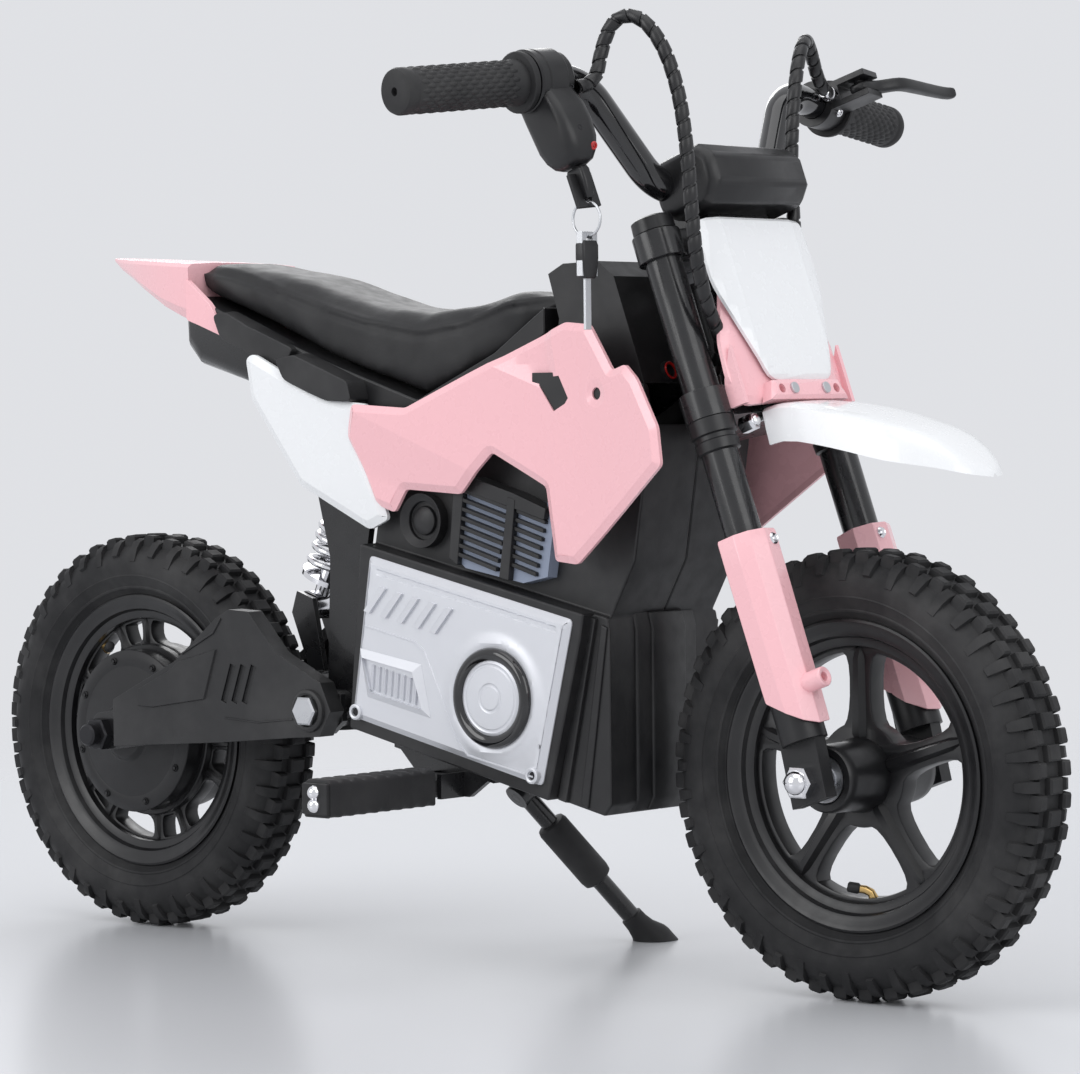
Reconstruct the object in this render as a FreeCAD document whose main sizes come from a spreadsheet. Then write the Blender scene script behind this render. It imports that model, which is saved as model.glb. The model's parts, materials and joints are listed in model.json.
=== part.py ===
"""Kids electric motorbike: a small ride-on dirt bike with a hub motor.

Frame: +X forward, +Y to the rider's left, +Z up, millimetres.  The origin is on the
ground, in the centre plane, half way between the two axles.
"""
import FreeCAD, Part
import math
import os
import Sketcher

V = FreeCAD.Vector
doc = FreeCAD.newDocument("KidsMotorbike")
sheet = doc.addObject("Spreadsheet::Sheet", "Sizes")

# Driving sizes in millimetres and degrees, grouped by the piece that owns them
SIZES = {
    # whole bike
    "wheel_base": 693.4, "rake_angle": 20.0, "yoke_offset": 30.0, "axle_setback": 6.6,
    "drawn_room": 383.4, "drawn_axle_height": 155.0,
    "run_clear": 0.05, "seat_clear": 0.3, "cut_over": 2.0,
    # tyres, the same front and rear
    "wheel_radius": 155.0, "tyre_half_width": 28.0, "tyre_wall": 4.5, "tread_depth": 5.0,
    "crown_half_width": 15.0, "shoulder_drop": 5.5, "bulge_radius": 131.0,
    "bead_radius": 101.0, "bead_inner_half": 9.5,
    "block_length": 11.0, "crown_block_width": 14.0, "side_block_width": 9.0,
    "side_block_place": 14.5, "block_root": 4.0, "tread_count": 44,
    # rims
    "rim_lip_radius": 107.0, "rim_half_width": 21.0, "rim_lip_thick": 3.0,
    "rim_well_radius": 95.0, "rim_inner_radius": 88.0, "rim_clear": 0.1,
    "front_hub_radius": 25.0, "front_hub_half": 50.0, "front_web_half": 9.0,
    "front_spoke_count": 5, "front_spoke_width": 19.0, "front_window_inner": 38.0,
    "window_outer": 84.0,
    "rear_web_half": 8.0, "rear_spoke_count": 10, "rear_spoke_width": 11.0,
    "rear_window_inner": 71.0, "rear_hub_half": 14.0, "rear_hub_wall": 4.0,
    # front axle
    "front_axle_radius": 6.0, "front_axle_half": 85.0, "axle_spacer_radius": 9.5,
    "front_nut_radius": 10.0, "front_nut_thick": 8.0,
    "bearing_radius": 16.0, "bearing_width": 11.0,
    # hub motor and rear axle
    "rear_axle_radius": 7.0, "rear_axle_half": 71.0, "rear_nut_radius": 11.5,
    "rear_nut_thick": 8.0, "motor_radius": 64.0, "motor_edge_half": 30.0,
    "motor_step_radius": 24.0, "motor_step_half": 36.0, "motor_boss_radius": 20.0,
    "motor_boss_half": 40.0, "motor_wall": 4.0, "stator_radius": 55.0, "stator_half": 19.0,
    "disc_radius": 53.0, "disc_thick": 2.5, "caliper_inner": 40.0, "caliper_outer": 62.0,
    "caliper_width": 34.0, "caliper_side": 3.5, "caliper_slot_clear": 0.7,
    "caliper_angle": 60.0,
    # swingarm
    "pivot_x": -108.0, "pivot_z": 184.0, "pivot_radius": 6.0, "pivot_tube_radius": 15.0,
    "pivot_tube_half": 40.0, "arm_plate_inner": 56.0, "arm_plate_thick": 6.0,
    "arm_low_z": 142.0, "arm_height": 115.0, "arm_boss_radius": 14.0,
    "arm_cross_x": -152.0, "arm_cross_z": 196.0, "arm_cross_radius": 13.0,
    "arm_cover_depth": 15.0, "arm_cover_wall": 3.0, "pivot_head_radius": 10.0,
    "pivot_head_thick": 6.0, "louvre_width": 6.0, "louvre_length": 30.0,
    "louvre_pitch": 11.0, "louvre_depth": 2.0, "louvre_lean": 20.0, "louvre_count": 3,
    "louvre_x": -200.0, "louvre_z": 188.0,
    # coil-over shock
    "shock_low_x": -171.0, "shock_low_z": 258.0, "shock_top_x": -119.0, "shock_top_z": 366.0,
    "shock_pin_radius": 5.0, "shock_eye_radius": 11.0, "shock_eye_half": 11.0,
    "shock_eye_clear": 0.7, "shock_lug_gap": 1.5, "shock_lug_thick": 5.0,
    "shock_body_radius": 13.0, "shock_body_drop": 62.0, "shock_seat_radius": 20.0,
    "shock_seat_drop": 22.0, "shock_seat_thick": 4.0, "shock_low_seat_rise": 22.0,
    "shock_rod_radius": 6.0, "shock_rod_drop": 40.0, "shock_bore_drop": 22.0,
    "coil_radius": 17.0, "coil_wire": 5.4, "coil_turns": 6, "coil_gap": 0.8,
    "shock_bolt_half": 46.0, "shock_bolt_head": 9.0, "shock_bolt_head_thick": 5.0,
    # main frame
    "head_low": 284.3, "head_high": 364.4, "head_radius": 20.0, "head_bore_radius": 16.0,
    "backbone_radius": 17.0, "backbone_knee_x": 70.0, "backbone_knee_z": 368.0,
    "backbone_rear_x": -95.0, "head_join": 322.0, "rear_plate_inner": 34.0,
    "rear_plate_thick": 6.0, "rear_plate_low": 168.0, "rear_plate_height": 238.0,
    "rear_plate_x": -134.0, "rear_plate_length": 66.0, "web_half": 5.0, "web_rear_x": 20.0,
    "web_front_x": 120.0, "tongue_half": 40.0, "tongue_thick": 24.0,
    # battery casing
    "box_rear_x": -70.0, "box_low_z": 120.0, "box_length": 240.0, "box_height": 189.0,
    "box_half_width": 74.0, "box_core_half": 62.0, "box_wall": 4.0, "wall_inner": 52.0,
    "wall_outer": 58.0, "neck_thick": 6.0, "cover_thick": 5.0,
    "battery_length": 150.0, "battery_height": 92.0, "battery_half": 56.0,
    "controller_length": 96.0, "controller_height": 26.0, "controller_half": 32.0,
    "badge_x": 76.0, "badge_z": 201.0, "badge_radius": 36.0, "badge_bore_radius": 27.0,
    "badge_thick": 5.0, "badge_disc_thick": 4.0, "badge_gap": 0.2,
    # dummy engine parts
    "engine_rear_x": 8.0, "engine_front_x": 92.0, "engine_top_z": 372.0, "engine_outer": 72.0,
    "fin_count": 7, "fin_slot": 4.5, "fin_depth": 4.0, "fin_margin": 9.0,
    "intake_x": -20.0, "intake_z": 334.0, "intake_radius": 20.0, "intake_outer": 67.0,
    # tank cover
    "tank_rear_x": 111.5, "tank_low_z": 424.0, "tank_length": 87.0, "tank_height": 86.0,
    "tank_half": 56.0, "tank_wall": 3.0, "tank_clear": 0.6,
    # pink side panels
    "panel_rear_x": -69.0, "panel_low_z": 298.0, "panel_length": 320.0, "panel_height": 169.0,
    "panel_rear_half": 80.0, "panel_mid_half": 86.0, "panel_bend_half": 89.5,
    "panel_front_half": 108.0, "panel_thick": 3.0, "panel_boss_radius": 7.0,
    # white rear panels
    "rear_panel_x": -172.0, "rear_panel_z": 319.0, "rear_panel_length": 141.0,
    "rear_panel_height": 128.0, "rear_panel_half": 75.0, "rear_panel_thick": 3.0,
    "rear_boss_x": -100.0, "rear_boss_z": 384.0,
    # seat: low edge of the cushion in the side view, then its sections
    "seat_rear_x": -250.0, "seat_rear_z": 496.0, "seat_mid_x": -98.0, "seat_mid_z": 441.0,
    "seat_low_x": -13.0, "seat_low_z": 414.0, "seat_front_x": 62.0, "seat_front_z": 447.0,
    "seat_nose_x": 110.0, "seat_nose_z": 479.0, "seat_base_thick": 20.0,
    "seat_base_half": 59.0, "seat_half_width": 62.0, "seat_rear_thick": 21.0,
    "seat_mid_thick": 48.0, "seat_low_thick": 64.0, "seat_front_thick": 43.0,
    "seat_nose_thick": 11.0, "seat_tuck": 4.0,
    # tail
    "tail_tip_x": -386.0, "tail_tip_z": 528.0, "tail_mid_x": -311.0, "tail_half": 58.0,
    "tail_low_z": 470.0, "tail_top_z": 521.0, "tail_tip_half": 6.0, "tail_tip_height": 8.0,
    "tail_wall": 3.0, "tail_box_half": 48.0, "tail_box_rear_x": -249.0, "tail_box_lap": 12.0,
    "tail_box_rear_z": 446.0, "tail_box_front_x": -184.0, "tail_box_front_z": 424.0,
    # fork, in the steering frame: heights along the steering axis above the front axle
    "leg_spread": 67.0, "stanchion_radius": 13.0, "stanchion_wall": 3.0,
    "stanchion_low": 72.0, "stanchion_top": 398.0, "slider_radius": 16.0,
    "slider_low": 26.0, "slider_top": 172.0, "slider_floor": 38.0,
    "dropout_thick": 12.0, "dropout_radius": 15.0, "dropout_top": 46.0,
    "guard_wall": 4.0, "guard_low": 44.0, "guard_top": 178.0, "guard_band": 18.0,
    "guard_clear": 0.1, "guard_boss_radius": 7.0, "guard_boss_rise": 62.0,
    "yoke_thick": 20.0, "lower_yoke_low": 256.0, "top_yoke_low": 372.7, "yoke_clamp": 17.0,
    "yoke_rear": 19.0, "yoke_rear_half": 13.0, "yoke_tab_half": 30.0, "stem_radius": 12.5,
    "stem_nut_radius": 17.0, "stem_nut_thick": 7.0, "head_bearing_radius": 19.0,
    "head_bearing_height": 8.0,
    # handlebar, in the steering frame
    "bar_radius": 11.0, "bar_wall": 2.0, "bar_x": 38.0, "bar_z": 424.0, "bar_flat_half": 62.0,
    "bar_rise_x": 41.0, "bar_grip_run": 157.0, "bar_rise_z": 502.0, "bar_end_x": 14.4,
    "bar_end_half": 272.0, "bar_end_z": 495.0, "bar_bend": 38.0,
    "clamp_half": 34.0, "clamp_rear_x": 22.0, "clamp_front_x": 54.0, "clamp_top": 438.0,
    "pad_half": 56.0, "pad_rear_x": 27.0, "pad_length": 58.0, "pad_low": 399.0,
    "pad_height": 45.0, "pad_clear": 0.3,
    # grips and controls, measured along each bar end
    "grip_radius": 16.0, "grip_length": 97.0, "grip_cap": 5.0, "grip_flange_radius": 21.0,
    "grip_flange_thick": 5.0, "throttle_length": 112.0, "grip_gap": 0.6,
    "housing_length": 32.0, "housing_radius": 22.0, "keybox_drop": 66.0, "keybox_length": 30.0,
    "keybox_depth": 38.0, "keybox_front": 26.0,
    "perch_radius": 17.0, "perch_length": 22.0, "perch_reach": 46.0, "perch_half": 10.0,
    "lever_reach": 35.0, "lever_half": 5.0, "lever_pin_radius": 3.0, "lever_slot_clear": 0.4,
    "lever_length": 96.0, "lever_width": 34.0, "lever_slot_floor": 23.0,
    # front mask, plate and fender, in the steering frame
    "mask_rear_x": 58.0, "mask_thick": 6.0, "mask_low": 258.0, "mask_height": 92.0,
    "mask_half": 64.0, "plate_thick": 3.0, "plate_low": 272.0, "plate_height": 120.0,
    "plate_half": 61.0, "base_bar_half": 36.0, "base_bar_height": 13.0, "base_bar_thick": 6.0,
    "wing_rear_x": 48.0, "wing_height": 42.0, "wing_thick": 3.0,
    "mask_screw_radius": 4.0, "mask_screw_thick": 2.0, "mask_screw_half": 18.0,
    "fender_rear_x": 34.0, "fender_length": 160.0, "fender_drop": 100.0, "fender_half": 42.0,
    "fender_skirt": 22.0, "fender_wall": 3.0,
    # key and spare key
    "key_radius": 3.0, "key_insert": 22.0, "key_head_width": 20.0, "key_head_height": 24.0,
    "key_head_thick": 3.0, "key_neck": 5.0, "key_hole_radius": 3.5, "key_hole_drop": 6.0,
    "ring_radius": 12.0, "ring_wire": 0.9, "ring_play": 1.15, "spare_head_width": 16.0,
    "spare_head_height": 30.0, "spare_head_thick": 5.0, "spare_blade_width": 6.0, "spare_blade_length": 36.0,
    "spare_blade_thick": 2.0,
    # foot pegs and their bracket
    "peg_x": 21.0, "peg_pivot_half": 80.0, "peg_pivot_z": 136.0, "peg_end_half": 207.0,
    "peg_pin_radius": 4.0, "peg_eye_radius": 9.0, "peg_eye_half": 9.0, "peg_block_start": 94.0,
    "peg_block_half": 12.0, "peg_block_height": 22.0, "peg_rib_count": 8, "peg_rib_depth": 2.5,
    "peg_rib_width": 6.0, "bracket_rear_x": -34.0, "bracket_length": 96.0,
    "bracket_thick": 5.0, "bracket_half": 64.0, "peg_ear_thick": 4.0,
    "peg_ear_clear": 0.3,
    # side stand on the left
    "stand_x": -18.0, "stand_y": 60.0, "stand_z": 118.0, "stand_foot_x": 34.0,
    "stand_foot_y": 150.0, "stand_radius": 7.0, "stand_sleeve_radius": 11.0,
    "stand_foot_radius": 15.0, "stand_foot_height": 12.0, "stand_pin_radius": 4.0,
    "stand_eye_radius": 10.0, "stand_eye_half": 7.5, "stand_ear_thick": 8.0,
    # cables
    "cable_radius": 5.0, "cable_foot_x": 26.0, "cable_foot_half": 46.0, "cable_foot_rise": 16.0,
    "cable_start_ahead": 15.0, "cable_start_drop": 12.0, "cable_lead": 18.0,
    "route_step": 10.0, "route_rise_half": 115.0, "route_fixed_height": 470.0,
    "route_free_height": 500.0,
}
for row, (alias, value) in enumerate(SIZES.items(), start=1):
    sheet.set("A%d" % row, alias.replace("_", " "))
    sheet.set("B%d" % row, str(value))
    sheet.setAlias("B%d" % row, alias)
WORKED_OUT = {"room_share": "=(wheel_base - max(wheel_radius; drawn_axle_height) * 2) / drawn_room",
              "ride_lift": "=wheel_radius - drawn_axle_height",
              "wheel_share": "=wheel_radius / drawn_axle_height"}
for row, (alias, formula) in enumerate(WORKED_OUT.items(), start=len(SIZES) + 1):
    sheet.set("A%d" % row, alias.replace("_", " "))
    sheet.set("B%d" % row, formula)
    sheet.setAlias("B%d" % row, alias)
doc.recompute()

# A wheel's radii follow its size; the body gives way to larger tyres and rises with the axles
WHEEL_RADII = """bulge_radius bead_radius rim_lip_radius rim_well_radius rim_inner_radius window_outer
    rear_window_inner motor_radius stator_radius""".split()
BODY_LENGTHS = """pivot_x arm_cross_x louvre_x shock_low_x shock_top_x backbone_knee_x backbone_rear_x
    rear_plate_x rear_plate_length web_rear_x web_front_x box_rear_x box_length battery_length
    controller_length badge_x engine_rear_x engine_front_x intake_x tank_rear_x tank_length
    panel_rear_x panel_length rear_panel_x rear_panel_length rear_boss_x seat_rear_x seat_mid_x
    seat_low_x seat_front_x seat_nose_x tail_tip_x tail_mid_x tail_box_rear_x tail_box_lap
    tail_box_front_x peg_x bracket_rear_x bracket_length stand_x stand_foot_x""".split()
BODY_HEIGHTS = """pivot_z arm_low_z arm_cross_z louvre_z shock_low_z shock_top_z backbone_knee_z
    rear_plate_low box_low_z badge_z engine_top_z intake_z tank_low_z panel_low_z rear_panel_z
    rear_boss_z seat_rear_z seat_mid_z seat_low_z seat_front_z seat_nose_z tail_tip_z tail_low_z
    tail_top_z tail_box_rear_z tail_box_front_z peg_pivot_z stand_z""".split()


class Dim:
    """A length that knows its value and the sheet expression behind it."""

    def __init__(self, value, text):
        self.value = float(value)
        self.text = text

    def __add__(self, other):
        other = dim(other)
        return Dim(self.value + other.value, "(%s + %s)" % (self.text, other.text))

    def __sub__(self, other):
        other = dim(other)
        return Dim(self.value - other.value, "(%s - %s)" % (self.text, other.text))

    def __mul__(self, other):
        other = dim(other)
        return Dim(self.value * other.value, "(%s * %s)" % (self.text, other.text))

    def __truediv__(self, other):
        other = dim(other)
        return Dim(self.value / other.value, "(%s / %s)" % (self.text, other.text))

    def __neg__(self):
        return Dim(-self.value, "(-%s)" % self.text)

    __radd__ = __add__
    __rmul__ = __mul__

    def __rsub__(self, other):
        return dim(other) - self


def dim(length):
    """Any number as a Dim."""
    if isinstance(length, Dim):
        return length
    return Dim(length, "%.6f" % length)


def sine(angle):
    """Sine of an angle in degrees."""
    return Dim(math.sin(math.radians(angle.value)), "sin(%s * 1deg)" % angle.text)


def cosine(angle):
    """Cosine of an angle in degrees."""
    return Dim(math.cos(math.radians(angle.value)), "cos(%s * 1deg)" % angle.text)


class SheetSizes:
    """Reads a size from the sheet by its alias."""

    def __getattr__(self, alias):
        size = Dim(float(sheet.get(alias)), "Sizes." + alias)
        if alias in WHEEL_RADII:
            return size * self.wheel_share
        if alias in BODY_LENGTHS:
            return size * self.room_share
        if alias in BODY_HEIGHTS:
            return size + self.ride_lift
        return size


S = SheetSizes()
HALF = 0.5
NODES = []


def bind(thing, path, length):
    """Tie a property to the sheet."""
    thing.setExpression(path, dim(length).text)


def node(thing, label):
    """Name a finished sub-part."""
    thing.Label = label
    NODES.append(thing)
    return thing


def number(lengths):
    """Plain vector of three lengths."""
    return V(*[dim(length).value for length in lengths])


def at(thing, base):
    """Tie a placement's base to three lengths."""
    for axis, length in zip("xyz", base):
        bind(thing, ".Placement.Base." + axis, length)
    return thing


TURNS = {"X": (V(0, 1, 0), 90), "Y": (V(1, 0, 0), -90), "Z": (V(0, 0, 1), 0)}


def cylinder(radius, length, axis, base):
    """Cylinder from a base point along +X, +Y or +Z."""
    rod = doc.addObject("Part::Cylinder", "rod")
    bind(rod, "Radius", radius)
    bind(rod, "Height", length)
    rod.Placement = FreeCAD.Placement(V(), FreeCAD.Rotation(*TURNS[axis]))
    return at(rod, base)


def across(radius, half, x, z):
    """Cylinder along Y, centred on the middle plane."""
    return cylinder(radius, half * 2, "Y", (x, -half, z))


def block(low, size):
    """Box from its low corner and its three sizes."""
    brick = doc.addObject("Part::Box", "brick")
    for name, length in zip(("Length", "Width", "Height"), size):
        bind(brick, name, length)
    return at(brick, low)


def fuse(*shapes):
    """One solid from several."""
    joined = doc.addObject("Part::MultiFuse", "joined")
    joined.Shapes = list(shapes)
    joined.Refine = False
    return joined


def cut(base, *tools):
    """Take tools away from a base."""
    result = doc.addObject("Part::Cut", "trimmed")
    result.Base = base
    result.Tool = tools[0] if len(tools) == 1 else fuse(*tools)
    result.Refine = False
    return result


def common(first, second):
    """What two solids share."""
    result = doc.addObject("Part::MultiCommon", "shared")
    result.Shapes = [first, second]
    result.Refine = False
    return result


def mirrored(thing):
    """The same piece on the other side of the middle plane."""
    twin = doc.addObject("Part::Mirroring", "twin")
    twin.Source = thing
    twin.Normal = V(0, 1, 0)
    return twin


def group(*things):
    """Separate solids that share one node."""
    bunch = doc.addObject("Part::Compound", "bunch")
    bunch.Links = list(things)
    return bunch


def pair(thing):
    """A piece and its mirror image as one group."""
    return group(thing, mirrored(thing))


def solid(shape):
    """A shape that part.py works out itself, as a document object."""
    thing = doc.addObject("Part::Feature", "form")
    thing.Shape = shape
    return thing


def outline_sketch(body, plane, points, offset=None):
    """Closed sketch of straight lines, each corner tied to the sheet."""
    sketch = body.newObject("Sketcher::SketchObject", "outline")
    role = [plane_obj for plane_obj in body.Origin.OriginFeatures if plane_obj.Role == plane + "_Plane"]
    sketch.AttachmentSupport = [(role[0], "")]
    sketch.MapMode = "FlatFace"
    if offset is not None:
        bind(sketch, ".AttachmentOffset.Base.z", offset)
    spots = [(dim(u), dim(v)) for u, v in points]
    count = len(spots)
    for index, (u, v) in enumerate(spots):
        far_u, far_v = spots[(index + 1) % count]
        line = Part.LineSegment(V(u.value, v.value, 0), V(far_u.value, far_v.value, 0))
        sketch.addGeometry(line, False)
    for index in range(count):
        sketch.addConstraint(Sketcher.Constraint("Coincident", index, 2, (index + 1) % count, 1))
    for index, (u, v) in enumerate(spots):
        for kind, length in (("DistanceX", u), ("DistanceY", v)):
            place = sketch.addConstraint(Sketcher.Constraint(kind, -1, 1, index, 1, length.value))
            bind(sketch, "Constraints[%d]" % place, length)
    return sketch


def padded(plane, points, low, high):
    """Outline in a plane, padded along the plane's normal axis from low to high."""
    body = doc.addObject("PartDesign::Body", "padded")
    offset = -dim(high) if plane == "XZ" else dim(low)
    sketch = outline_sketch(body, plane, points, offset)
    pad = body.newObject("PartDesign::Pad", "pad")
    pad.Profile = sketch
    bind(pad, "Length", dim(high) - low)
    return body


def turned(points):
    """Outline of (radius, height) pairs turned about the body's own Z axis."""
    body = doc.addObject("PartDesign::Body", "turned")
    sketch = outline_sketch(body, "XZ", points)
    turn = body.newObject("PartDesign::Revolution", "turn")
    turn.Profile = sketch
    turn.ReferenceAxis = (sketch, ["V_Axis"])
    turn.Angle = 360
    return body


def windows(body, points, count):
    """Cut one window through a turned body and repeat it round the axis."""
    sketch = outline_sketch(body, "XY", points)
    pocket = body.newObject("PartDesign::Pocket", "window")
    pocket.Profile = sketch
    pocket.Type = "ThroughAll"
    pocket.Midplane = True
    pattern = body.newObject("PartDesign::PolarPattern", "windows")
    pattern.Originals = [pocket]
    pattern.Axis = (sketch, ["N_Axis"])
    pattern.Angle = 360
    bind(pattern, "Occurrences", count)
    body.Tip = pattern
    return body


def lay_across(body, x, z):
    """Turn a body's own Z axis to +Y and put it on an axle."""
    body.Placement = FreeCAD.Placement(V(), FreeCAD.Rotation(*TURNS["Y"]))
    return at(body, (x, dim(0), z))


def shares_at(x, z, length, height, shares):
    """Outline corners from shares of a length and a height."""
    return [(x + length * u, z + height * v) for u, v in shares]


def both_sides(half_shares):
    """Closed outline from its half on the positive side, mirrored in the first value."""
    return half_shares + [(-u, v) for u, v in reversed(half_shares)]


AXLE_REAR = -(S.wheel_base * HALF)
AXLE_FRONT = S.wheel_base * HALF
STEER_ARM = S.yoke_offset - S.axle_setback
STEER_X = AXLE_FRONT - STEER_ARM * cosine(S.rake_angle)
STEER_Z = S.wheel_radius - STEER_ARM * sine(S.rake_angle)


def steer(thing):
    """Lean a piece into the steering frame: its own Z becomes the steering axis."""
    lean = FreeCAD.Rotation(V(0, -1, 0), S.rake_angle.value)
    thing.Placement = FreeCAD.Placement(V(), lean)
    bind(thing, ".Placement.Rotation.Angle", S.rake_angle)
    return at(thing, (STEER_X, dim(0), STEER_Z))


def steer_point(x, z):
    """Global X and Z of a point given in the steering frame."""
    lean_cos = cosine(S.rake_angle)
    lean_sin = sine(S.rake_angle)
    return STEER_X + x * lean_cos - z * lean_sin, STEER_Z + x * lean_sin + z * lean_cos


# Paths for tubes, cables and the coil
def arc_edge(start, corner, end):
    """Arc from start to end whose end tangents meet at the corner."""
    middle = (start + end) * HALF
    half_chord = (end - start).Length * HALF
    rise = corner - middle
    turn = math.atan2(rise.Length, half_chord)
    crest = middle + rise.normalize() * (half_chord * math.tan(turn * HALF))
    return Part.Arc(start, crest, end).toShape()


def bent_wire(points, bend=None):
    """Straight runs joined by tangent arcs, as large as the runs allow unless a bend is given."""
    corner_share = 0.45
    edges = []
    radii = []
    last = points[0]
    for before, corner, after in zip(points, points[1:], points[2:]):
        back = before - corner
        ahead = after - corner
        turn = math.pi - back.getAngle(ahead)
        reach = corner_share * min(back.Length, ahead.Length)
        if bend is not None:
            reach = bend * math.tan(turn * HALF)
        radii.append(reach / math.tan(turn * HALF))
        start = corner + back.normalize() * reach
        end = corner + ahead.normalize() * reach
        edges.append(Part.LineSegment(last, start).toShape())
        edges.append(arc_edge(start, corner, end))
        last = end
    edges.append(Part.LineSegment(last, points[-1]).toShape())
    return Part.Wire(edges), radii


def tube_on(wire, radius):
    """Round tube swept along a wire."""
    start = wire.Edges[0]
    first = start.valueAt(start.FirstParameter)
    heading = start.tangentAt(start.FirstParameter)
    ring = Part.Wire(Part.makeCircle(radius, first, heading))
    return wire.makePipeShell([ring], True, False)


def biarc(start, heading, end, last_heading):
    """Two tangent arcs between two points with given headings."""
    span = end - start
    both = heading + last_heading
    lead = 2 * (1 - heading.dot(last_heading))
    reach = (-span.dot(both) + math.sqrt(span.dot(both) ** 2 + lead * span.dot(span))) / lead
    first_corner = start + heading * reach
    last_corner = end - last_heading * reach
    meet = (first_corner + last_corner) * HALF
    return [arc_edge(start, first_corner, meet), arc_edge(meet, last_corner, end)]


# Wheels
def make_tyre():
    """Hollow knobbly tyre on the wheel's own Y axis."""
    crown = S.wheel_radius - S.tread_depth
    shoulder = crown - S.shoulder_drop
    wall = S.tyre_wall
    half = S.tyre_half_width
    shoulder_half = (S.crown_half_width + half) * HALF
    bead_half = S.rim_half_width - S.rim_lip_thick - S.seat_clear
    lip = S.rim_lip_radius + S.seat_clear
    outer = [(S.bead_radius + S.rim_clear, bead_half), (lip, bead_half), (lip + wall, bead_half + wall),
             (S.bulge_radius, half), (shoulder, shoulder_half), (crown, S.crown_half_width)]
    inner = [(crown - wall, S.crown_half_width - wall), (shoulder - wall, shoulder_half - wall),
             (S.bulge_radius, half - wall), (lip + wall, bead_half - wall * HALF),
             (S.bead_radius + S.rim_clear, S.bead_inner_half)]
    section = outer + [(r, -y) for r, y in reversed(outer)]
    section += [(r, -y) for r, y in reversed(inner)] + inner
    corners = [number((r, y, 0)) for r, y in section]
    face = Part.Face(Part.makePolygon(corners + corners[:1]))
    carcass = face.revolve(V(), V(0, 1, 0), 360)
    rows = ((dim(0), S.crown_block_width, 0.0), (S.side_block_place, S.side_block_width, HALF),
            (-S.side_block_place, S.side_block_width, HALF))
    knobs = []
    pitch = 360 / S.tread_count.value
    for place, width, phase in rows:
        low = number((-S.block_length * HALF, place - width * HALF, -(S.wheel_radius)))
        tall = (S.tread_depth + S.block_root).value
        knob = Part.makeBox(S.block_length.value, width.value, tall, low)
        for step in range(int(S.tread_count.value)):
            turned_knob = knob.copy()
            turned_knob.rotate(V(), V(0, 1, 0), pitch * (step + phase))
            knobs.append(turned_knob)
    return carcass.multiFuse(knobs).Solids[0]


def rim_outline(web_half, hub_radius, hub_half, bore):
    """Half section of a wheel: drop-centre rim, web and hub."""
    seat = S.bead_radius
    lip_half = S.rim_half_width
    inner_lip = lip_half - S.rim_lip_thick
    well = S.bead_inner_half - S.rim_lip_thick
    top = [(bore, hub_half), (hub_radius, hub_half), (hub_radius, web_half),
           (S.rim_inner_radius, web_half), (S.rim_inner_radius, inner_lip),
           (S.rim_lip_radius, lip_half), (S.rim_lip_radius, inner_lip), (seat, inner_lip),
           (seat, S.bead_inner_half), (S.rim_well_radius, well)]
    return top + [(r, -a) for r, a in reversed(top)]


def window_outline(inner, spoke_width, count):
    """Opening between two spokes, its sides along the spokes."""
    half_angle = Dim(180, "180") / count
    spread = sine(half_angle) / cosine(half_angle)
    lean = spoke_width * HALF / cosine(half_angle)
    narrow = inner * spread - lean
    edge = S.window_outer * cosine(half_angle)
    wide = edge * spread - lean
    bulge_share = 0.62
    return [(inner, -narrow), (edge, -wide), (S.window_outer, -wide * bulge_share),
            (S.window_outer, wide * bulge_share), (edge, wide), (inner, narrow)]


tyre_shape = make_tyre()
front_tyre = node(solid(tyre_shape), "front_tyre")
at(front_tyre, (AXLE_FRONT, dim(0), S.wheel_radius))
rear_tyre = node(solid(tyre_shape.copy()), "rear_tyre")
at(rear_tyre, (AXLE_REAR, dim(0), S.wheel_radius))

bearing_seat = S.front_hub_half - S.bearing_width
front_rim_body = turned(rim_outline(S.front_web_half, S.front_hub_radius, S.front_hub_half,
                                    S.axle_spacer_radius + S.seat_clear))
windows(front_rim_body, window_outline(S.front_window_inner, S.front_spoke_width, S.front_spoke_count),
        S.front_spoke_count)
lay_across(front_rim_body, AXLE_FRONT, S.wheel_radius)
bearing_hole = S.bearing_radius + S.run_clear
front_rim = cut(front_rim_body,
                cylinder(bearing_hole, S.bearing_width + S.cut_over, "Y",
                         (AXLE_FRONT, bearing_seat, S.wheel_radius)),
                cylinder(bearing_hole, S.bearing_width + S.cut_over, "Y",
                         (AXLE_FRONT, -(S.front_hub_half + S.cut_over), S.wheel_radius)))
node(front_rim, "front_rim")
front_bearing = cut(cylinder(S.bearing_radius, S.bearing_width, "Y",
                             (AXLE_FRONT, bearing_seat, S.wheel_radius)),
                    across(S.front_axle_radius + S.run_clear, S.front_axle_half, AXLE_FRONT, S.wheel_radius))
node(pair(front_bearing), "front_bearings")

rear_bore = S.motor_radius + S.run_clear
rear_rim = turned(rim_outline(S.rear_web_half, rear_bore + S.rear_hub_wall, S.rear_hub_half, rear_bore))
windows(rear_rim, window_outline(S.rear_window_inner, S.rear_spoke_width, S.rear_spoke_count),
        S.rear_spoke_count)
node(lay_across(rear_rim, AXLE_REAR, S.wheel_radius), "rear_rim")


# Front axle with its spacers and nuts
def axle_nut(radius, thick, x, inner, z):
    """Round cap nut on the right, from its inner face outwards."""
    return cylinder(radius, thick, "Y", (x, -(inner + thick), z))


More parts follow.
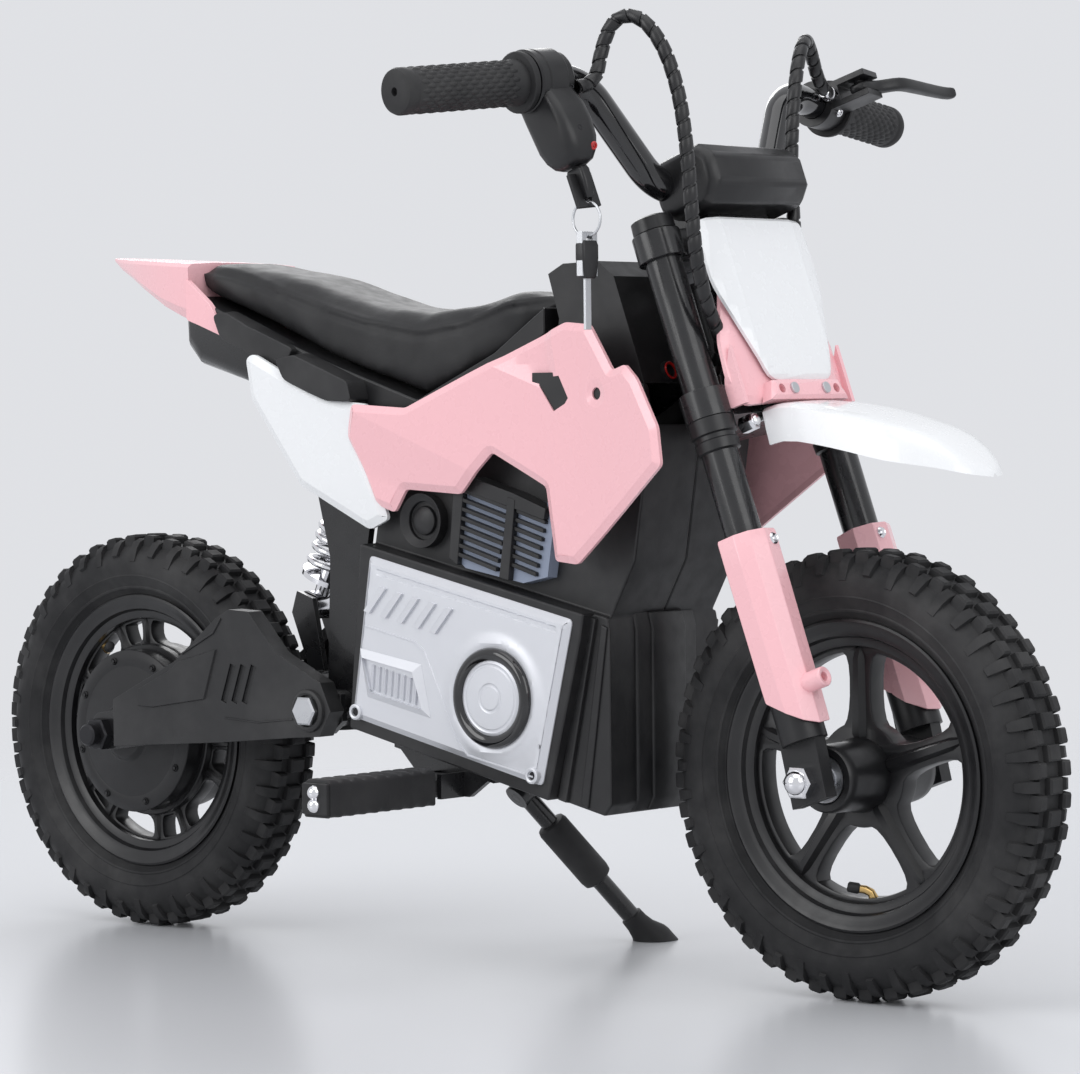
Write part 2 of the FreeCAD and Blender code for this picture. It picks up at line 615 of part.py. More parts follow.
dropout_outer = S.leg_spread + S.dropout_thick * HALF
dropout_inner = S.leg_spread - S.dropout_thick * HALF
spacer_length = dropout_inner - S.front_hub_half - S.seat_clear
front_spacer = cylinder(S.axle_spacer_radius, spacer_length, "Y",
                        (AXLE_FRONT, S.front_hub_half + S.seat_clear, S.wheel_radius))
front_nut = axle_nut(S.front_nut_radius, S.front_nut_thick, AXLE_FRONT, dropout_outer, S.wheel_radius)
front_axle = fuse(across(S.front_axle_radius, S.front_axle_half, AXLE_FRONT, S.wheel_radius),
                  front_spacer, mirrored(front_spacer), front_nut, mirrored(front_nut))
node(front_axle, "front_axle")

# Hub motor, rear axle, brake disc and caliper
half_case = [(S.rear_axle_radius + S.run_clear, S.motor_boss_half), (S.motor_boss_radius, S.motor_boss_half),
             (S.motor_step_radius, S.motor_step_half), (S.motor_radius, S.motor_edge_half)]
half_hollow = [(S.motor_radius - S.motor_wall, S.motor_edge_half - S.motor_wall),
               (S.motor_boss_radius, S.motor_step_half - S.motor_wall),
               (S.rear_axle_radius + S.run_clear, S.motor_step_half - S.motor_wall)]
case_section = half_case + [(r, -a) for r, a in reversed(half_case)]
case_section += [(r, -a) for r, a in reversed(half_hollow)] + half_hollow
node(lay_across(turned(case_section), AXLE_REAR, S.wheel_radius), "hub_motor_case")
stator = cut(across(S.stator_radius, S.stator_half, AXLE_REAR, S.wheel_radius),
             across(S.rear_axle_radius + S.run_clear, S.stator_half + S.cut_over, AXLE_REAR, S.wheel_radius))
node(stator, "motor_stator")
arm_outer = S.arm_plate_inner + S.arm_plate_thick
rear_nut = axle_nut(S.rear_nut_radius, S.rear_nut_thick, AXLE_REAR, arm_outer, S.wheel_radius)
rear_axle = fuse(across(S.rear_axle_radius, S.rear_axle_half, AXLE_REAR, S.wheel_radius),
                 rear_nut, mirrored(rear_nut))
node(rear_axle, "rear_axle")
disc_low = S.motor_boss_half
disc = cut(cylinder(S.disc_radius, S.disc_thick, "Y", (AXLE_REAR, disc_low, S.wheel_radius)),
           across(S.rear_axle_radius + S.seat_clear, S.rear_axle_half, AXLE_REAR, S.wheel_radius))
node(disc, "brake_disc")
caliper_low = disc_low - S.caliper_slot_clear - S.caliper_side
caliper_block = block((S.caliper_inner, caliper_low, -S.caliper_width * HALF),
                      (S.caliper_outer - S.caliper_inner, S.arm_plate_inner - caliper_low, S.caliper_width))
caliper_slot = block((S.caliper_inner - S.cut_over, disc_low - S.caliper_slot_clear, -S.caliper_width),
                     (S.disc_radius - S.caliper_inner + S.cut_over * 2,
                      S.disc_thick + S.caliper_slot_clear * 2,
                      S.caliper_width * 2))
caliper = cut(caliper_block, caliper_slot)
caliper.Placement = FreeCAD.Placement(V(), FreeCAD.Rotation(V(0, -1, 0), S.caliper_angle.value))
bind(caliper, ".Placement.Rotation.Angle", S.caliper_angle)
node(at(caliper, (AXLE_REAR, dim(0), S.wheel_radius)), "brake_caliper")

# Swingarm: two plates, a cross tube, the lugs and pin for the shock
ARM_PLATE_SHARES = [(0.045, 0.009), (-0.060, 0.009), (-0.072, 0.157), (-0.022, 0.252), (0.112, 0.296),
                    (0.615, 0.487), (0.824, 0.643), (0.958, 0.539), (1.075, 0.470), (1.084, 0.296),
                    (1.034, 0.209), (0.615, 0.174)]
ARM_COVER_SHARES = [(0.120, 0.050), (0.120, 0.365), (0.405, 0.643), (0.594, 0.939), (0.652, 1.000),
                    (0.740, 0.991), (0.858, 0.730), (1.050, 0.548), (1.092, 0.365), (1.046, 0.200),
                    (0.929, 0.183), (0.615, 0.122)]
ARM_HOLLOW_SHARES = [(0.165, 0.130), (0.165, 0.345), (0.430, 0.590), (0.640, 0.900), (0.720, 0.890),
                     (0.840, 0.650), (0.900, 0.420), (0.880, 0.270), (0.615, 0.190)]
arm_length = S.pivot_x - AXLE_REAR
arm_frame = (AXLE_REAR, S.arm_low_z, arm_length, S.arm_height)
arm_plate = padded("XZ", shares_at(*arm_frame, ARM_PLATE_SHARES), S.arm_plate_inner, arm_outer)
boss_start = S.pivot_tube_half + S.seat_clear
arm_boss = cylinder(S.arm_boss_radius, arm_outer - boss_start, "Y", (S.pivot_x, boss_start, S.pivot_z))
lug_inner = S.shock_eye_half + S.shock_lug_gap
lug_rise = S.shock_eye_radius
lug_outline = [(S.arm_cross_x - S.arm_cross_radius * HALF, S.arm_cross_z),
               (S.arm_cross_x + S.arm_cross_radius * HALF, S.arm_cross_z),
               (S.shock_low_x + lug_rise, S.shock_low_z + lug_rise * HALF),
               (S.shock_low_x - lug_rise * HALF, S.shock_low_z + lug_rise),
               (S.shock_low_x - lug_rise, S.shock_low_z - lug_rise * HALF)]
shock_lug = padded("XZ", lug_outline, lug_inner, lug_inner + S.shock_lug_thick)
arm_solids = [arm_plate, mirrored(arm_plate), arm_boss, mirrored(arm_boss), shock_lug, mirrored(shock_lug),
              across(S.arm_cross_radius, arm_outer, S.arm_cross_x, S.arm_cross_z),
              across(S.shock_pin_radius, lug_inner + S.shock_lug_thick, S.shock_low_x, S.shock_low_z)]
swingarm = cut(fuse(*arm_solids),
               across(S.pivot_radius + S.run_clear, arm_outer + S.cut_over, S.pivot_x, S.pivot_z),
               across(S.rear_axle_radius + S.run_clear, arm_outer + S.cut_over, AXLE_REAR, S.wheel_radius))
node(swingarm, "swingarm")
cover_outer = arm_outer + S.arm_cover_depth
arm_cover_shell = padded("XZ", shares_at(*arm_frame, ARM_COVER_SHARES), -cover_outer, -arm_outer)
arm_cover_hollow = padded("XZ", shares_at(*arm_frame, ARM_HOLLOW_SHARES),
                          -(cover_outer - S.arm_cover_wall), -(arm_outer - S.cut_over))
cover_cuts = [arm_cover_hollow,
              across(S.pivot_radius + S.seat_clear, cover_outer + S.cut_over, S.pivot_x, S.pivot_z)]
for slot in range(int(S.louvre_count.value)):
    louvre = block((S.louvre_x + S.louvre_pitch * slot, -(cover_outer + S.cut_over), S.louvre_z),
                   (S.louvre_width, S.louvre_depth + S.cut_over, S.louvre_length))
    louvre.Placement = FreeCAD.Placement(louvre.Placement.Base,
                                         FreeCAD.Rotation(V(0, 1, 0), S.louvre_lean.value))
    bind(louvre, ".Placement.Rotation.Angle", S.louvre_lean)
    cover_cuts.append(louvre)
node(pair(cut(arm_cover_shell, *cover_cuts)), "swingarm_covers")

# Pivot bolt and shock bolt with heads and nuts
head_start = cover_outer + S.seat_clear
pivot_head = cylinder(S.pivot_head_radius, S.pivot_head_thick, "Y", (S.pivot_x, head_start, S.pivot_z))
pivot_bolt = fuse(across(S.pivot_radius, head_start, S.pivot_x, S.pivot_z), pivot_head, mirrored(pivot_head))
shock_bolt_head = cylinder(S.shock_bolt_head, S.shock_bolt_head_thick, "Y",
                           (S.shock_top_x, S.rear_plate_inner + S.rear_plate_thick, S.shock_top_z))
shock_bolt = fuse(across(S.shock_pin_radius, S.shock_bolt_half, S.shock_top_x, S.shock_top_z),
                  shock_bolt_head, mirrored(shock_bolt_head))
node(group(pivot_bolt, shock_bolt), "suspension_bolts")

# Coil-over shock, built downwards from its upper eye
shock_span_x = S.shock_top_x - S.shock_low_x
shock_span_z = S.shock_top_z - S.shock_low_z
shock_span_text = "sqrt(%s ^ 2 + %s ^ 2)" % (shock_span_x.text, shock_span_z.text)
SHOCK_LENGTH = Dim(math.hypot(shock_span_x.value, shock_span_z.value), shock_span_text)
SHOCK_LEAN = Dim(math.degrees(math.atan2(shock_span_x.value, shock_span_z.value)),
                 "atan2(%s; %s)" % (shock_span_x.text, shock_span_z.text))


def lean_shock(thing):
    """Put a piece built on the shock's own Z axis at the upper eye."""
    thing.Placement = FreeCAD.Placement(V(), FreeCAD.Rotation(V(0, 1, 0), SHOCK_LEAN.value))
    bind(thing, ".Placement.Rotation.Angle", SHOCK_LEAN)
    return at(thing, (S.shock_top_x, dim(0), S.shock_top_z))


def down_rod(radius, low, high):
    """Cylinder on the shock's axis between two depths below the upper eye."""
    return cylinder(radius, low - high, "Z", (dim(0), dim(0), -low))


shock_body = cut(fuse(across(S.shock_eye_radius, S.shock_eye_half, dim(0), dim(0)),
                      down_rod(S.shock_body_radius, S.shock_body_drop, S.shock_eye_radius * HALF),
                      down_rod(S.shock_seat_radius, S.shock_seat_drop + S.shock_seat_thick,
                               S.shock_seat_drop)),
                 across(S.shock_pin_radius + S.run_clear, S.shock_eye_half + S.cut_over, dim(0), dim(0)),
                 down_rod(S.shock_rod_radius + S.run_clear, S.shock_body_drop + S.cut_over,
                          S.shock_bore_drop))
node(lean_shock(shock_body), "shock_body")
low_seat = SHOCK_LENGTH - S.shock_low_seat_rise
shock_rod = cut(fuse(across(S.shock_eye_radius, S.shock_eye_half, dim(0), -SHOCK_LENGTH),
                     down_rod(S.shock_rod_radius, SHOCK_LENGTH - S.shock_eye_radius * HALF, S.shock_rod_drop),
                     down_rod(S.shock_seat_radius, low_seat, low_seat - S.shock_seat_thick)),
                across(S.shock_pin_radius + S.shock_eye_clear, S.shock_eye_half + S.cut_over, dim(0),
                       -SHOCK_LENGTH))
node(lean_shock(shock_rod), "shock_rod")


def make_coil():
    """Spring between the two seats: one tube on biarcs, a quarter turn each."""
    wire = S.coil_wire.value
    radius = S.coil_radius.value
    high = -(S.shock_seat_drop + S.shock_seat_thick + S.coil_gap).value - wire * HALF
    low = -(low_seat - S.shock_seat_thick - S.coil_gap).value + wire * HALF
    quarters = 4 * int(S.coil_turns.value)
    climb = (high - low) / quarters
    slope = climb / (math.pi * HALF)
    spots = []
    headings = []
    for quarter in range(quarters + 1):
        turn = quarter * math.pi * HALF
        spots.append(V(radius * math.cos(turn), radius * math.sin(turn), low + climb * quarter))
        headings.append(V(-radius * math.sin(turn), radius * math.cos(turn), slope).normalize())
    edges = [Part.LineSegment(spots[0] - headings[0] * wire, spots[0]).toShape()]
    for quarter in range(quarters):
        edges += biarc(spots[quarter], headings[quarter], spots[quarter + 1], headings[quarter + 1])
    edges.append(Part.LineSegment(spots[-1], spots[-1] + headings[-1] * wire).toShape())
    turn_gap = climb * 4 * math.cos(math.atan2(slope, radius)) - wire
    print("spring: least gap between turns %.2f mm" % turn_gap)
    return tube_on(Part.Wire(edges), wire * HALF)


node(lean_shock(solid(make_coil())), "shock_spring")

# Battery casing: one line along its top carries what stands on it
CORE_SHARES = [(0.000, 0.280), (0.054, 1.000), (0.992, 0.741), (1.000, 0.688), (1.000, 0.042), (0.975, 0.000)]
CHEEK_FRONT_SHARES = [(0.929, 0.661), (0.800, 0.060)]
WALL_SHARES = [(0.083, 1.206), (0.208, 1.302), (0.708, 1.608), (1.121, 1.608), (1.146, 1.455), (1.083, 0.952)]
COVER_SHARES = [(0.100, 0.955), (0.905, 0.733), (0.783, 0.106), (0.022, 0.325)]
box_frame = (S.box_rear_x, S.box_low_z, S.box_length, S.box_height)
core = shares_at(*box_frame, CORE_SHARES)
rear_low, rear_top, front_top = core[0], core[1], core[2]
front_low = core[5]


def on_line(first, last, x):
    """Height at x on the line through two outline corners."""
    return first[1] + (last[1] - first[1]) * (x - first[0]) / (last[0] - first[0])


def box_top(x):
    """Height of the casing's sloping top at x."""
    return on_line(rear_top, front_top, x)


def box_bottom(x):
    """Height of the casing's sloping underside at x."""
    return on_line(rear_low, front_low, x)


CHEEK_LENGTH_SHARE = 0.942
cheek_x = S.box_rear_x + S.box_length * CHEEK_LENGTH_SHARE
cheek = [rear_low, rear_top, (cheek_x, box_top(cheek_x))] + shares_at(*box_frame, CHEEK_FRONT_SHARES)
cheek[-1] = (cheek[-1][0], box_bottom(cheek[-1][0]))
wall = [rear_top] + shares_at(*box_frame, WALL_SHARES) + [front_top]
neck = [wall[-1], wall[-2], wall[-3], (wall[-3][0] - S.neck_thick, wall[-3][1]),
        (wall[-2][0] - S.neck_thick, wall[-2][1]),
        (front_top[0] - S.neck_thick, box_top(front_top[0] - S.neck_thick))]
bay_rear = rear_top[0] + S.box_wall


def bay_outline(front_high, front_deep):
    """Room inside the casing, one wall away from its top and underside."""
    return [(bay_rear, box_bottom(bay_rear) + S.box_wall), (bay_rear, box_top(bay_rear) - S.box_wall),
            (front_high, box_top(front_high) - S.box_wall), (front_deep, box_bottom(front_deep) + S.box_wall)]


box_front = core[3][0] - S.box_wall
side_bay = bay_outline(cheek[3][0] - S.box_wall * 2, cheek[4][0] - S.box_wall * 2)
middle_bay = bay_outline(box_front - S.box_wall, box_front - S.box_wall * 2)
casing_right = cut(fuse(padded("XZ", core, -S.box_core_half, dim(0)),
                        padded("XZ", cheek, -S.box_half_width, -S.box_core_half),
                        padded("XZ", wall, -S.wall_outer, -S.wall_inner),
                        padded("XZ", neck, -S.wall_inner, dim(0))),
                   padded("XZ", side_bay, -(S.box_half_width - S.box_wall), S.cut_over),
                   padded("XZ", middle_bay, -(S.box_core_half - S.box_wall), S.cut_over))
node(casing_right, "casing_right")
node(mirrored(casing_right), "casing_left")


def bay_slab(start, length, rise, height, half):
    """Block that lies on the bay's sloping floor or on what lies there."""
    end = start + length
    floor = [(start, box_bottom(start) + S.box_wall + rise), (end, box_bottom(end) + S.box_wall + rise)]
    roof = [(end, floor[1][1] + height), (start, floor[0][1] + height)]
    return padded("XZ", floor + roof, -half, half)


node(bay_slab(bay_rear, S.battery_length, dim(0), S.battery_height, S.battery_half), "battery_pack")
node(bay_slab(bay_rear + S.controller_height, S.controller_length, S.battery_height, S.controller_height,
              S.controller_half), "motor_controller")
cover_face = S.box_half_width + S.cover_thick
cover_corners = shares_at(*box_frame, COVER_SHARES)
box_cover = padded("XZ", cover_corners, -cover_face, -S.box_half_width)
node(pair(box_cover), "box_covers")
badge_ring = cut(cylinder(S.badge_radius, S.badge_thick, "Y", (S.badge_x, cover_face, S.badge_z)),
                 cylinder(S.badge_bore_radius, S.badge_thick * 2, "Y",
                          (S.badge_x, cover_face - S.cut_over, S.badge_z)))
node(pair(badge_ring), "badge_rings")
badge_disc = cylinder(S.badge_bore_radius - S.badge_gap, S.badge_disc_thick, "Y",
                      (S.badge_x, cover_face, S.badge_z))
node(pair(badge_disc), "badge_discs")

# Dummy engine block with fin slots, and the round intake cap
engine_outline = [(S.engine_rear_x, box_top(S.engine_rear_x)), (S.engine_front_x, box_top(S.engine_front_x)),
                  (S.engine_front_x - S.fin_margin, S.engine_top_z - S.fin_margin),
                  (S.engine_rear_x + S.fin_margin, S.engine_top_z)]
engine_body = padded("XZ", engine_outline, -S.engine_outer, -S.wall_outer)
fin_low = box_top(S.engine_rear_x) + S.fin_margin
fin_pitch = (S.engine_top_z - S.fin_margin * 2 - fin_low) / S.fin_count
fin_cuts = []
for fin in range(int(S.fin_count.value)):
    fin_cuts.append(block((S.engine_rear_x, -(S.engine_outer + S.cut_over), fin_low + fin_pitch * fin),
                          (S.engine_front_x - S.engine_rear_x, S.fin_depth + S.cut_over, S.fin_slot)))
finned_block = cut(engine_body, *fin_cuts)
intake = cylinder(S.intake_radius, S.intake_outer - S.wall_outer, "Y", (S.intake_x, S.wall_outer, S.intake_z))
node(group(finned_block, mirrored(finned_block), intake, mirrored(intake)), "engine_block")

# Seat: the low edge of the cushion carries the base, the frame's tongue and the tail
seat_line = [(S.seat_rear_x, S.seat_rear_z), (S.seat_mid_x, S.seat_mid_z), (S.seat_low_x, S.seat_low_z),
             (S.seat_front_x, S.seat_front_z), (S.seat_nose_x, S.seat_nose_z)]
base_line = [(x, z - S.seat_base_thick) for x, z in seat_line]
node(padded("XZ", seat_line + base_line[::-1], -S.seat_base_half, S.seat_base_half), "seat_base")


def make_cushion():
    """Crowned cushion with drawn-in sides, ruled through its sections."""
    thick = [S.seat_rear_thick, S.seat_mid_thick, S.seat_low_thick, S.seat_front_thick, S.seat_nose_thick]
    width_shares = [0.74, 1.00, 0.93, 0.84, 0.66]
    edge_shares = [0.55, 0.52, 0.52, 0.56, 0.60]
    between_shares = [0.30, 0.65]
    tuck = S.seat_tuck.value
    half = S.seat_half_width.value
    gap = S.seat_clear.value
    stations = []
    for index, (x, z) in enumerate(seat_line):
        stations.append((x.value, z.value, thick[index].value, width_shares[index], edge_shares[index]))
    filled = []
    for first, last in zip(stations, stations[1:]):
        filled.append(first)
        for share in between_shares:
            ease = share * share * (3 - 2 * share)
            row = [first[0] + (last[0] - first[0]) * share, first[1] + (last[1] - first[1]) * share]
            row += [a + (b - a) * ease for a, b in zip(first[2:], last[2:])]
            filled.append(tuple(row))
    filled.append(stations[-1])
    sections = []
    for x, z, tall, width_share, edge_share in filled:
        if x == stations[0][0]:
            x += gap
        side = half * width_share
        low = z + gap
        edge = low + tall * edge_share
        top = low + tall
        corners = [V(x, -side + tuck, low), V(x, side - tuck, low), V(x, side, edge), V(x, -side, edge)]
        middle = (low + edge) * HALF
        right = Part.Arc(corners[1], V(x, side - tuck, middle), corners[2])
        crown = Part.Arc(corners[2], V(x, 0, top), corners[3])
        left = Part.Arc(corners[3], V(x, -side + tuck, middle), corners[0])
        floor = Part.LineSegment(corners[0], corners[1])
        sections.append(Part.Wire([edge_part.toShape() for edge_part in (floor, right, crown, left)]))
    return Part.makeLoft(sections, True, True)


node(solid(make_cushion()), "seat_cushion")

# Tail cowl, a hollow wedge behind the seat, and the box below it
TAIL_STATION_SHARES = ((1.0, 1.0), (0.66, 0.74), (0.0, 0.0))


def tail_section(x, width_share, height_share, wall):
    """Five-sided cowl section between the seat end and the tip."""
    half = S.tail_tip_half + (S.tail_half - S.tail_tip_half) * width_share - wall
    tip_low = S.tail_tip_z - S.tail_tip_height * HALF
    low = tip_low + (S.tail_low_z - tip_low) * height_share + wall
    top = S.tail_tip_z + S.tail_tip_height * HALF + (S.tail_top_z - S.tail_tip_z) * height_share - wall
    side_share = 0.72
    side = low + (top - low) * side_share
    corners = [(x, -half, low), (x, half, low), (x, half, side), (x, dim(0), top), (x, -half, side)]
    spots = [number(corner) for corner in corners]
    return Part.makePolygon(spots + spots[:1])


def make_tail():
    """Ruled cowl through its stations, hollowed from the front."""
    places = (S.seat_rear_x, S.tail_mid_x, S.tail_tip_x)
    outer = [tail_section(x, *shares, dim(0)) for x, shares in zip(places, TAIL_STATION_SHARES)]
    hollow_places = (S.seat_rear_x - S.tail_wall, S.tail_mid_x)
    inner = [tail_section(x, *shares, S.tail_wall) for x, shares in zip(hollow_places, TAIL_STATION_SHARES)]
    shell = Part.makeLoft(outer, True, True)
    hollow = Part.makeLoft(inner, True, True)
    return shell.cut(hollow)


node(solid(make_tail()), "tail_cowl")
tail_box_outline = []
for tail_x in (S.tail_box_rear_x, S.tail_box_front_x + S.tail_box_lap):
    tail_box_outline.append((tail_x, on_line(base_line[0], base_line[1], tail_x)))
tail_box_outline += [(S.tail_box_front_x + S.tail_box_lap, S.tail_box_front_z),
                     (S.tail_box_front_x, S.tail_box_front_z), (S.tail_box_rear_x, S.tail_box_rear_z)]
node(padded("XZ", tail_box_outline, -S.tail_box_half, S.tail_box_half), "tail_box")

# Main frame: head tube, backbone, rear plates, pivot tube, seat tongue and the web over the casing
REAR_PLATE_SHARES = [(0.15, 0.00), (0.62, 0.00), (0.76, 0.52), (1.00, 0.88), (1.00, 1.00), (0.06, 1.00),
                     (0.00, 0.78), (0.22, 0.54)]


def on_head(radius, low, high):
    """Cylinder on the steering axis that stays with the frame."""
    rod = steer(cylinder(radius, high - low, "Z", (dim(0), dim(0), low)))
    low_x, low_z = steer_point(dim(0), low)
    return at(rod, (low_x, dim(0), low_z))


head_tube = on_head(S.head_radius, S.head_low, S.head_high)
head_bore = on_head(S.head_bore_radius, S.head_low - S.head_radius, S.head_high + S.head_radius)
join_x, join_z = steer_point(dim(0), S.head_join)
backbone_path = [number((join_x, 0, join_z)), number((S.backbone_knee_x, 0, S.backbone_knee_z)),
                 number((S.backbone_rear_x, 0, S.backbone_knee_z))]
backbone_wire, backbone_radii = bent_wire(backbone_path)
backbone = solid(tube_on(backbone_wire, S.backbone_radius.value))
rear_plate_outer = S.rear_plate_inner + S.rear_plate_thick
rear_plate = padded("XZ",
                    shares_at(S.rear_plate_x, S.rear_plate_low, S.rear_plate_length, S.rear_plate_height,
                                    REAR_PLATE_SHARES), S.rear_plate_inner, rear_plate_outer)
pivot_tube = across(S.pivot_tube_radius, S.pivot_tube_half, S.pivot_x, S.pivot_z)
tongue_rear = S.seat_mid_x - S.tongue_half
tongue = padded("XZ",
                [(tongue_rear, on_line(base_line[0], base_line[1], tongue_rear)), base_line[1], base_line[2],
                       (base_line[2][0], base_line[2][1] - S.tongue_thick * HALF),
                       (base_line[1][0], base_line[1][1] - S.tongue_thick),
                       (tongue_rear, on_line(base_line[0], base_line[1], tongue_rear) - S.tongue_thick)],
                -rear_plate_outer, rear_plate_outer)
cross_brace = across(S.backbone_radius * HALF, rear_plate_outer, S.backbone_rear_x, S.backbone_knee_z)
web = padded("XZ", [(S.web_rear_x, box_top(S.web_rear_x)), (S.web_front_x, box_top(S.web_front_x)),
                    (S.web_front_x, S.backbone_knee_z + S.backbone_radius),
                    (S.web_rear_x, S.backbone_knee_z)],
             -S.web_half, S.web_half)
frame_solid = fuse(head_tube, backbone, rear_plate, mirrored(rear_plate), pivot_tube, tongue, cross_brace,
                   web)
main_frame = cut(frame_solid, head_bore,
                 across(S.pivot_radius + S.run_clear, S.pivot_tube_half + S.cut_over, S.pivot_x, S.pivot_z),
                 across(S.shock_pin_radius + S.run_clear, S.shock_bolt_half, S.shock_top_x, S.shock_top_z))
node(main_frame, "main_frame")

# Tank cover: a shell open below, standing on the casing's side walls
TANK_SHARES = [(0.023, 0.000), (0.114, 0.535), (0.000, 0.907), (0.159, 0.988), (0.523, 1.000), (0.693, 0.872),
               (0.898, 0.302), (1.000, 0.000)]
TANK_HOLLOW_SHARES = [(0.060, -0.050), (0.160, 0.535), (0.060, 0.890), (0.180, 0.950), (0.510, 0.960),
                      (0.660, 0.845), (0.860, 0.290), (0.970, -0.050)]
tank_frame = (S.tank_rear_x, S.tank_low_z, S.tank_length, S.tank_height)
tank_inside = S.tank_half - S.tank_wall
tank_notch = solid(tube_on(backbone_wire, (S.backbone_radius + S.tank_clear).value))
node(cut(padded("XZ", shares_at(*tank_frame, TANK_SHARES), -S.tank_half, S.tank_half),
         padded("XZ", shares_at(*tank_frame, TANK_HOLLOW_SHARES), -tank_inside, tank_inside),
         tank_notch, on_head(S.head_radius + S.tank_clear, S.head_low, S.head_high)), "tank_cover")

# Side panels: a side outline through a flared strip, with bosses onto the casing wall
PANEL_SHARES = [(0.028, 0.669), (0.000, 0.524), (0.081, 0.237), (0.144, 0.201), (0.181, 0.302),
                (0.362, 0.284),
                (0.469, 0.462), (0.628, 0.320), (0.655, 0.012), (0.722, 0.000), (1.000, 0.414),
                (0.988, 0.568),
                (0.922, 0.763), (0.884, 0.822), (0.841, 0.799), (0.766, 0.988), (0.691, 1.000),
                (0.397, 0.793),
                (0.200, 0.651)]
STRIP_PLACE_SHARES = (-0.02, 0.40, 0.72, 1.02)
PANEL_BOSS_SHARES = ((0.216, 0.379), (0.530, 0.570), (0.735, 0.250))
panel_frame = (S.panel_rear_x, S.panel_low_z, S.panel_length, S.panel_height)
strip_halves = (S.panel_rear_half, S.panel_mid_half, S.panel_bend_half, S.panel_front_half)
strip_places = [S.panel_rear_x + S.panel_length * share for share in STRIP_PLACE_SHARES]
strip = [(x, -half) for x, half in zip(strip_places, strip_halves)]
strip_inner = [(x, y + S.panel_thick) for x, y in strip]
panel_prism = padded("XZ", shares_at(*panel_frame, PANEL_SHARES), -(S.panel_front_half + S.cut_over),
                     -S.wall_outer)
panel_sheet = padded("XY", strip + strip_inner[::-1], S.panel_low_z - S.cut_over,
                     S.panel_low_z + S.panel_height + S.cut_over)
panel_solids = [common(panel_prism, panel_sheet)]
panel_room = padded("XY", strip + [(strip_places[-1], -S.wall_outer), (strip_places[0], -S.wall_outer)],
                    S.panel_low_z - S.cut_over, S.panel_low_z + S.panel_height + S.cut_over)
boss_reach = S.panel_front_half - S.wall_outer
bosses = [cylinder(S.panel_boss_radius, boss_reach, "Y", (boss_x, -S.panel_front_half, boss_z))
          for boss_x, boss_z in shares_at(*panel_frame, PANEL_BOSS_SHARES)]
panel_solids.append(common(fuse(*bosses), panel_room))
side_panel = fuse(*panel_solids)
node(side_panel, "side_panel_right")
node(mirrored(side_panel), "side_panel_left")

REAR_PANEL_SHARES = [(0.000, 1.000), (0.028, 0.750), (0.383, 0.250), (0.865, 0.000), (1.000, 0.062),
                     (0.894, 0.148), (0.709, 0.531), (0.773, 0.727), (0.404, 0.812)]
rear_panel_inner = S.rear_panel_half - S.rear_panel_thick
rear_panel = fuse(padded("XZ",
                         shares_at(S.rear_panel_x, S.rear_panel_z, S.rear_panel_length, S.rear_panel_height,
                                         REAR_PANEL_SHARES), -S.rear_panel_half, -rear_panel_inner),
                  cylinder(S.panel_boss_radius,
                           rear_panel_inner - rear_plate_outer + S.rear_panel_thick * HALF, "Y",
                           (S.rear_boss_x, -(rear_panel_inner + S.rear_panel_thick * HALF), S.rear_boss_z)))
node(pair(rear_panel), "rear_panels")


# Fork: stanchions, yokes, stem, bearings, sliders and guards, all in the steering frame
def leg_rod(radius, low, high, side=-1):
    """Cylinder along one fork leg."""
    return cylinder(radius, high - low, "Z", (S.yoke_offset, S.leg_spread * side, low))


def stem_rod(radius, low, high):
    """Cylinder along the steering axis."""
    return cylinder(radius, high - low, "Z", (dim(0), dim(0), low))


stanchion = cut(leg_rod(S.stanchion_radius, S.stanchion_low, S.stanchion_top),
                leg_rod(S.stanchion_radius - S.stanchion_wall, S.stanchion_low - S.cut_over,
                        S.stanchion_top - S.stanchion_wall))
node(steer(pair(stanchion)), "stanchions")
leg_bore = S.stanchion_radius + S.run_clear
stem_bore = S.stem_radius + S.run_clear


def yoke(low, *extras):
    """Bridge between the stem and both legs with its clamp bores."""
    high = low + S.yoke_thick
    outline = [(-S.yoke_rear, -S.yoke_rear_half), (S.yoke_offset - S.yoke_clamp * HALF, -S.leg_spread),
               (S.yoke_offset + S.yoke_clamp * HALF, -S.leg_spread),
               (S.yoke_offset + S.yoke_clamp, -S.yoke_tab_half),
               (S.yoke_offset + S.yoke_clamp, S.yoke_tab_half),
               (S.yoke_offset + S.yoke_clamp * HALF, S.leg_spread),
               (S.yoke_offset - S.yoke_clamp * HALF, S.leg_spread), (-S.yoke_rear, S.yoke_rear_half)]
    bridge = fuse(padded("XY", outline, low, high), leg_rod(S.yoke_clamp, low, high, -1),
                  leg_rod(S.yoke_clamp, low, high, 1), *extras)
    return bridge, [leg_rod(leg_bore, low - S.cut_over, high + S.cut_over, side) for side in (-1, 1)] + [
        stem_rod(stem_bore, low - S.cut_over, high + S.cut_over)]


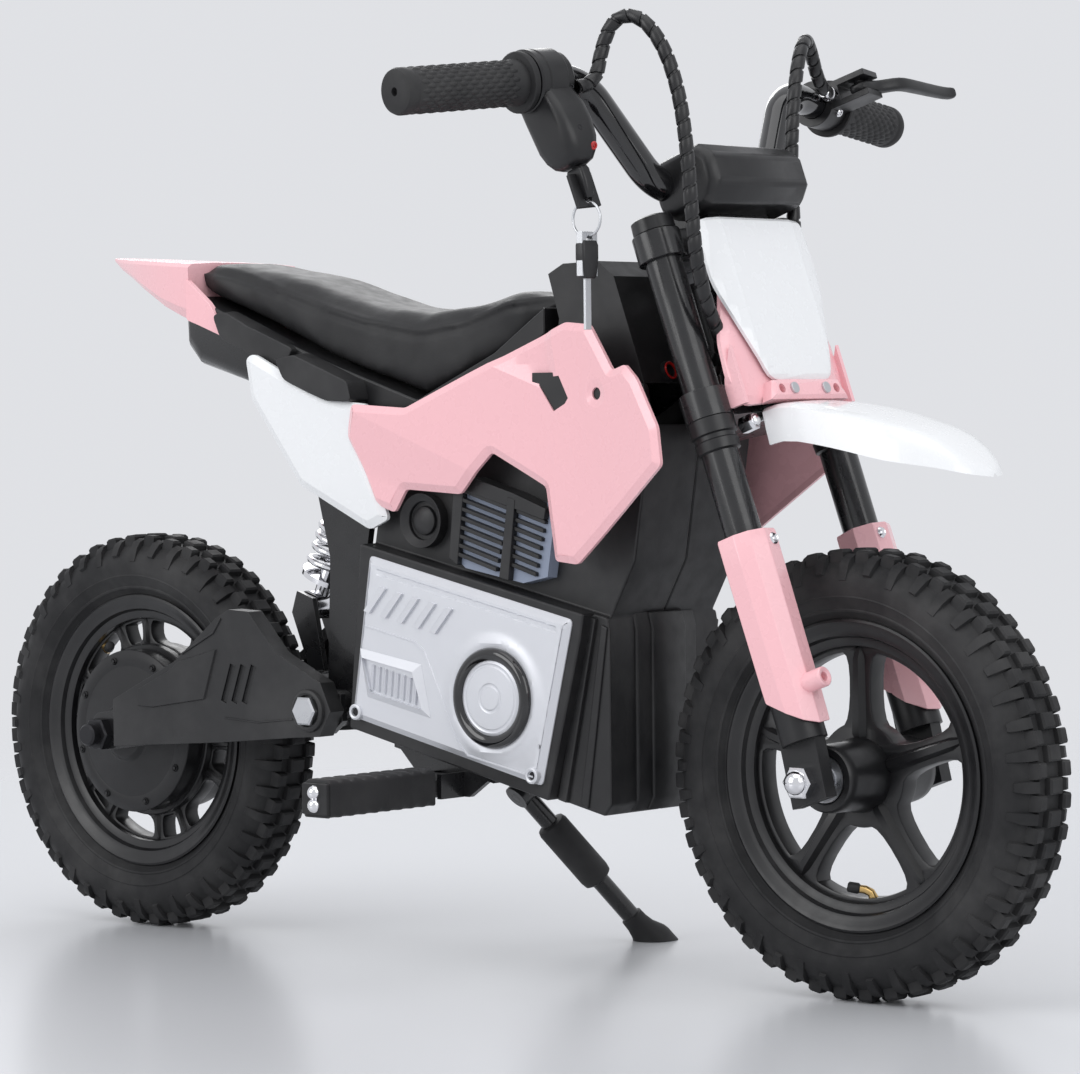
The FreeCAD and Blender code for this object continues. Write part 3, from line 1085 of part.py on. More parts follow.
yoke_front = S.yoke_offset + S.yoke_clamp
mask_tab = block((yoke_front - S.cut_over, -S.yoke_tab_half, S.mask_low),
                 (S.mask_rear_x - yoke_front + S.cut_over, S.yoke_tab_half * 2, S.yoke_thick - S.cut_over))
lower_bridge, lower_bores = yoke(S.lower_yoke_low, mask_tab)
node(steer(cut(lower_bridge, *lower_bores)), "bottom_yoke")
top_yoke_high = S.top_yoke_low + S.yoke_thick
clamp_block = block((S.clamp_rear_x, -S.clamp_half, top_yoke_high - S.cut_over),
                    (S.clamp_front_x - S.clamp_rear_x, S.clamp_half * 2,
                     S.clamp_top - top_yoke_high + S.cut_over))
top_bridge, top_bores = yoke(S.top_yoke_low, clamp_block)
bar_hole = across(S.bar_radius + S.run_clear, S.clamp_half + S.cut_over, S.bar_x, S.bar_z)
node(steer(cut(top_bridge, bar_hole, *top_bores)), "top_yoke")
stem = fuse(stem_rod(S.stem_radius, S.lower_yoke_low, top_yoke_high + S.stem_nut_thick),
            stem_rod(S.stem_nut_radius, top_yoke_high, top_yoke_high + S.stem_nut_thick))
node(steer(stem), "steering_stem")


def head_bearing(low):
    """Ring between the stem and the head tube's end."""
    return cut(stem_rod(S.head_bearing_radius, low, low + S.head_bearing_height),
               stem_rod(stem_bore, low - S.cut_over, low + S.head_bearing_height + S.cut_over))


node(steer(group(head_bearing(S.head_low - S.head_bearing_height), head_bearing(S.head_high))),
     "headset_bearings")

dropout_outline = [(STEER_ARM - S.dropout_radius, -S.dropout_radius),
                   (STEER_ARM + S.dropout_radius, -S.dropout_radius),
                   (S.yoke_offset + S.dropout_radius, S.dropout_top),
                   (S.yoke_offset - S.dropout_radius, S.dropout_top)]
slider = cut(fuse(leg_rod(S.slider_radius, S.slider_low, S.slider_top),
                  padded("XZ", dropout_outline, -dropout_outer, -dropout_inner)),
             leg_rod(leg_bore, S.slider_floor, S.slider_top + S.cut_over),
             across(S.front_axle_radius + S.run_clear, S.front_axle_half, STEER_ARM, dim(0)))
node(steer(pair(slider)), "fork_sliders")
guard_inner = S.slider_radius + S.guard_clear
guard_outer = guard_inner + S.guard_wall
guard_tube = cut(leg_rod(guard_outer, S.dropout_top + S.guard_clear, S.guard_top),
                 leg_rod(guard_inner, S.guard_low, S.slider_top + S.guard_clear),
                 leg_rod(leg_bore + S.guard_clear, S.guard_low, S.guard_top + S.cut_over),
                 block((S.yoke_offset - guard_outer * 2, -(S.leg_spread + guard_outer),
                        S.guard_low - S.cut_over),
                       (guard_outer * 2, guard_outer * 2,
                        S.guard_top - S.guard_band - S.guard_low + S.cut_over)))
guard_boss = cut(cylinder(S.guard_boss_radius, guard_outer + S.guard_wall, "X",
                          (S.yoke_offset, -S.leg_spread, S.guard_boss_rise)),
                 leg_rod(guard_inner, S.guard_low, S.guard_top))
node(steer(pair(fuse(guard_tube, guard_boss))), "fork_guards")

# Handlebar and everything clamped to it
RISE_HALF = S.bar_end_half - S.bar_grip_run
bar_half = [(S.bar_x, S.bar_flat_half, S.bar_z), (S.bar_rise_x, RISE_HALF, S.bar_rise_z),
            (S.bar_end_x, S.bar_end_half, S.bar_end_z)]
bar_points = [number((x, -y, z)) for x, y, z in reversed(bar_half)] + [number(spot) for spot in bar_half]
bar_wire, bar_radii = bent_wire(bar_points, S.bar_bend.value)
bar_tube = tube_on(bar_wire, S.bar_radius.value).cut(tube_on(bar_wire, (S.bar_radius - S.bar_wall).value))
node(steer(solid(bar_tube)), "handlebar")
PAD_SHARES = [(0.20, 0.00), (0.80, 0.00), (1.00, 0.28), (1.00, 0.72), (0.80, 1.00), (0.20, 1.00),
              (0.00, 0.72),
              (0.00, 0.28)]
pad_frame = (S.pad_rear_x, S.pad_low, S.pad_length, S.pad_height)
pad_room = block((S.clamp_rear_x - S.pad_length, -(S.clamp_half + S.pad_clear), S.pad_low - S.cut_over),
                 (S.clamp_front_x - S.clamp_rear_x + S.pad_length + S.pad_clear,
                  (S.clamp_half + S.pad_clear) * 2,
                  S.clamp_top - S.pad_low + S.cut_over + S.pad_clear))
bar_pad = cut(padded("XZ", shares_at(*pad_frame, PAD_SHARES), -S.pad_half, S.pad_half), pad_room,
              solid(tube_on(bar_wire, (S.bar_radius + S.pad_clear).value)))
node(steer(bar_pad), "bar_pad")


class BarEnd:
    """Frame of one straight bar end: out along the grip, ahead and up."""

    def __init__(self, side):
        self.rise = number((S.bar_rise_x, RISE_HALF * side, S.bar_rise_z))
        self.tip = number((S.bar_end_x, S.bar_end_half * side, S.bar_end_z))
        self.out = (self.tip - self.rise).normalize()
        self.ahead = (V(1, 0, 0) - self.out * self.out.x).normalize()
        self.up = self.ahead.cross(self.out) * side

    def spot(self, inward, ahead=0.0, up=0.0):
        """Point a distance inward from the bar's tip."""
        return self.tip - self.out * inward + self.ahead * ahead + self.up * up

    def rod(self, radius, inward, length):
        """Cylinder on the bar, reaching outwards from a distance inward of the tip."""
        return Part.makeCylinder(radius, length, self.spot(inward), self.out)

    def prism(self, corners, low, high):
        """Outline of (inward, ahead) corners, raised between two heights."""
        spots = [self.spot(inward, ahead, low) for inward, ahead in corners]
        face = Part.Face(Part.makePolygon(spots + spots[:1]))
        return face.extrude(self.up * (high - low))

    def slab(self, corners, inner, outer):
        """Outline of (ahead, up) corners between two distances inward of the tip."""
        spots = [self.spot(inner, ahead, up) for ahead, up in corners]
        face = Part.Face(Part.makePolygon(spots + spots[:1]))
        return face.extrude(self.out * (inner - outer))


right_end = BarEnd(-1)
left_end = BarEnd(1)


def make_grip(end, length):
    """Closed rubber grip with a flange at its inner end."""
    cap = S.grip_cap.value
    inner = length.value - cap
    flange = S.grip_flange_thick.value
    sleeve = end.rod(S.grip_radius.value, inner, length.value)
    collar = end.rod(S.grip_flange_radius.value, inner, flange)
    bore = end.rod((S.bar_radius + S.run_clear).value, inner + cap, inner + cap + S.run_clear.value)
    return sleeve.fuse(collar).cut(bore)


node(steer(solid(make_grip(right_end, S.throttle_length))), "throttle_grip")
node(steer(solid(make_grip(left_end, S.grip_length))), "left_grip")


def make_housing():
    """Throttle clamp with the key box hanging under it."""
    outer = (S.throttle_length - S.grip_cap + S.grip_gap).value
    inner = outer + S.housing_length.value
    band = right_end.rod(S.housing_radius.value, inner, S.housing_length.value)
    front = S.keybox_front.value
    rear = front - S.keybox_depth.value
    corners = [(rear, 0), (front, 0), (front, -(S.keybox_drop.value)), (rear, -(S.keybox_drop.value))]
    box = right_end.slab(corners, inner, inner - S.keybox_length.value)
    bore = right_end.rod((S.bar_radius + S.seat_clear).value, inner + S.cut_over.value,
                         S.housing_length.value * 2)
    lock = Part.makeCylinder((S.key_radius + S.run_clear).value, (S.key_insert + S.cut_over).value,
                             key_spot(S.keybox_drop + S.cut_over), right_end.up)
    return band.fuse(box).cut(bore).cut(lock)


def key_spot(drop):
    """Point on the lock's axis, a distance below the bar."""
    inward = (S.throttle_length - S.grip_cap + S.grip_gap + S.housing_length - S.keybox_length * HALF).value
    ahead = (S.keybox_front - S.keybox_depth * HALF).value
    return right_end.spot(inward, ahead, -dim(drop).value)


node(steer(solid(make_housing())), "throttle_housing")


def key_plate(top, down, side, width, height, thick):
    """Flat plate hanging from a point, its faces square to down and side."""
    half_width = side * (dim(width).value * HALF)
    half_thick = down.cross(side).normalize() * (dim(thick).value * HALF)
    low = top + down * dim(height).value
    spots = [corner - half_thick for corner in (top - half_width, top + half_width, low + half_width,
                                                low - half_width)]
    face = Part.Face(Part.makePolygon(spots + spots[:1]))
    return face.extrude(half_thick * 2)


def key_eye(spot, facing, thick):
    """Hole for the key ring."""
    depth = dim(thick).value * 2
    return Part.makeCylinder(S.key_hole_radius.value, depth, spot - facing * (depth * HALF), facing)


key_top = key_spot(S.keybox_drop + S.key_neck)
key_eye_spot = key_spot(S.keybox_drop + S.key_neck + S.key_head_height - S.key_hole_drop)
key_shaft = Part.makeCylinder(S.key_radius.value, (S.key_insert + S.key_neck * 2).value,
                              key_spot(S.keybox_drop + S.key_neck * 2), right_end.up)
key_head = key_plate(key_top, -right_end.up, right_end.out, S.key_head_width, S.key_head_height,
                     S.key_head_thick)
key_solid = key_head.fuse(key_shaft).cut(key_eye(key_eye_spot, right_end.ahead, S.key_head_thick))
node(steer(solid(key_solid)), "ignition_key")
plumb = -number((sine(S.rake_angle), 0, cosine(S.rake_angle)))
eye_play = S.key_hole_radius - S.ring_wire
ring_heart = key_eye_spot + plumb * (S.ring_radius + eye_play - S.ring_play).value
ring = Part.makeTorus(S.ring_radius.value, S.ring_wire.value, ring_heart, V(0, 1, 0))
spare_eye_spot = ring_heart + plumb * (S.ring_radius + eye_play - S.run_clear).value
spare_top = spare_eye_spot - plumb * S.key_hole_drop.value
spare_head = key_plate(spare_top, plumb, V(0, 1, 0), S.spare_head_width, S.spare_head_height,
                       S.spare_head_thick)
spare_blade = key_plate(spare_top + plumb * (S.spare_head_height - S.cut_over).value, plumb, V(0, 1, 0),
                        S.spare_blade_width, S.spare_blade_length + S.cut_over, S.spare_blade_thick)
spare_facing = plumb.cross(V(0, 1, 0)).normalize()
spare_solid = spare_head.fuse(spare_blade).cut(key_eye(spare_eye_spot, spare_facing, S.spare_head_thick))
node(steer(solid(Part.makeCompound([ring, spare_solid]))), "spare_key")


def perch_inward(share):
    """Distance inward from the left tip, as a share of the perch's length."""
    return (S.grip_length - S.grip_cap + S.grip_gap + S.perch_length * share).value


def make_perch():
    """Brake lever perch: clamp ring, two ears and the lever pin."""
    inner = perch_inward(1)
    length = S.perch_length.value
    ring_solid = left_end.rod(S.perch_radius.value, inner, length)
    reach = S.perch_reach.value
    arm = left_end.prism([(inner, 0), (inner, reach), (perch_inward(0), reach), (perch_inward(0), 0)],
                         -S.perch_half.value, S.perch_half.value)
    slot_half = (S.lever_half + S.lever_slot_clear).value
    floor = S.lever_slot_floor.value
    over = S.cut_over.value
    slot = left_end.prism([(inner + over, floor), (inner + over, reach + over),
                           (perch_inward(0) - over, reach + over),
                           (perch_inward(0) - over, floor)], -slot_half, slot_half)
    bore = left_end.rod((S.bar_radius + S.run_clear).value, inner + over, length + over * 2)
    pin = Part.makeCylinder(S.lever_pin_radius.value, S.perch_half.value * 2,
                            left_end.spot(perch_inward(HALF), S.lever_reach.value, -S.perch_half.value),
                            left_end.up)
    return ring_solid.fuse(arm).cut(bore).cut(slot).fuse(pin)


LEVER_SHARES = [(-0.075, -0.26), (-0.075, 0.24), (0.10, 0.30), (0.25, 0.72), (0.92, 0.86), (0.98, 1.00),
                (1.02, 0.90),
                (0.97, 0.66), (0.27, 0.44), (0.14, 0.00), (0.07, -0.26)]


def make_lever():
    """Dog-leg brake lever on its pin."""
    corners = []
    for along, ahead in LEVER_SHARES:
        corners.append((perch_inward(HALF) - S.lever_length.value * along,
                        S.lever_reach.value + S.lever_width.value * ahead))
    blade = left_end.prism(corners, -S.lever_half.value, S.lever_half.value)
    hole = Part.makeCylinder((S.lever_pin_radius + S.run_clear).value, S.perch_half.value * 2,
                             left_end.spot(perch_inward(HALF), S.lever_reach.value, -S.perch_half.value),
                             left_end.up)
    return blade.cut(hole)


node(steer(solid(make_perch())), "brake_perch")
node(steer(solid(make_lever())), "brake_lever")

# Front mask, number plate and fender, all on the bottom yoke
MASK_SHARES = [(0.88, 0.00), (1.00, 0.22), (0.97, 0.51), (0.72, 1.00)]
PLATE_SHARES = [(0.56, 0.00), (1.00, 0.61), (0.98, 1.00)]
mask_front = S.mask_rear_x + S.mask_thick


def front_outline(half, low, height, half_shares):
    """Symmetric outline seen from the front."""
    return [(half * u, low + height * v) for u, v in both_sides(half_shares)]


mask_panel = padded("YZ", front_outline(S.mask_half, S.mask_low, S.mask_height, MASK_SHARES), S.mask_rear_x,
                    mask_front)
base_bar = block((mask_front - S.cut_over, -S.base_bar_half, S.mask_low),
                 (S.base_bar_thick + S.cut_over, S.base_bar_half * 2, S.base_bar_height))
WING_SPREAD_SHARE = 0.97
wing_outer = S.mask_half * WING_SPREAD_SHARE
wing_low = S.mask_low + S.base_bar_height
wing = block((S.wing_rear_x, -wing_outer, wing_low),
             (S.mask_rear_x - S.wing_rear_x + S.cut_over, S.wing_thick, S.wing_height * HALF))
node(steer(fuse(mask_panel, base_bar, wing, mirrored(wing))), "front_mask")
node(steer(padded("YZ", front_outline(S.plate_half, S.plate_low, S.plate_height, PLATE_SHARES), mask_front,
                  mask_front + S.plate_thick)), "number_plate")
mask_screw = cylinder(S.mask_screw_radius, S.mask_screw_thick, "X",
                      (mask_front + S.base_bar_thick, -S.mask_screw_half,
                       S.mask_low + S.base_bar_height * HALF))
node(steer(pair(mask_screw)), "mask_screws")
FENDER_LINE_SHARES = [(0.00, 0.00), (0.20, 0.00), (0.43, 0.17), (0.66, 0.41), (0.88, 0.69), (1.00, 1.00)]
FENDER_SKIRT_SHARES = (1.0, 1.0, 1.0, 0.9, 0.7, 0.5)
FENDER_PLAN_SHARES = [(0.00, 1.00), (0.62, 1.00), (0.88, 0.66), (1.00, 0.30)]


def fender_outline(drop, skirt):
    """Side outline of the fender: its top line and the skirt below it."""
    top = [(S.fender_rear_x + S.fender_length * u, S.lower_yoke_low - S.fender_drop * v - drop)
           for u, v in FENDER_LINE_SHARES]
    low = [(x, z - skirt * share) for (x, z), share in zip(top, FENDER_SKIRT_SHARES)]
    return top + low[::-1]


def fender_plan(inset):
    """Plan outline of the fender, tapering to its tip."""
    right = [(S.fender_rear_x + S.fender_length * u, -(S.fender_half * v - inset)) for u,
             v in FENDER_PLAN_SHARES]
    return right + [(x, -y) for x, y in reversed(right)]


plan_low = S.lower_yoke_low - S.fender_drop - S.fender_skirt * 2
fender_outer = common(padded("XZ", fender_outline(dim(0), S.fender_skirt), -S.fender_half, S.fender_half),
                      padded("XY", fender_plan(dim(0)), plan_low, S.lower_yoke_low + S.cut_over))
fender_hollow = common(padded("XZ", fender_outline(S.fender_wall, S.fender_skirt * 2), -S.fender_half,
                              S.fender_half),
                       padded("XY", fender_plan(S.fender_wall), plan_low, S.lower_yoke_low + S.cut_over))
node(steer(cut(fender_outer, fender_hollow)), "front_fender")

# Cables from the controls down to the bottom yoke: route points in the steering frame, in route steps
THROTTLE_ROUTE = [(6.2, -11.0, 51.4), (7.7, -10.6, 53.2), (9.6, -10.2, 52.6), (10.5, -9.8, 50.0),
                  (10.4, -9.5, 46.6), (9.5, -9.2, 43.0), (8.2, -8.8, 39.4), (7.0, -8.4, 36.0),
                  (6.0, -7.4, 33.2), (5.2, -6.0, 31.8), (4.4, -4.7, 30.4)]
BRAKE_ROUTE = [(7.8, 11.2, 52.8), (8.8, 9.0, 52.2), (8.7, 7.5, 50.2), (8.0, 6.6, 47.4),
               (6.6, 6.3, 43.6), (5.3, 6.2, 39.2), (5.0, 5.0, 34.0)]
yoke_top = S.lower_yoke_low + S.yoke_thick


def cable_end(side):
    """Last two points of a cable, straight down onto the bottom yoke."""
    return [number((S.cable_foot_x, S.cable_foot_half * side, yoke_top + S.cable_foot_rise)),
            number((S.cable_foot_x, S.cable_foot_half * side, yoke_top))]


def placed_route(spots):
    """Route points in millimetres; those above the bar pad move out with the bar's risers."""
    step = S.route_step.value
    fixed = S.route_fixed_height.value
    shift = (RISE_HALF - S.route_rise_half).value
    placed = []
    for x, y, z in spots:
        loose = (z * step - fixed) / (S.route_free_height.value - fixed)
        spread = shift * min(max(loose, 0), 1)
        placed.append(V(x * step, y * step + math.copysign(spread, y * shift), z * step))
    return placed


def make_cable(name, route):
    """Round cable along straight runs and tangent arcs."""
    wire, radii = bent_wire(route)
    tube = tube_on(wire, S.cable_radius.value)
    section = math.pi * S.cable_radius.value ** 2 * wire.Length
    print("%s: length %.0f mm, radii %s, volume share %.3f"
          % (name, wire.Length, " ".join("%.0f" % radius for radius in radii), tube.Volume / section))
    return tube


housing_inner = (S.throttle_length - S.grip_cap + S.grip_gap + S.housing_length).value
throttle_lead = [right_end.spot(housing_inner + lead, S.cable_start_ahead.value, -S.cable_start_drop.value)
                 for lead in (0, S.cable_lead.value)]
throttle_route = throttle_lead + placed_route(THROTTLE_ROUTE) + cable_end(-1)
node(steer(solid(make_cable("throttle cable", throttle_route))), "throttle_cable")
brake_lead = [left_end.spot(perch_inward(1) + lead, S.perch_radius.value) for lead in (0, S.cable_lead.value)]
brake_route = brake_lead + placed_route(BRAKE_ROUTE) + cable_end(1)
node(steer(solid(make_cable("brake cable", brake_route))), "brake_cable")

# Foot pegs, their bracket under the casing, and the side stand's ears
bracket_front_x = S.bracket_rear_x + S.bracket_length
saddle = padded("XZ",
                [(S.bracket_rear_x, box_bottom(S.bracket_rear_x)),
                 (bracket_front_x, box_bottom(bracket_front_x)),
                       (bracket_front_x, box_bottom(bracket_front_x) - S.bracket_thick),
                       (S.bracket_rear_x, box_bottom(S.bracket_rear_x) - S.bracket_thick)],
                -S.bracket_half, S.bracket_half)
cheek_low = S.peg_pivot_z - S.peg_eye_radius
cheek_plate = padded("XZ",
                     [(S.bracket_rear_x, box_bottom(S.bracket_rear_x)),
                      (bracket_front_x, box_bottom(bracket_front_x)),
                            (S.peg_x + S.peg_eye_half * 2, cheek_low),
                            (S.peg_x - S.peg_eye_half * 2, cheek_low)],
                     -S.bracket_half, -(S.bracket_half - S.bracket_thick))
ear_solids = []
for side in (-1, 1):
    ear_low = S.peg_x + (S.peg_eye_half + S.peg_ear_clear) * side
    ear_start = ear_low if side > 0 else ear_low - S.peg_ear_thick
    ear_solids.append(block((ear_start, -(S.peg_pivot_half + S.peg_eye_radius), cheek_low),
                            (S.peg_ear_thick,
                             S.peg_pivot_half + S.peg_eye_radius - S.bracket_half + S.bracket_thick,
                             S.peg_eye_radius * 2)))
peg_pin = cylinder(S.peg_pin_radius, (S.peg_eye_half + S.peg_ear_clear + S.peg_ear_thick) * 2, "X",
                   (S.peg_x - S.peg_eye_half - S.peg_ear_clear - S.peg_ear_thick, -S.peg_pivot_half,
                    S.peg_pivot_z))
peg_holder = fuse(cheek_plate, *ear_solids, peg_pin)


def stand_frame():
    """Unit directions of the side stand: along the leg, and its hinge axis."""
    along = number((S.stand_foot_x - S.stand_x, S.stand_foot_y - S.stand_y, -S.stand_z)).normalize()
    outward_share = 0.25
    folded = V(-1, outward_share, 0).normalize()
    return along, along.cross(folded).normalize()


stand_pivot = number((S.stand_x, S.stand_y, S.stand_z))
stand_along, stand_axis = stand_frame()
print("stand hinge axis %.4f %.4f %.4f" % tuple(stand_axis))


def stand_rod(radius, start, end):
    """Cylinder along the stand between two distances from its pivot."""
    return Part.makeCylinder(radius, end - start, stand_pivot + stand_along * start, stand_along)


def stand_disc(radius, low, high):
    """Cylinder on the stand's hinge axis."""
    return Part.makeCylinder(radius, high - low, stand_pivot + stand_axis * low, stand_axis)


def make_stand_ear():
    """Ear, pin and web that hold the stand under the saddle."""
    near = (S.stand_eye_half + S.peg_ear_clear).value
    far = near + S.stand_ear_thick.value
    ear = stand_disc(S.stand_eye_radius.value, near, far)
    pin = stand_disc(S.stand_pin_radius.value, -S.stand_eye_half.value, far)
    top = number((S.stand_x, S.bracket_half - S.bracket_thick,
                  box_bottom(S.stand_x) - S.bracket_thick * HALF))
    heart = stand_pivot + stand_axis * ((near + far) * HALF)
    run = top - heart
    web_rod = Part.makeCylinder(S.stand_ear_thick.value * HALF, run.Length, heart, run)
    return ear.fuse([pin, web_rod])


stand_ear = solid(make_stand_ear())
node(fuse(saddle, peg_holder, mirrored(peg_holder), stand_ear), "footpeg_bracket")


def make_stand():
    """Stand leg with its eye, sleeve and foot cut flat on the ground."""
    length = (number((S.stand_foot_x, S.stand_foot_y, 0)) - stand_pivot).Length
    eye = stand_disc(S.stand_eye_radius.value, -S.stand_eye_half.value, S.stand_eye_half.value)
    leg = stand_rod(S.stand_radius.value, 0, length)
    sleeve_shares = (0.22, 0.58)
    sleeve = stand_rod(S.stand_sleeve_radius.value, *[length * share for share in sleeve_shares])
    foot = Part.makeCone(S.stand_radius.value, S.stand_foot_radius.value, S.stand_foot_height.value,
                         stand_pivot + stand_along * (length - S.stand_foot_height.value), stand_along)
    whole = eye.fuse([leg, sleeve, foot])
    hole = stand_disc((S.stand_pin_radius + S.run_clear).value, -S.stand_eye_half.value * 2,
                      S.stand_eye_half.value * 2)
    reach = S.stand_foot_radius.value * 4
    ground = Part.makeBox(reach, reach, reach,
                          number((S.stand_foot_x, S.stand_foot_y, 0)) - V(reach, reach, reach * 2) * HALF)
    return whole.cut([hole, ground])


node(solid(make_stand()), "kickstand")


def make_peg():
    """Folding peg on the right: eye, neck and ribbed block with two end screws."""
    eye = cylinder(S.peg_eye_radius, S.peg_eye_half * 2, "X",
                   (S.peg_x - S.peg_eye_half, -S.peg_pivot_half, S.peg_pivot_z))
    neck = block((S.peg_x - S.peg_eye_half, -S.peg_block_start - S.cut_over,
                  S.peg_pivot_z - S.peg_eye_radius * HALF),
                 (S.peg_eye_half * 2, S.peg_block_start - S.peg_pivot_half + S.cut_over, S.peg_eye_radius))
    body = block((S.peg_x - S.peg_block_half, -S.peg_end_half, S.peg_pivot_z - S.peg_block_height * HALF),
                 (S.peg_block_half * 2, S.peg_end_half - S.peg_block_start, S.peg_block_height))
    pitch = (S.peg_end_half - S.peg_block_start) / S.peg_rib_count
    slots = [cylinder(S.peg_pin_radius + S.run_clear, S.peg_eye_half * 4, "X",
                      (S.peg_x - S.peg_eye_half * 2, -S.peg_pivot_half, S.peg_pivot_z))]
    for rib in range(int(S.peg_rib_count.value)):
        slot_y = -(S.peg_block_start + pitch * (rib + HALF) + S.peg_rib_width * HALF)
        slots.append(block((S.peg_x - S.peg_block_half * 2, slot_y,
                            S.peg_pivot_z + S.peg_block_height * HALF - S.peg_rib_depth),
                           (S.peg_block_half * 4, S.peg_rib_width, S.peg_rib_depth * 2)))
    return cut(fuse(eye, neck, body), *slots)


footpeg = make_peg()
node(footpeg, "footpeg_right")
node(mirrored(footpeg), "footpeg_left")


# Check every object, then write one file for each sub-part
doc.recompute()
faults = [thing.Label for thing in doc.Objects if "Invalid" in thing.State or "Error" in thing.State]
for thing in NODES:
    if thing.Shape.isNull() or not thing.Shape.isValid() or not thing.Shape.Solids:
        faults.append(thing.Label)
if faults:
    raise RuntimeError("failed pieces: " + ", ".join(faults))
os.makedirs("parts", exist_ok=True)
for thing in NODES:
    thing.Shape.exportStep("parts/%s.step" % thing.Label)
whole_box = NODES[0].Shape.BoundBox
for thing in NODES[1:]:
    whole_box.add(thing.Shape.BoundBox)
print("%d sub-parts, %.0f x %.0f x %.0f mm" % (len(NODES), whole_box.XLength, whole_box.YLength,
                                               whole_box.ZLength))
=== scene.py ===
# %% [markdown]
# Kids electric motorbike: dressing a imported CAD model.
#
# The CAD model gives every size and every joint.  This lesson adds what a camera sees: rounded edges,
# moulded grain, rubber tread, spiral-wrapped cables, a padded seat and the light of a small photo studio.

# %% Load the frame
import json
import math

import bmesh
import bpy
from mathutils import Matrix, Vector

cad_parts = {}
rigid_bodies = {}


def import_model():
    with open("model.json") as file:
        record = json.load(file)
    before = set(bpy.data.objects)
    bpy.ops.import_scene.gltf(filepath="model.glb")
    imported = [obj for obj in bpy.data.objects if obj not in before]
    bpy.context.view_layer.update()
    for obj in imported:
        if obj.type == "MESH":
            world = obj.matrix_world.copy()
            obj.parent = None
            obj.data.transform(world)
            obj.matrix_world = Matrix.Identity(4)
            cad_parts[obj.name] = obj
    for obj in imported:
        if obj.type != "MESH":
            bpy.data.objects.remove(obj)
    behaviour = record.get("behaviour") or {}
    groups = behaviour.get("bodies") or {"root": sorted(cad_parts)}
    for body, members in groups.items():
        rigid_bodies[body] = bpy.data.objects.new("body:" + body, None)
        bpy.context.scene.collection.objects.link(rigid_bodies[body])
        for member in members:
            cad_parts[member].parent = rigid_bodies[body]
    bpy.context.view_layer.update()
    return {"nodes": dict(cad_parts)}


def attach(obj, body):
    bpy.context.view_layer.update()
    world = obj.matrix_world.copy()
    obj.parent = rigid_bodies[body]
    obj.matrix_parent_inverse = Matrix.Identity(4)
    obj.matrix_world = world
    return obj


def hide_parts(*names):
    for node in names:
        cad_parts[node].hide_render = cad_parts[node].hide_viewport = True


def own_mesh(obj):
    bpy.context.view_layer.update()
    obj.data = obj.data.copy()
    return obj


for start_object in list(bpy.data.objects):
    bpy.data.objects.remove(start_object)
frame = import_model()
nodes = frame["nodes"]
scene = bpy.context.scene
MM = 0.001

# %% [markdown]
# The camera.  A studio photographer stood well back with a long lens, a little above hub height, off the
# bike's right front.  The place and lens were worked out from the wheels and the grips, so both pictures
# frame alike.

# %% Camera
CAMERA_PLACE = Vector((2.0074, -2.2771, 0.4164))
CAMERA_YAW, CAMERA_PITCH, CAMERA_ROLL = (math.radians(angle) for angle in (130.63, -1.976, -0.576))
LENS, SENSOR_WIDTH = 137.2, 36


def in_scene(name, data):
    """New object of some data, linked to the scene."""
    thing = bpy.data.objects.new(name, data)
    scene.collection.objects.link(thing)
    return thing


look = Vector((math.cos(CAMERA_PITCH) * math.cos(CAMERA_YAW), math.cos(CAMERA_PITCH) * math.sin(CAMERA_YAW),
               math.sin(CAMERA_PITCH)))
level_right = look.cross(Vector((0, 0, 1))).normalized()
level_up = level_right.cross(look)
right = level_right * math.cos(CAMERA_ROLL) + level_up * math.sin(CAMERA_ROLL)
up = level_up * math.cos(CAMERA_ROLL) - level_right * math.sin(CAMERA_ROLL)
camera_data = bpy.data.cameras.new("studio_camera")
camera_data.sensor_fit = "HORIZONTAL"
camera_data.sensor_width = SENSOR_WIDTH
camera_data.lens = LENS
camera = in_scene("studio_camera", camera_data)
camera.matrix_world = Matrix((right, up, -look)).transposed().to_4x4()
camera.matrix_world.translation = CAMERA_PLACE
scene.camera = camera
scene.view_settings.view_transform = "Standard"
print("camera", [round(v, 3) for v in CAMERA_PLACE])

# %% [markdown]
# Materials share a few effects.  Moulded plastic has a fine leathery grain, rubber is dusty and dull, and
# every surface varies a little in gloss because hands and cloths touched it.  Each effect is one node group
# with named inputs, placed in a material with its own values.  First come short ways to set up nodes.

# %% Helpers for nodes
def new_group(name, inputs, outputs):
    """Empty shader node group with named sockets."""
    group = bpy.data.node_groups.new(name, "ShaderNodeTree")
    for label, kind, value in inputs:
        socket = group.interface.new_socket(label, in_out="INPUT", socket_type=kind)
        socket.default_value = value
    for label, kind in outputs:
        group.interface.new_socket(label, in_out="OUTPUT", socket_type=kind)
    return group, group.nodes.new("NodeGroupInput"), group.nodes.new("NodeGroupOutput")


def wire(tree, source, target):
    """Join a socket to another one, or set a plain value on it."""
    if isinstance(source, bpy.types.NodeSocket):
        tree.links.new(source, target)
    else:
        target.default_value = source


def noise(tree, vector, scale, detail=2.0, roughness=0.5):
    """Noise texture on a vector."""
    texture = tree.nodes.new("ShaderNodeTexNoise")
    for label, value in (("Vector", vector), ("Scale", scale), ("Detail", detail),
                         ("Roughness", roughness)):
        wire(tree, value, texture.inputs[label])
    return texture.outputs["Fac"]


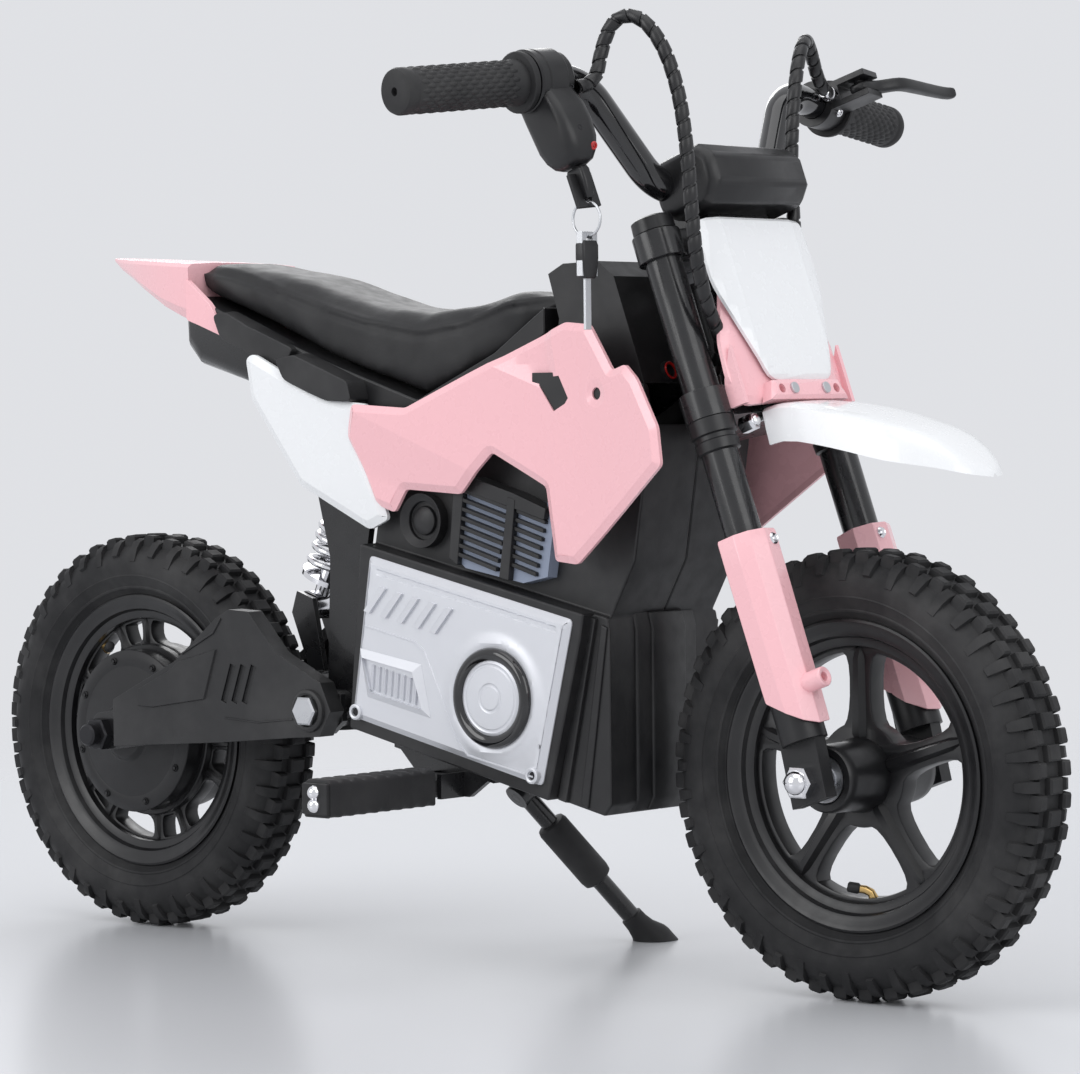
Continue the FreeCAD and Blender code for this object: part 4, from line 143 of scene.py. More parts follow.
def stretch(tree, value, low, high, to_low, to_high, easing="LINEAR"):
    """Map a value from one range to another."""
    ramp = tree.nodes.new("ShaderNodeMapRange")
    ramp.interpolation_type = easing
    for label, amount in (("Value", value), ("From Min", low), ("From Max", high), ("To Min", to_low),
                          ("To Max", to_high)):
        wire(tree, amount, ramp.inputs[label])
    return ramp.outputs["Result"]


def mix_colour(tree, factor, first, second):
    """Blend two colours by a factor."""
    mixer = tree.nodes.new("ShaderNodeMix")
    mixer.data_type = "RGBA"
    for place, value in ((0, factor), (6, first), (7, second)):
        wire(tree, value, mixer.inputs[place])
    return mixer.outputs[2]


def maths(tree, operation, *values):
    """Math node on sockets or numbers."""
    node = tree.nodes.new("ShaderNodeMath")
    node.operation = operation
    for socket, value in zip(node.inputs, values):
        wire(tree, value, socket)
    return node.outputs[0]


print("node helpers", [helper.__name__ for helper in (wire, noise, stretch, mix_colour, maths)])

# %% [markdown]
# The groups themselves: a wiped and slightly dusty surface, the grain of moulded plastic, and the fine
# lines of drawn metal.

# %% Node groups for shared effects
def make_handled_group():
    """Gloss that varies as on a wiped surface, and a little dust in the colour."""
    group, inlet, outlet = new_group(
        "handled_surface",
        [("Vector", "NodeSocketVector", (0, 0, 0)), ("Colour", "NodeSocketColor", (1, 1, 1, 1)),
         ("Dust", "NodeSocketColor", (0.4, 0.39, 0.37, 1)), ("Dust Amount", "NodeSocketFloat", 0.05),
         ("Gloss Low", "NodeSocketFloat", 0.3), ("Gloss High", "NodeSocketFloat", 0.4)],
        [("Colour", "NodeSocketColor"), ("Roughness", "NodeSocketFloat")])
    broad = noise(group, inlet.outputs["Vector"], 14.0, 4.0, 0.6)
    fine = noise(group, inlet.outputs["Vector"], 90.0, 3.0)
    amount = stretch(group, broad, 0.45, 0.75, 0.0, inlet.outputs["Dust Amount"])
    dusty = mix_colour(group, amount, inlet.outputs["Colour"], inlet.outputs["Dust"])
    wire(group, dusty, outlet.inputs["Colour"])
    gloss = stretch(group, fine, 0.3, 0.7, inlet.outputs["Gloss Low"], inlet.outputs["Gloss High"])
    wire(group, gloss, outlet.inputs["Roughness"])
    return group


def make_grain_group():
    """Leathery grain of moulded plastic or vinyl: small cells with soft edges."""
    group, inlet, outlet = new_group(
        "moulded_grain",
        [("Vector", "NodeSocketVector", (0, 0, 0)), ("Scale", "NodeSocketFloat", 900.0),
         ("Ripple", "NodeSocketFloat", 0.3)],
        [("Height", "NodeSocketFloat")])
    cells = group.nodes.new("ShaderNodeTexVoronoi")
    wire(group, inlet.outputs["Vector"], cells.inputs["Vector"])
    wire(group, inlet.outputs["Scale"], cells.inputs["Scale"])
    ripple = noise(group, inlet.outputs["Vector"], 60.0, 3.0)
    height = maths(group, "MULTIPLY_ADD", ripple, inlet.outputs["Ripple"], cells.outputs["Distance"])
    wire(group, height, outlet.inputs["Height"])
    return group


def make_brushed_group():
    """Fine parallel lines of a brushed or drawn metal."""
    group, inlet, outlet = new_group(
        "brushed_lines",
        [("Vector", "NodeSocketVector", (0, 0, 0)),
         ("Length Scale", "NodeSocketVector", (40.0, 900.0, 900.0))],
        [("Height", "NodeSocketFloat")])
    scaled = group.nodes.new("ShaderNodeVectorMath")
    scaled.operation = "MULTIPLY"
    wire(group, inlet.outputs["Vector"], scaled.inputs[0])
    wire(group, inlet.outputs["Length Scale"], scaled.inputs[1])
    wire(group, noise(group, scaled.outputs[0], 1.0, 3.0), outlet.inputs["Height"])
    return group


handled_group = make_handled_group()
grain_group = make_grain_group()
brushed_group = make_brushed_group()
print("shared effects", [group.name for group in (handled_group, grain_group, brushed_group)])

# %% [markdown]
# Each finish is one material.  The helper below sets the plain numbers on the shader's own sockets and
# brings in the shared groups for what changes over the surface: colour, roughness and bump.

# %% Finishes
DUST = (0.42, 0.41, 0.40, 1.0)
COAT_ROUGHNESS = 0.06
BUMP_DEPTH = 0.0002


def finish_material(name, colour, gloss, metallic=0.0, coat=0.0, dust=0.0, grain=None, brushed=None,
                    bump=0.1, specular=0.5):
    """Procedural finish: colour and gloss vary by the shared groups, grain or brushing gives the bump."""
    material = bpy.data.materials.new(name)
    material.use_nodes = True
    tree = material.node_tree
    shader = tree.nodes["Principled BSDF"]
    place = tree.nodes.new("ShaderNodeTexCoord").outputs["Object"]
    handled = tree.nodes.new("ShaderNodeGroup")
    handled.node_tree = handled_group
    for label, value in (("Vector", place), ("Colour", (*colour, 1.0)), ("Dust", DUST),
                         ("Dust Amount", dust), ("Gloss Low", gloss[0]), ("Gloss High", gloss[1])):
        wire(tree, value, handled.inputs[label])
    for label, value in (("Base Color", handled.outputs["Colour"]),
                         ("Roughness", handled.outputs["Roughness"]), ("Metallic", metallic),
                         ("Specular IOR Level", specular), ("Coat Weight", coat),
                         ("Coat Roughness", COAT_ROUGHNESS)):
        wire(tree, value, shader.inputs[label])
    if grain is not None or brushed is not None:
        relief = tree.nodes.new("ShaderNodeGroup")
        relief.node_tree = grain_group if grain is not None else brushed_group
        wire(tree, place, relief.inputs["Vector"])
        if grain is not None:
            wire(tree, grain, relief.inputs["Scale"])
        else:
            wire(tree, brushed, relief.inputs["Length Scale"])
        lift = tree.nodes.new("ShaderNodeBump")
        wire(tree, bump, lift.inputs["Strength"])
        wire(tree, BUMP_DEPTH, lift.inputs["Distance"])
        wire(tree, relief.outputs["Height"], lift.inputs["Height"])
        wire(tree, lift.outputs["Normal"], shader.inputs["Normal"])
    return material


FINISHES = {
    "pink": finish_material("pink_gloss_plastic", (0.930, 0.520, 0.555), (0.24, 0.32), coat=0.5),
    "white": finish_material("white_gloss_plastic", (0.850, 0.860, 0.870), (0.22, 0.30), coat=0.5),
    "silver": finish_material("silver_painted_plastic", (0.690, 0.700, 0.735), (0.34, 0.44), metallic=0.40,
                              grain=1500.0),
    "black": finish_material("black_moulded_plastic", (0.010, 0.010, 0.011), (0.42, 0.55), dust=0.05,
                             grain=1100.0, bump=0.16),
    "satin": finish_material("black_satin_plastic", (0.007, 0.007, 0.008), (0.30, 0.42), dust=0.03,
                             grain=1400.0, bump=0.08),
    "gloss_black": finish_material("black_gloss_trim", (0.006, 0.006, 0.007), (0.08, 0.14), coat=0.6),
    "coat": finish_material("black_powder_coat", (0.010, 0.010, 0.011), (0.22, 0.34), coat=0.25,
                            grain=700.0, bump=0.05),
    "tyre": finish_material("tyre_rubber", (0.012, 0.012, 0.013), (0.58, 0.74), dust=0.08,
                            grain=650.0, bump=0.20, specular=0.35),
    "rubber": finish_material("grip_rubber", (0.014, 0.014, 0.015), (0.52, 0.66), dust=0.05,
                              grain=1300.0, bump=0.15, specular=0.4),
    "vinyl": finish_material("seat_vinyl", (0.015, 0.015, 0.016), (0.46, 0.56), dust=0.03,
                             grain=520.0, bump=0.16, specular=0.35),
    "chrome": finish_material("chrome_plate", (0.78, 0.78, 0.80), (0.08, 0.16), metallic=1.0),
    "zinc": finish_material("zinc_plated_steel", (0.60, 0.61, 0.63), (0.26, 0.40), metallic=1.0,
                            brushed=(900.0, 60.0, 900.0), bump=0.06),
    "dark_steel": finish_material("blackened_steel", (0.030, 0.030, 0.033), (0.34, 0.48), metallic=0.7,
                                  grain=900.0),
    "cast": finish_material("black_coated_casting", (0.012, 0.012, 0.013), (0.34, 0.48), metallic=0.2,
                            grain=500.0, bump=0.16),
    "brass": finish_material("brass", (0.62, 0.42, 0.17), (0.24, 0.36), metallic=1.0),
    "slate": finish_material("slate_blue_plastic", (0.25, 0.29, 0.38), (0.38, 0.50), grain=1200.0),
    "red": finish_material("red_lens", (0.45, 0.012, 0.010), (0.15, 0.25), coat=0.4),
}
print("finishes", len(FINISHES))

# %% [markdown]
# Which finish goes on which CAD piece.  A piece that is rebuilt further down gets its finish there.

# %% Finishes on the CAD pieces
NODE_FINISH = {
    "black": ["casing_right", "casing_left", "tank_cover", "swingarm_covers", "battery_pack",
              "motor_controller"],
    "satin": ["seat_base", "brake_perch", "ignition_key"],
    "gloss_black": ["handlebar"],
    "coat": ["main_frame", "swingarm", "footpeg_bracket", "kickstand", "stanchions", "top_yoke",
             "bottom_yoke", "steering_stem"],
    "rubber": ["footpeg_right", "footpeg_left"],
    "chrome": ["shock_rod", "shock_body"],
    "zinc": ["front_axle", "suspension_bolts", "mask_screws", "brake_disc", "front_bearings",
             "headset_bearings", "spare_key"],
    "dark_steel": ["rear_axle", "motor_stator", "brake_caliper"],
    "cast": ["hub_motor_case", "fork_sliders"],
}
for finish, names in NODE_FINISH.items():
    for name in names:
        mesh = nodes[name].data
        mesh.materials.clear()
        mesh.materials.append(FINISHES[finish])
print("pieces with a finish", sum(len(names) for names in NODE_FINISH.values()))

# %% [markdown]
# CAD edges are knife sharp, and no moulded or cast edge is.  A small Geometry Nodes tree joins the loose
# triangles and marks which edges stay crisp; a Bevel modifier then rounds them.  The CAD mesh is not
# touched.

# %% Rounded edges on the CAD pieces
CRISP_ANGLE = math.radians(28)
FLAT_ANGLE = math.radians(0.4)
MERGE_DISTANCE = 0.00002


def new_tree(name, inputs=()):
    """Geometry Nodes tree with named inputs and one geometry output."""
    tree = bpy.data.node_groups.new(name, "GeometryNodeTree")
    for label, kind in (("Geometry", "NodeSocketGeometry"), *inputs):
        tree.interface.new_socket(label, in_out="INPUT", socket_type=kind)
    tree.interface.new_socket("Geometry", in_out="OUTPUT", socket_type="NodeSocketGeometry")
    return tree, tree.nodes.new("NodeGroupInput"), tree.nodes.new("NodeGroupOutput")


def make_smooth_tree():
    """Joins loose triangles, smooths the faces and keeps edges over an angle crisp."""
    tree, inlet, outlet = new_tree("joined_and_smoothed")
    merge = tree.nodes.new("GeometryNodeMergeByDistance")
    merge.inputs["Distance"].default_value = MERGE_DISTANCE
    all_smooth = tree.nodes.new("GeometryNodeSetShadeSmooth")
    angle = tree.nodes.new("GeometryNodeInputMeshEdgeAngle")
    crisp = tree.nodes.new("FunctionNodeCompare")
    crisp.inputs[1].default_value = CRISP_ANGLE
    edges = tree.nodes.new("GeometryNodeSetShadeSmooth")
    edges.domain = "EDGE"
    edges.inputs["Shade Smooth"].default_value = False
    wire(tree, inlet.outputs[0], merge.inputs["Geometry"])
    wire(tree, merge.outputs[0], all_smooth.inputs["Geometry"])
    wire(tree, all_smooth.outputs[0], edges.inputs["Geometry"])
    wire(tree, angle.outputs["Unsigned Angle"], crisp.inputs[0])
    wire(tree, crisp.outputs[0], edges.inputs["Selection"])
    wire(tree, edges.outputs[0], outlet.inputs[0])
    return tree


def add_rounding(thing, width, angle):
    """Bevel modifier on the edges that are sharper than an angle."""
    rounding = thing.modifiers.new("rounding", "BEVEL")
    rounding.width = width
    rounding.segments = 2
    rounding.limit_method = "ANGLE"
    rounding.angle_limit = angle
    rounding.harden_normals = True


def round_edges(thing, width):
    """Live modifiers that join, smooth and round one CAD piece."""
    thing.modifiers.new("joined", "NODES").node_group = smooth_tree
    flat = thing.modifiers.new("flat_faces", "DECIMATE")
    flat.decimate_type = "DISSOLVE"
    flat.angle_limit = FLAT_ANGLE
    add_rounding(thing, width, CRISP_ANGLE)


smooth_tree = make_smooth_tree()
EDGE_WIDTHS = {
    0.0018: ["casing_right", "casing_left", "tank_cover", "seat_base"],
    0.0010: ["swingarm_covers", "hub_motor_case", "swingarm", "footpeg_bracket", "top_yoke", "bottom_yoke",
             "fork_sliders", "main_frame", "brake_perch", "kickstand", "footpeg_right", "footpeg_left",
             "stanchions", "shock_body", "shock_rod", "front_axle", "suspension_bolts", "steering_stem",
             "rear_axle", "brake_caliper"],
    0.0004: ["mask_screws", "brake_disc", "ignition_key", "spare_key", "handlebar"],
}
for width, names in EDGE_WIDTHS.items():
    for name in names:
        round_edges(nodes[name], width)
print("pieces with rounded edges", sum(len(names) for names in EDGE_WIDTHS.values()))

# %% [markdown]
# A few helpers make every form below.  A form is skinned through rings of points or turned on an axis, its
# seams are closed and its faces turned outwards, and it becomes a mesh.  What stands on both sides of the
# bike is made once, on the right, and mirrored.

# %% Helpers for forms
RAKE = math.radians(20)
STEERING = Matrix(((math.cos(RAKE), 0, -math.sin(RAKE), 324.711 * MM), (0, 1, 0, 0),
                   (math.sin(RAKE), 0, math.cos(RAKE), 146.997 * MM), (0, 0, 0, 1)))
ON_RIGHT = Matrix(((1, 0, 0, 0), (0, 0, -1, 0), (0, 1, 0, 0), (0, 0, 0, 1)))
ACROSS_BIKE, ACROSS_WHEEL = (1, -1, 1), (1, 1, -1)
WELD_DISTANCE = 0.000004
NO_RADIUS = 0.01


def on_side(x, z):
    """Placement on the bike's right side, with local Z pointing out of it."""
    return Matrix.Translation((x * MM, 0, z * MM)) @ ON_RIGHT


def skin(rings, wrap=False):
    """Form of quads through rings of points; its ends are closed, or joined where it wraps round."""
    form = bmesh.new()
    rows = [[form.verts.new(Vector(point) * MM) for point in ring] for ring in rings]
    for low, high in zip(rows, rows[1:] + rows[:1] if wrap else rows[1:]):
        for place in range(len(low)):
            follow = (place + 1) % len(low)
            form.faces.new((low[place], low[follow], high[follow], high[place]))
    if not wrap:
        form.faces.new(rows[0][::-1])
        form.faces.new(rows[-1])
    return form


def ring_outline(middle, radius, steps=16):
    """Points round a circle in the local XY plane."""
    turns = [math.tau * step / steps for step in range(steps)]
    return [(middle[0] + radius * math.cos(turn), middle[1] + radius * math.sin(turn)) for turn in turns]


def turned(profile, steps=48, wrap=False):
    """Form turned on the local Z axis from (radius, height) pairs in millimetres."""
    rings = []
    for radius, height in profile:
        rings.append([(x, y, height) for x, y in ring_outline((0, 0), max(radius, NO_RADIUS), steps)])
    return skin(rings, wrap)


def raised(outline, low, high, inset=0.0):
    """Plate of a local XY outline between two heights, its top drawn in by an inset."""
    middle = Vector((sum(u for u, v in outline) / len(outline), sum(v for u, v in outline) / len(outline)))
    top = []
    for u, v in outline:
        inward = middle - Vector((u, v))
        spot = Vector((u, v)) + inward.normalized() * min(inset, inward.length)
        top.append((spot.x, spot.y, high))
    return skin([[(u, v, low) for u, v in outline], top])


def opened(*meshes):
    """Form that holds copies of meshes, ready for edits."""
    form = bmesh.new()
    for mesh in meshes:
        form.from_mesh(mesh)
    return form


def stored(form):
    """Mesh made of a form, which is then let go."""
    mesh = bpy.data.meshes.new("form")
    form.to_mesh(mesh)
    form.free()
    return mesh


def to_mesh(form, place=None):
    """Close a form's seams, turn its faces outwards, place it and make it a mesh."""
    bmesh.ops.remove_doubles(form, verts=form.verts, dist=WELD_DISTANCE)
    bmesh.ops.recalc_face_normals(form, faces=form.faces)
    if place is not None:
        form.transform(place)
    return stored(form)


def joined(meshes):
    """One mesh from several."""
    return stored(opened(*meshes))


def moved(mesh, place):
    """A mesh put in its place."""
    mesh.transform(place)
    return mesh


def mirrored(mesh, flip=ACROSS_BIKE):
    """The same mesh on the other side of the bike, or of a wheel's middle plane."""
    form = opened(mesh)
    form.transform(Matrix.Diagonal((*flip, 1)))
    bmesh.ops.reverse_faces(form, faces=form.faces)
    return stored(form)


def both(mesh):
    """A mesh and its mirror image as one."""
    return joined([mesh, mirrored(mesh)])


print("steering axis", [round(v, 3) for v in STEERING.col[2][:3]])

# %% [markdown]
# A finished mesh becomes an object that rides on a body of the bike and stands for a CAD piece where it
# replaces one.

# %% Helpers for pieces
SOFT_EDGE = 38


def piece(name, mesh, finish, body, stands_for=(), bevel=0.0, levels=0, sharp=SOFT_EDGE):
    """Object of a mesh that rides on a body; sharp is an angle in degrees."""
    thing = in_scene(name, mesh)
    mesh.name = name
    mesh.materials.clear()
    mesh.materials.append(FINISHES[finish])
    mesh.shade_smooth()
    mesh.set_sharp_from_angle(angle=math.radians(sharp))
    if bevel:
        add_rounding(thing, bevel, math.radians(sharp))
    if levels:
        smoothing = thing.modifiers.new("smoothing", "SUBSURF")
        smoothing.levels = levels
        smoothing.render_levels = levels
    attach(thing, body)
    if stands_for:
        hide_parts(*stands_for)
    return thing


def result_of(thing):
    """Plain mesh of an object as its modifiers leave it; the object is let go."""
    mesh = bpy.data.meshes.new_from_object(thing.evaluated_get(bpy.context.evaluated_depsgraph_get()))
    bpy.data.objects.remove(thing)
    return mesh


print("edges stay sharp over", SOFT_EDGE, "degrees")

# %% [markdown]
# Screws, tread blocks, fins and the like are modelled once and repeated by two Geometry Nodes trees, one
# for rings and one for rows.

# %% Helpers for repeats
NUDGE = 0.01


def grown(tree, values):
    """Plain mesh from a tree whose named inputs are set before it is first evaluated."""
    holder = in_scene("holder", bpy.data.meshes.new("holder"))
    grow = holder.modifiers.new("grow", "NODES")
    grow.node_group = tree
    for socket in tree.interface.items_tree:
        if socket.item_type == "SOCKET" and socket.in_out == "INPUT" and socket.name in values:
            grow[socket.identifier] = values[socket.name]
    return result_of(holder)


def finish_tree(tree, points, turn, inlet, outlet):
    """Every tree ends alike: the item on each point, instances made real, then the material."""
    item = tree.nodes.new("GeometryNodeObjectInfo")
    copies = tree.nodes.new("GeometryNodeInstanceOnPoints")
    real = tree.nodes.new("GeometryNodeRealizeInstances")
    painted = tree.nodes.new("GeometryNodeSetMaterial")
    wire(tree, inlet.outputs["Item"], item.inputs["Object"])
    wire(tree, points.outputs[0], copies.inputs["Points"])
    wire(tree, item.outputs["Geometry"], copies.inputs["Instance"])
    wire(tree, turn, copies.inputs["Rotation"])
    wire(tree, copies.outputs[0], real.inputs["Geometry"])
    wire(tree, real.outputs[0], painted.inputs["Geometry"])
    wire(tree, inlet.outputs["Material"], painted.inputs["Material"])
    wire(tree, painted.outputs[0], outlet.inputs[0])
    return tree


def make_round_tree():
    """Copies of an item in rings round the local Z axis; odd rings turn by a share of the pitch."""
    tree, inlet, outlet = new_tree("round_the_axis", [
        ("Item", "NodeSocketObject"), ("Around", "NodeSocketInt"), ("Rings", "NodeSocketInt"),
        ("Ring Step", "NodeSocketFloat"), ("Stagger", "NodeSocketFloat"), ("Start Turn", "NodeSocketFloat"),
        ("Material", "NodeSocketMaterial")])
    points = tree.nodes.new("GeometryNodePoints")
    count = maths(tree, "MULTIPLY", inlet.outputs["Around"], inlet.outputs["Rings"])
    wire(tree, count, points.inputs["Count"])
    index = tree.nodes.new("GeometryNodeInputIndex").outputs[0]
    rings_done = maths(tree, "DIVIDE", maths(tree, "ADD", index, NUDGE), inlet.outputs["Around"])
    ring = maths(tree, "FLOOR", rings_done)
    shift = maths(tree, "MULTIPLY", maths(tree, "MODULO", ring, 2.0), inlet.outputs["Stagger"])
    share = maths(tree, "DIVIDE", maths(tree, "ADD", index, shift), inlet.outputs["Around"])
    turn = maths(tree, "MULTIPLY_ADD", share, math.tau, inlet.outputs["Start Turn"])
    place = tree.nodes.new("ShaderNodeCombineXYZ")
    wire(tree, maths(tree, "MULTIPLY", ring, inlet.outputs["Ring Step"]), place.inputs["Z"])
    wire(tree, place.outputs[0], points.inputs["Position"])
    angle = tree.nodes.new("ShaderNodeCombineXYZ")
    wire(tree, turn, angle.inputs["Z"])
    return finish_tree(tree, points, angle.outputs[0], inlet, outlet)


def make_row_tree():
    """Copies of an item in a straight row."""
    tree, inlet, outlet = new_tree("in_a_row", [
        ("Item", "NodeSocketObject"), ("Count", "NodeSocketInt"), ("Step", "NodeSocketVector"),
        ("Material", "NodeSocketMaterial")])
    points = tree.nodes.new("GeometryNodePoints")
    wire(tree, inlet.outputs["Count"], points.inputs["Count"])
    along = tree.nodes.new("ShaderNodeVectorMath")
    along.operation = "SCALE"
    wire(tree, inlet.outputs["Step"], along.inputs[0])
    wire(tree, tree.nodes.new("GeometryNodeInputIndex").outputs[0], along.inputs["Scale"])
    wire(tree, along.outputs[0], points.inputs["Position"])
    return finish_tree(tree, points, (0.0, 0.0, 0.0), inlet, outlet)


round_tree = make_round_tree()
row_tree = make_row_tree()


def repeated(tree, mesh, finish, **values):
    """Mesh of an item repeated by a tree; the keyword names are the tree's inputs."""
    item = in_scene("item", mesh)
    inputs = {name.replace("_", " ").title(): value for name, value in values.items()}
    result = grown(tree, {"Item": item, "Material": FINISHES[finish], **inputs})
    bpy.data.objects.remove(item)
    return result


print("trees", round_tree.name, row_tree.name)

# %% [markdown]
# Tyres.  A knobbly tyre is a smooth carcass with rows of rubber blocks moulded on.  The carcass is turned
# from its section, with two thin ridges on the wall.  The blocks are one small chamfered block each,
# repeated round the axle by Geometry Nodes, which is how the mould repeats them too.

# %% Tyres
FRONT_AXLE, REAR_AXLE = on_side(346.7, 155), on_side(-346.7, 155)
TYRE_WALL = [(101.6, 17.6), (107.6, 17.8), (110.4, 20.4), (112.2, 22.9), (113.4, 23.4), (114.4, 23.1),
             (118.0, 25.2), (121.4, 26.5), (122.4, 27.1), (123.4, 26.7), (128.0, 27.5), (133.0, 27.2),
             (137.5, 25.9), (141.5, 23.6), (145.0, 20.4), (147.6, 16.8), (149.2, 12.2), (149.9, 6.5),
             (150.0, 0.0)]
TYRE_STEPS = 88
TREAD_COUNT = 44
CENTRE_BLOCK = ((5.5, 7.0), (148.0, 153.6, 155.0), 0.0)
SIDE_BLOCK = ((5.2, 4.6), (145.5, 152.6, 154.2), 14.3)
LUG_HALF, LUG_THICK, LUG_CHAMFER = 4.6, 3.4, 0.8
LUG_REACHES = [139.0, 134.0]


def knob(half_size, heights, across):
    """Chamfered block that stands on the carcass, out along local X."""
    long_half, wide_half = half_size
    rings = []
    for height, grow in zip(heights, (0.5, 0.0, -1.3)):
        rings.append([(height, side * (long_half + grow), across + end * (wide_half + grow))
                      for side, end in ((-1, -1), (1, -1), (1, 1), (-1, 1))])
    return to_mesh(skin(rings))


def shoulder_lug(reach):
    """Lug that runs from the tread's edge down the tyre's wall."""
    rings = []
    for radius, across, share in ((151.5, 15.6, 1.0), (149.0, 21.6, 1.0), (144.5, 25.2, 0.95),
                                  (reach, 27.6, 0.75)):
        half = LUG_HALF * share
        low = radius - LUG_THICK
        rings.append([(low, -half, across - LUG_THICK), (radius, LUG_CHAMFER - half, across),
                      (radius, half - LUG_CHAMFER, across), (low, half, across - LUG_THICK)])
    return to_mesh(skin(rings))


def make_tyre(name, axle, body, node_name):
    """Turned carcass with three rows of blocks and lugs on both shoulders."""
    wall = [(radius, -half) for radius, half in TYRE_WALL]
    section = wall + [(radius, half) for radius, half in reversed(TYRE_WALL[:-1])]
    inside = [(radius - 4, half * 0.82) for radius, half in section[2:-2]]
    meshes = [to_mesh(turned(section + inside[::-1], TYRE_STEPS, wrap=True))]
    pitch = math.tau / TREAD_COUNT
    other_side = knob(*SIDE_BLOCK[:2], -SIDE_BLOCK[2])
    for mesh, turn in ((knob(*CENTRE_BLOCK), 0.0), (knob(*SIDE_BLOCK), 0.5), (other_side, 0.5)):
        meshes.append(repeated(round_tree, mesh, "tyre", around=TREAD_COUNT, rings=1,
                               start_turn=turn * pitch))
    for turn, reach in enumerate(LUG_REACHES):
        lug = shoulder_lug(reach)
        pair = to_mesh(opened(lug, mirrored(lug, ACROSS_WHEEL)))
        meshes.append(repeated(round_tree, pair, "tyre", around=TREAD_COUNT // 2, rings=1,
                               start_turn=turn * pitch))
    tyre = moved(joined(meshes), axle)
    return piece(name, tyre, "tyre", body, [node_name], sharp=30)


front_tyre = make_tyre("front_knobbly_tyre", FRONT_AXLE, "front_wheel", "front_tyre")
make_tyre("rear_knobbly_tyre", REAR_AXLE, "rear_wheel", "rear_tyre")
print("tyre faces", len(front_tyre.data.polygons))

# %% [markdown]
# Seat.  The saddle is foam under a tight vinyl skin, with a flat top, full rear corners and a flat
# underside where it sits on its base.  The CAD form is drawn in a little, remeshed and brought to the
# saddle's own line.

# %% Seat form
SEAT_LOW = [(-250, 496), (-98, 441), (-13, 414), (62, 447), (110, 479)]
SEAT_CROWN = [(-250, 517), (-98, 489), (-13, 478), (62, 490), (110, 490)]
SEAT_HALF = [(-250, 46), (-98, 62), (-13, 58), (62, 52), (110, 41)]
SEAT_TOP = [(-250, 524), (-213, 518.5), (-174, 508), (-123, 493), (-73, 481), (-23, 473.5), (20, 477),
            (62, 489), (110, 490)]
CROWN_FALL, FLAT_FALL = 0.47, 4
FLARE_MIDDLE, FLARE_REACH, FLARE = -222, 34, 0.17
LONGER_FROM, LONGER = -190, 0.13
SEAT_VOXEL, SEAT_DRAWN_IN = 0.005, 0.002


def along_seat(knots, x):
    """Value at x between (x, value) knots."""
    for first, last in zip(knots, knots[1:]):
        if x <= last[0] or last is knots[-1]:
            share = min(max((x - first[0]) / (last[0] - first[0]), 0.0), 1.0)
            return first[1] + (last[1] - first[1]) * share


def levelled(mesh):
    """Bring the round crown of the solid to the saddle's flat top and fill out its rear corners."""
    for vertex in mesh.vertices:
        x, y, z = vertex.co / MM
        low = along_seat(SEAT_LOW, x)
        across = min(abs(y) / along_seat(SEAT_HALF, x), 1.0)
        round_top = (along_seat(SEAT_CROWN, x) - low) * (1 - CROWN_FALL * across ** 2)
        flat_top = along_seat(SEAT_TOP, x) - low - FLAT_FALL * across ** 4
        if z > low:
            vertex.co.z = (low + (z - low) * flat_top / round_top) * MM
        vertex.co.y *= 1 + FLARE * math.exp(-((x - FLARE_MIDDLE) / FLARE_REACH) ** 2)
        vertex.co.x = (x + min(x - LONGER_FROM, 0.0) * LONGER) * MM


def add_relaxing(thing, rounds):
    """Smooth modifier that evens out a mesh."""
    relax = thing.modifiers.new("relax", "SMOOTH")
    relax.iterations = rounds


def cushion_source():
    """Remeshed copy of the CAD cushion, drawn in to leave room for the foam to swell."""
    form = opened(nodes["seat_cushion"].data)
    bmesh.ops.remove_doubles(form, verts=form.verts, dist=MERGE_DISTANCE)
    bmesh.ops.recalc_face_normals(form, faces=form.faces)
    thing = in_scene("cushion_source", stored(form))
    remesh = thing.modifiers.new("remesh", "REMESH")
    remesh.mode = "VOXEL"
    remesh.voxel_size = SEAT_VOXEL
    add_relaxing(thing, 14)
    drawn_in = result_of(thing)
    for vertex, normal in zip(drawn_in.vertices, [v.normal.copy() for v in drawn_in.vertices]):
        vertex.co -= normal * SEAT_DRAWN_IN
    levelled(drawn_in)
    return drawn_in


cushion_mesh = cushion_source()
print("seat form points", len(cushion_mesh.vertices))

# %% [markdown]
# A short cloth run then blows the form up again, so the skin gets the soft, even tension of a real cover.
# A crease follows the seam between the saddle's top and its sides.

# %% Seat cushion
CLOTH_FRAMES, PRESSURE = 20, 4
HELD_UP_TO, SWELL_LIMIT = 7, 0.005
SEAM_SHARE, SEAM_FROM = 0.84, 0.024
SEAM_LIFT, SEAM_WIDTH = 0.9, 2.0
CREASE_DEPTH, CREASE_BELOW, CREASE_WIDTH = 1.3, 4.0, 2.2


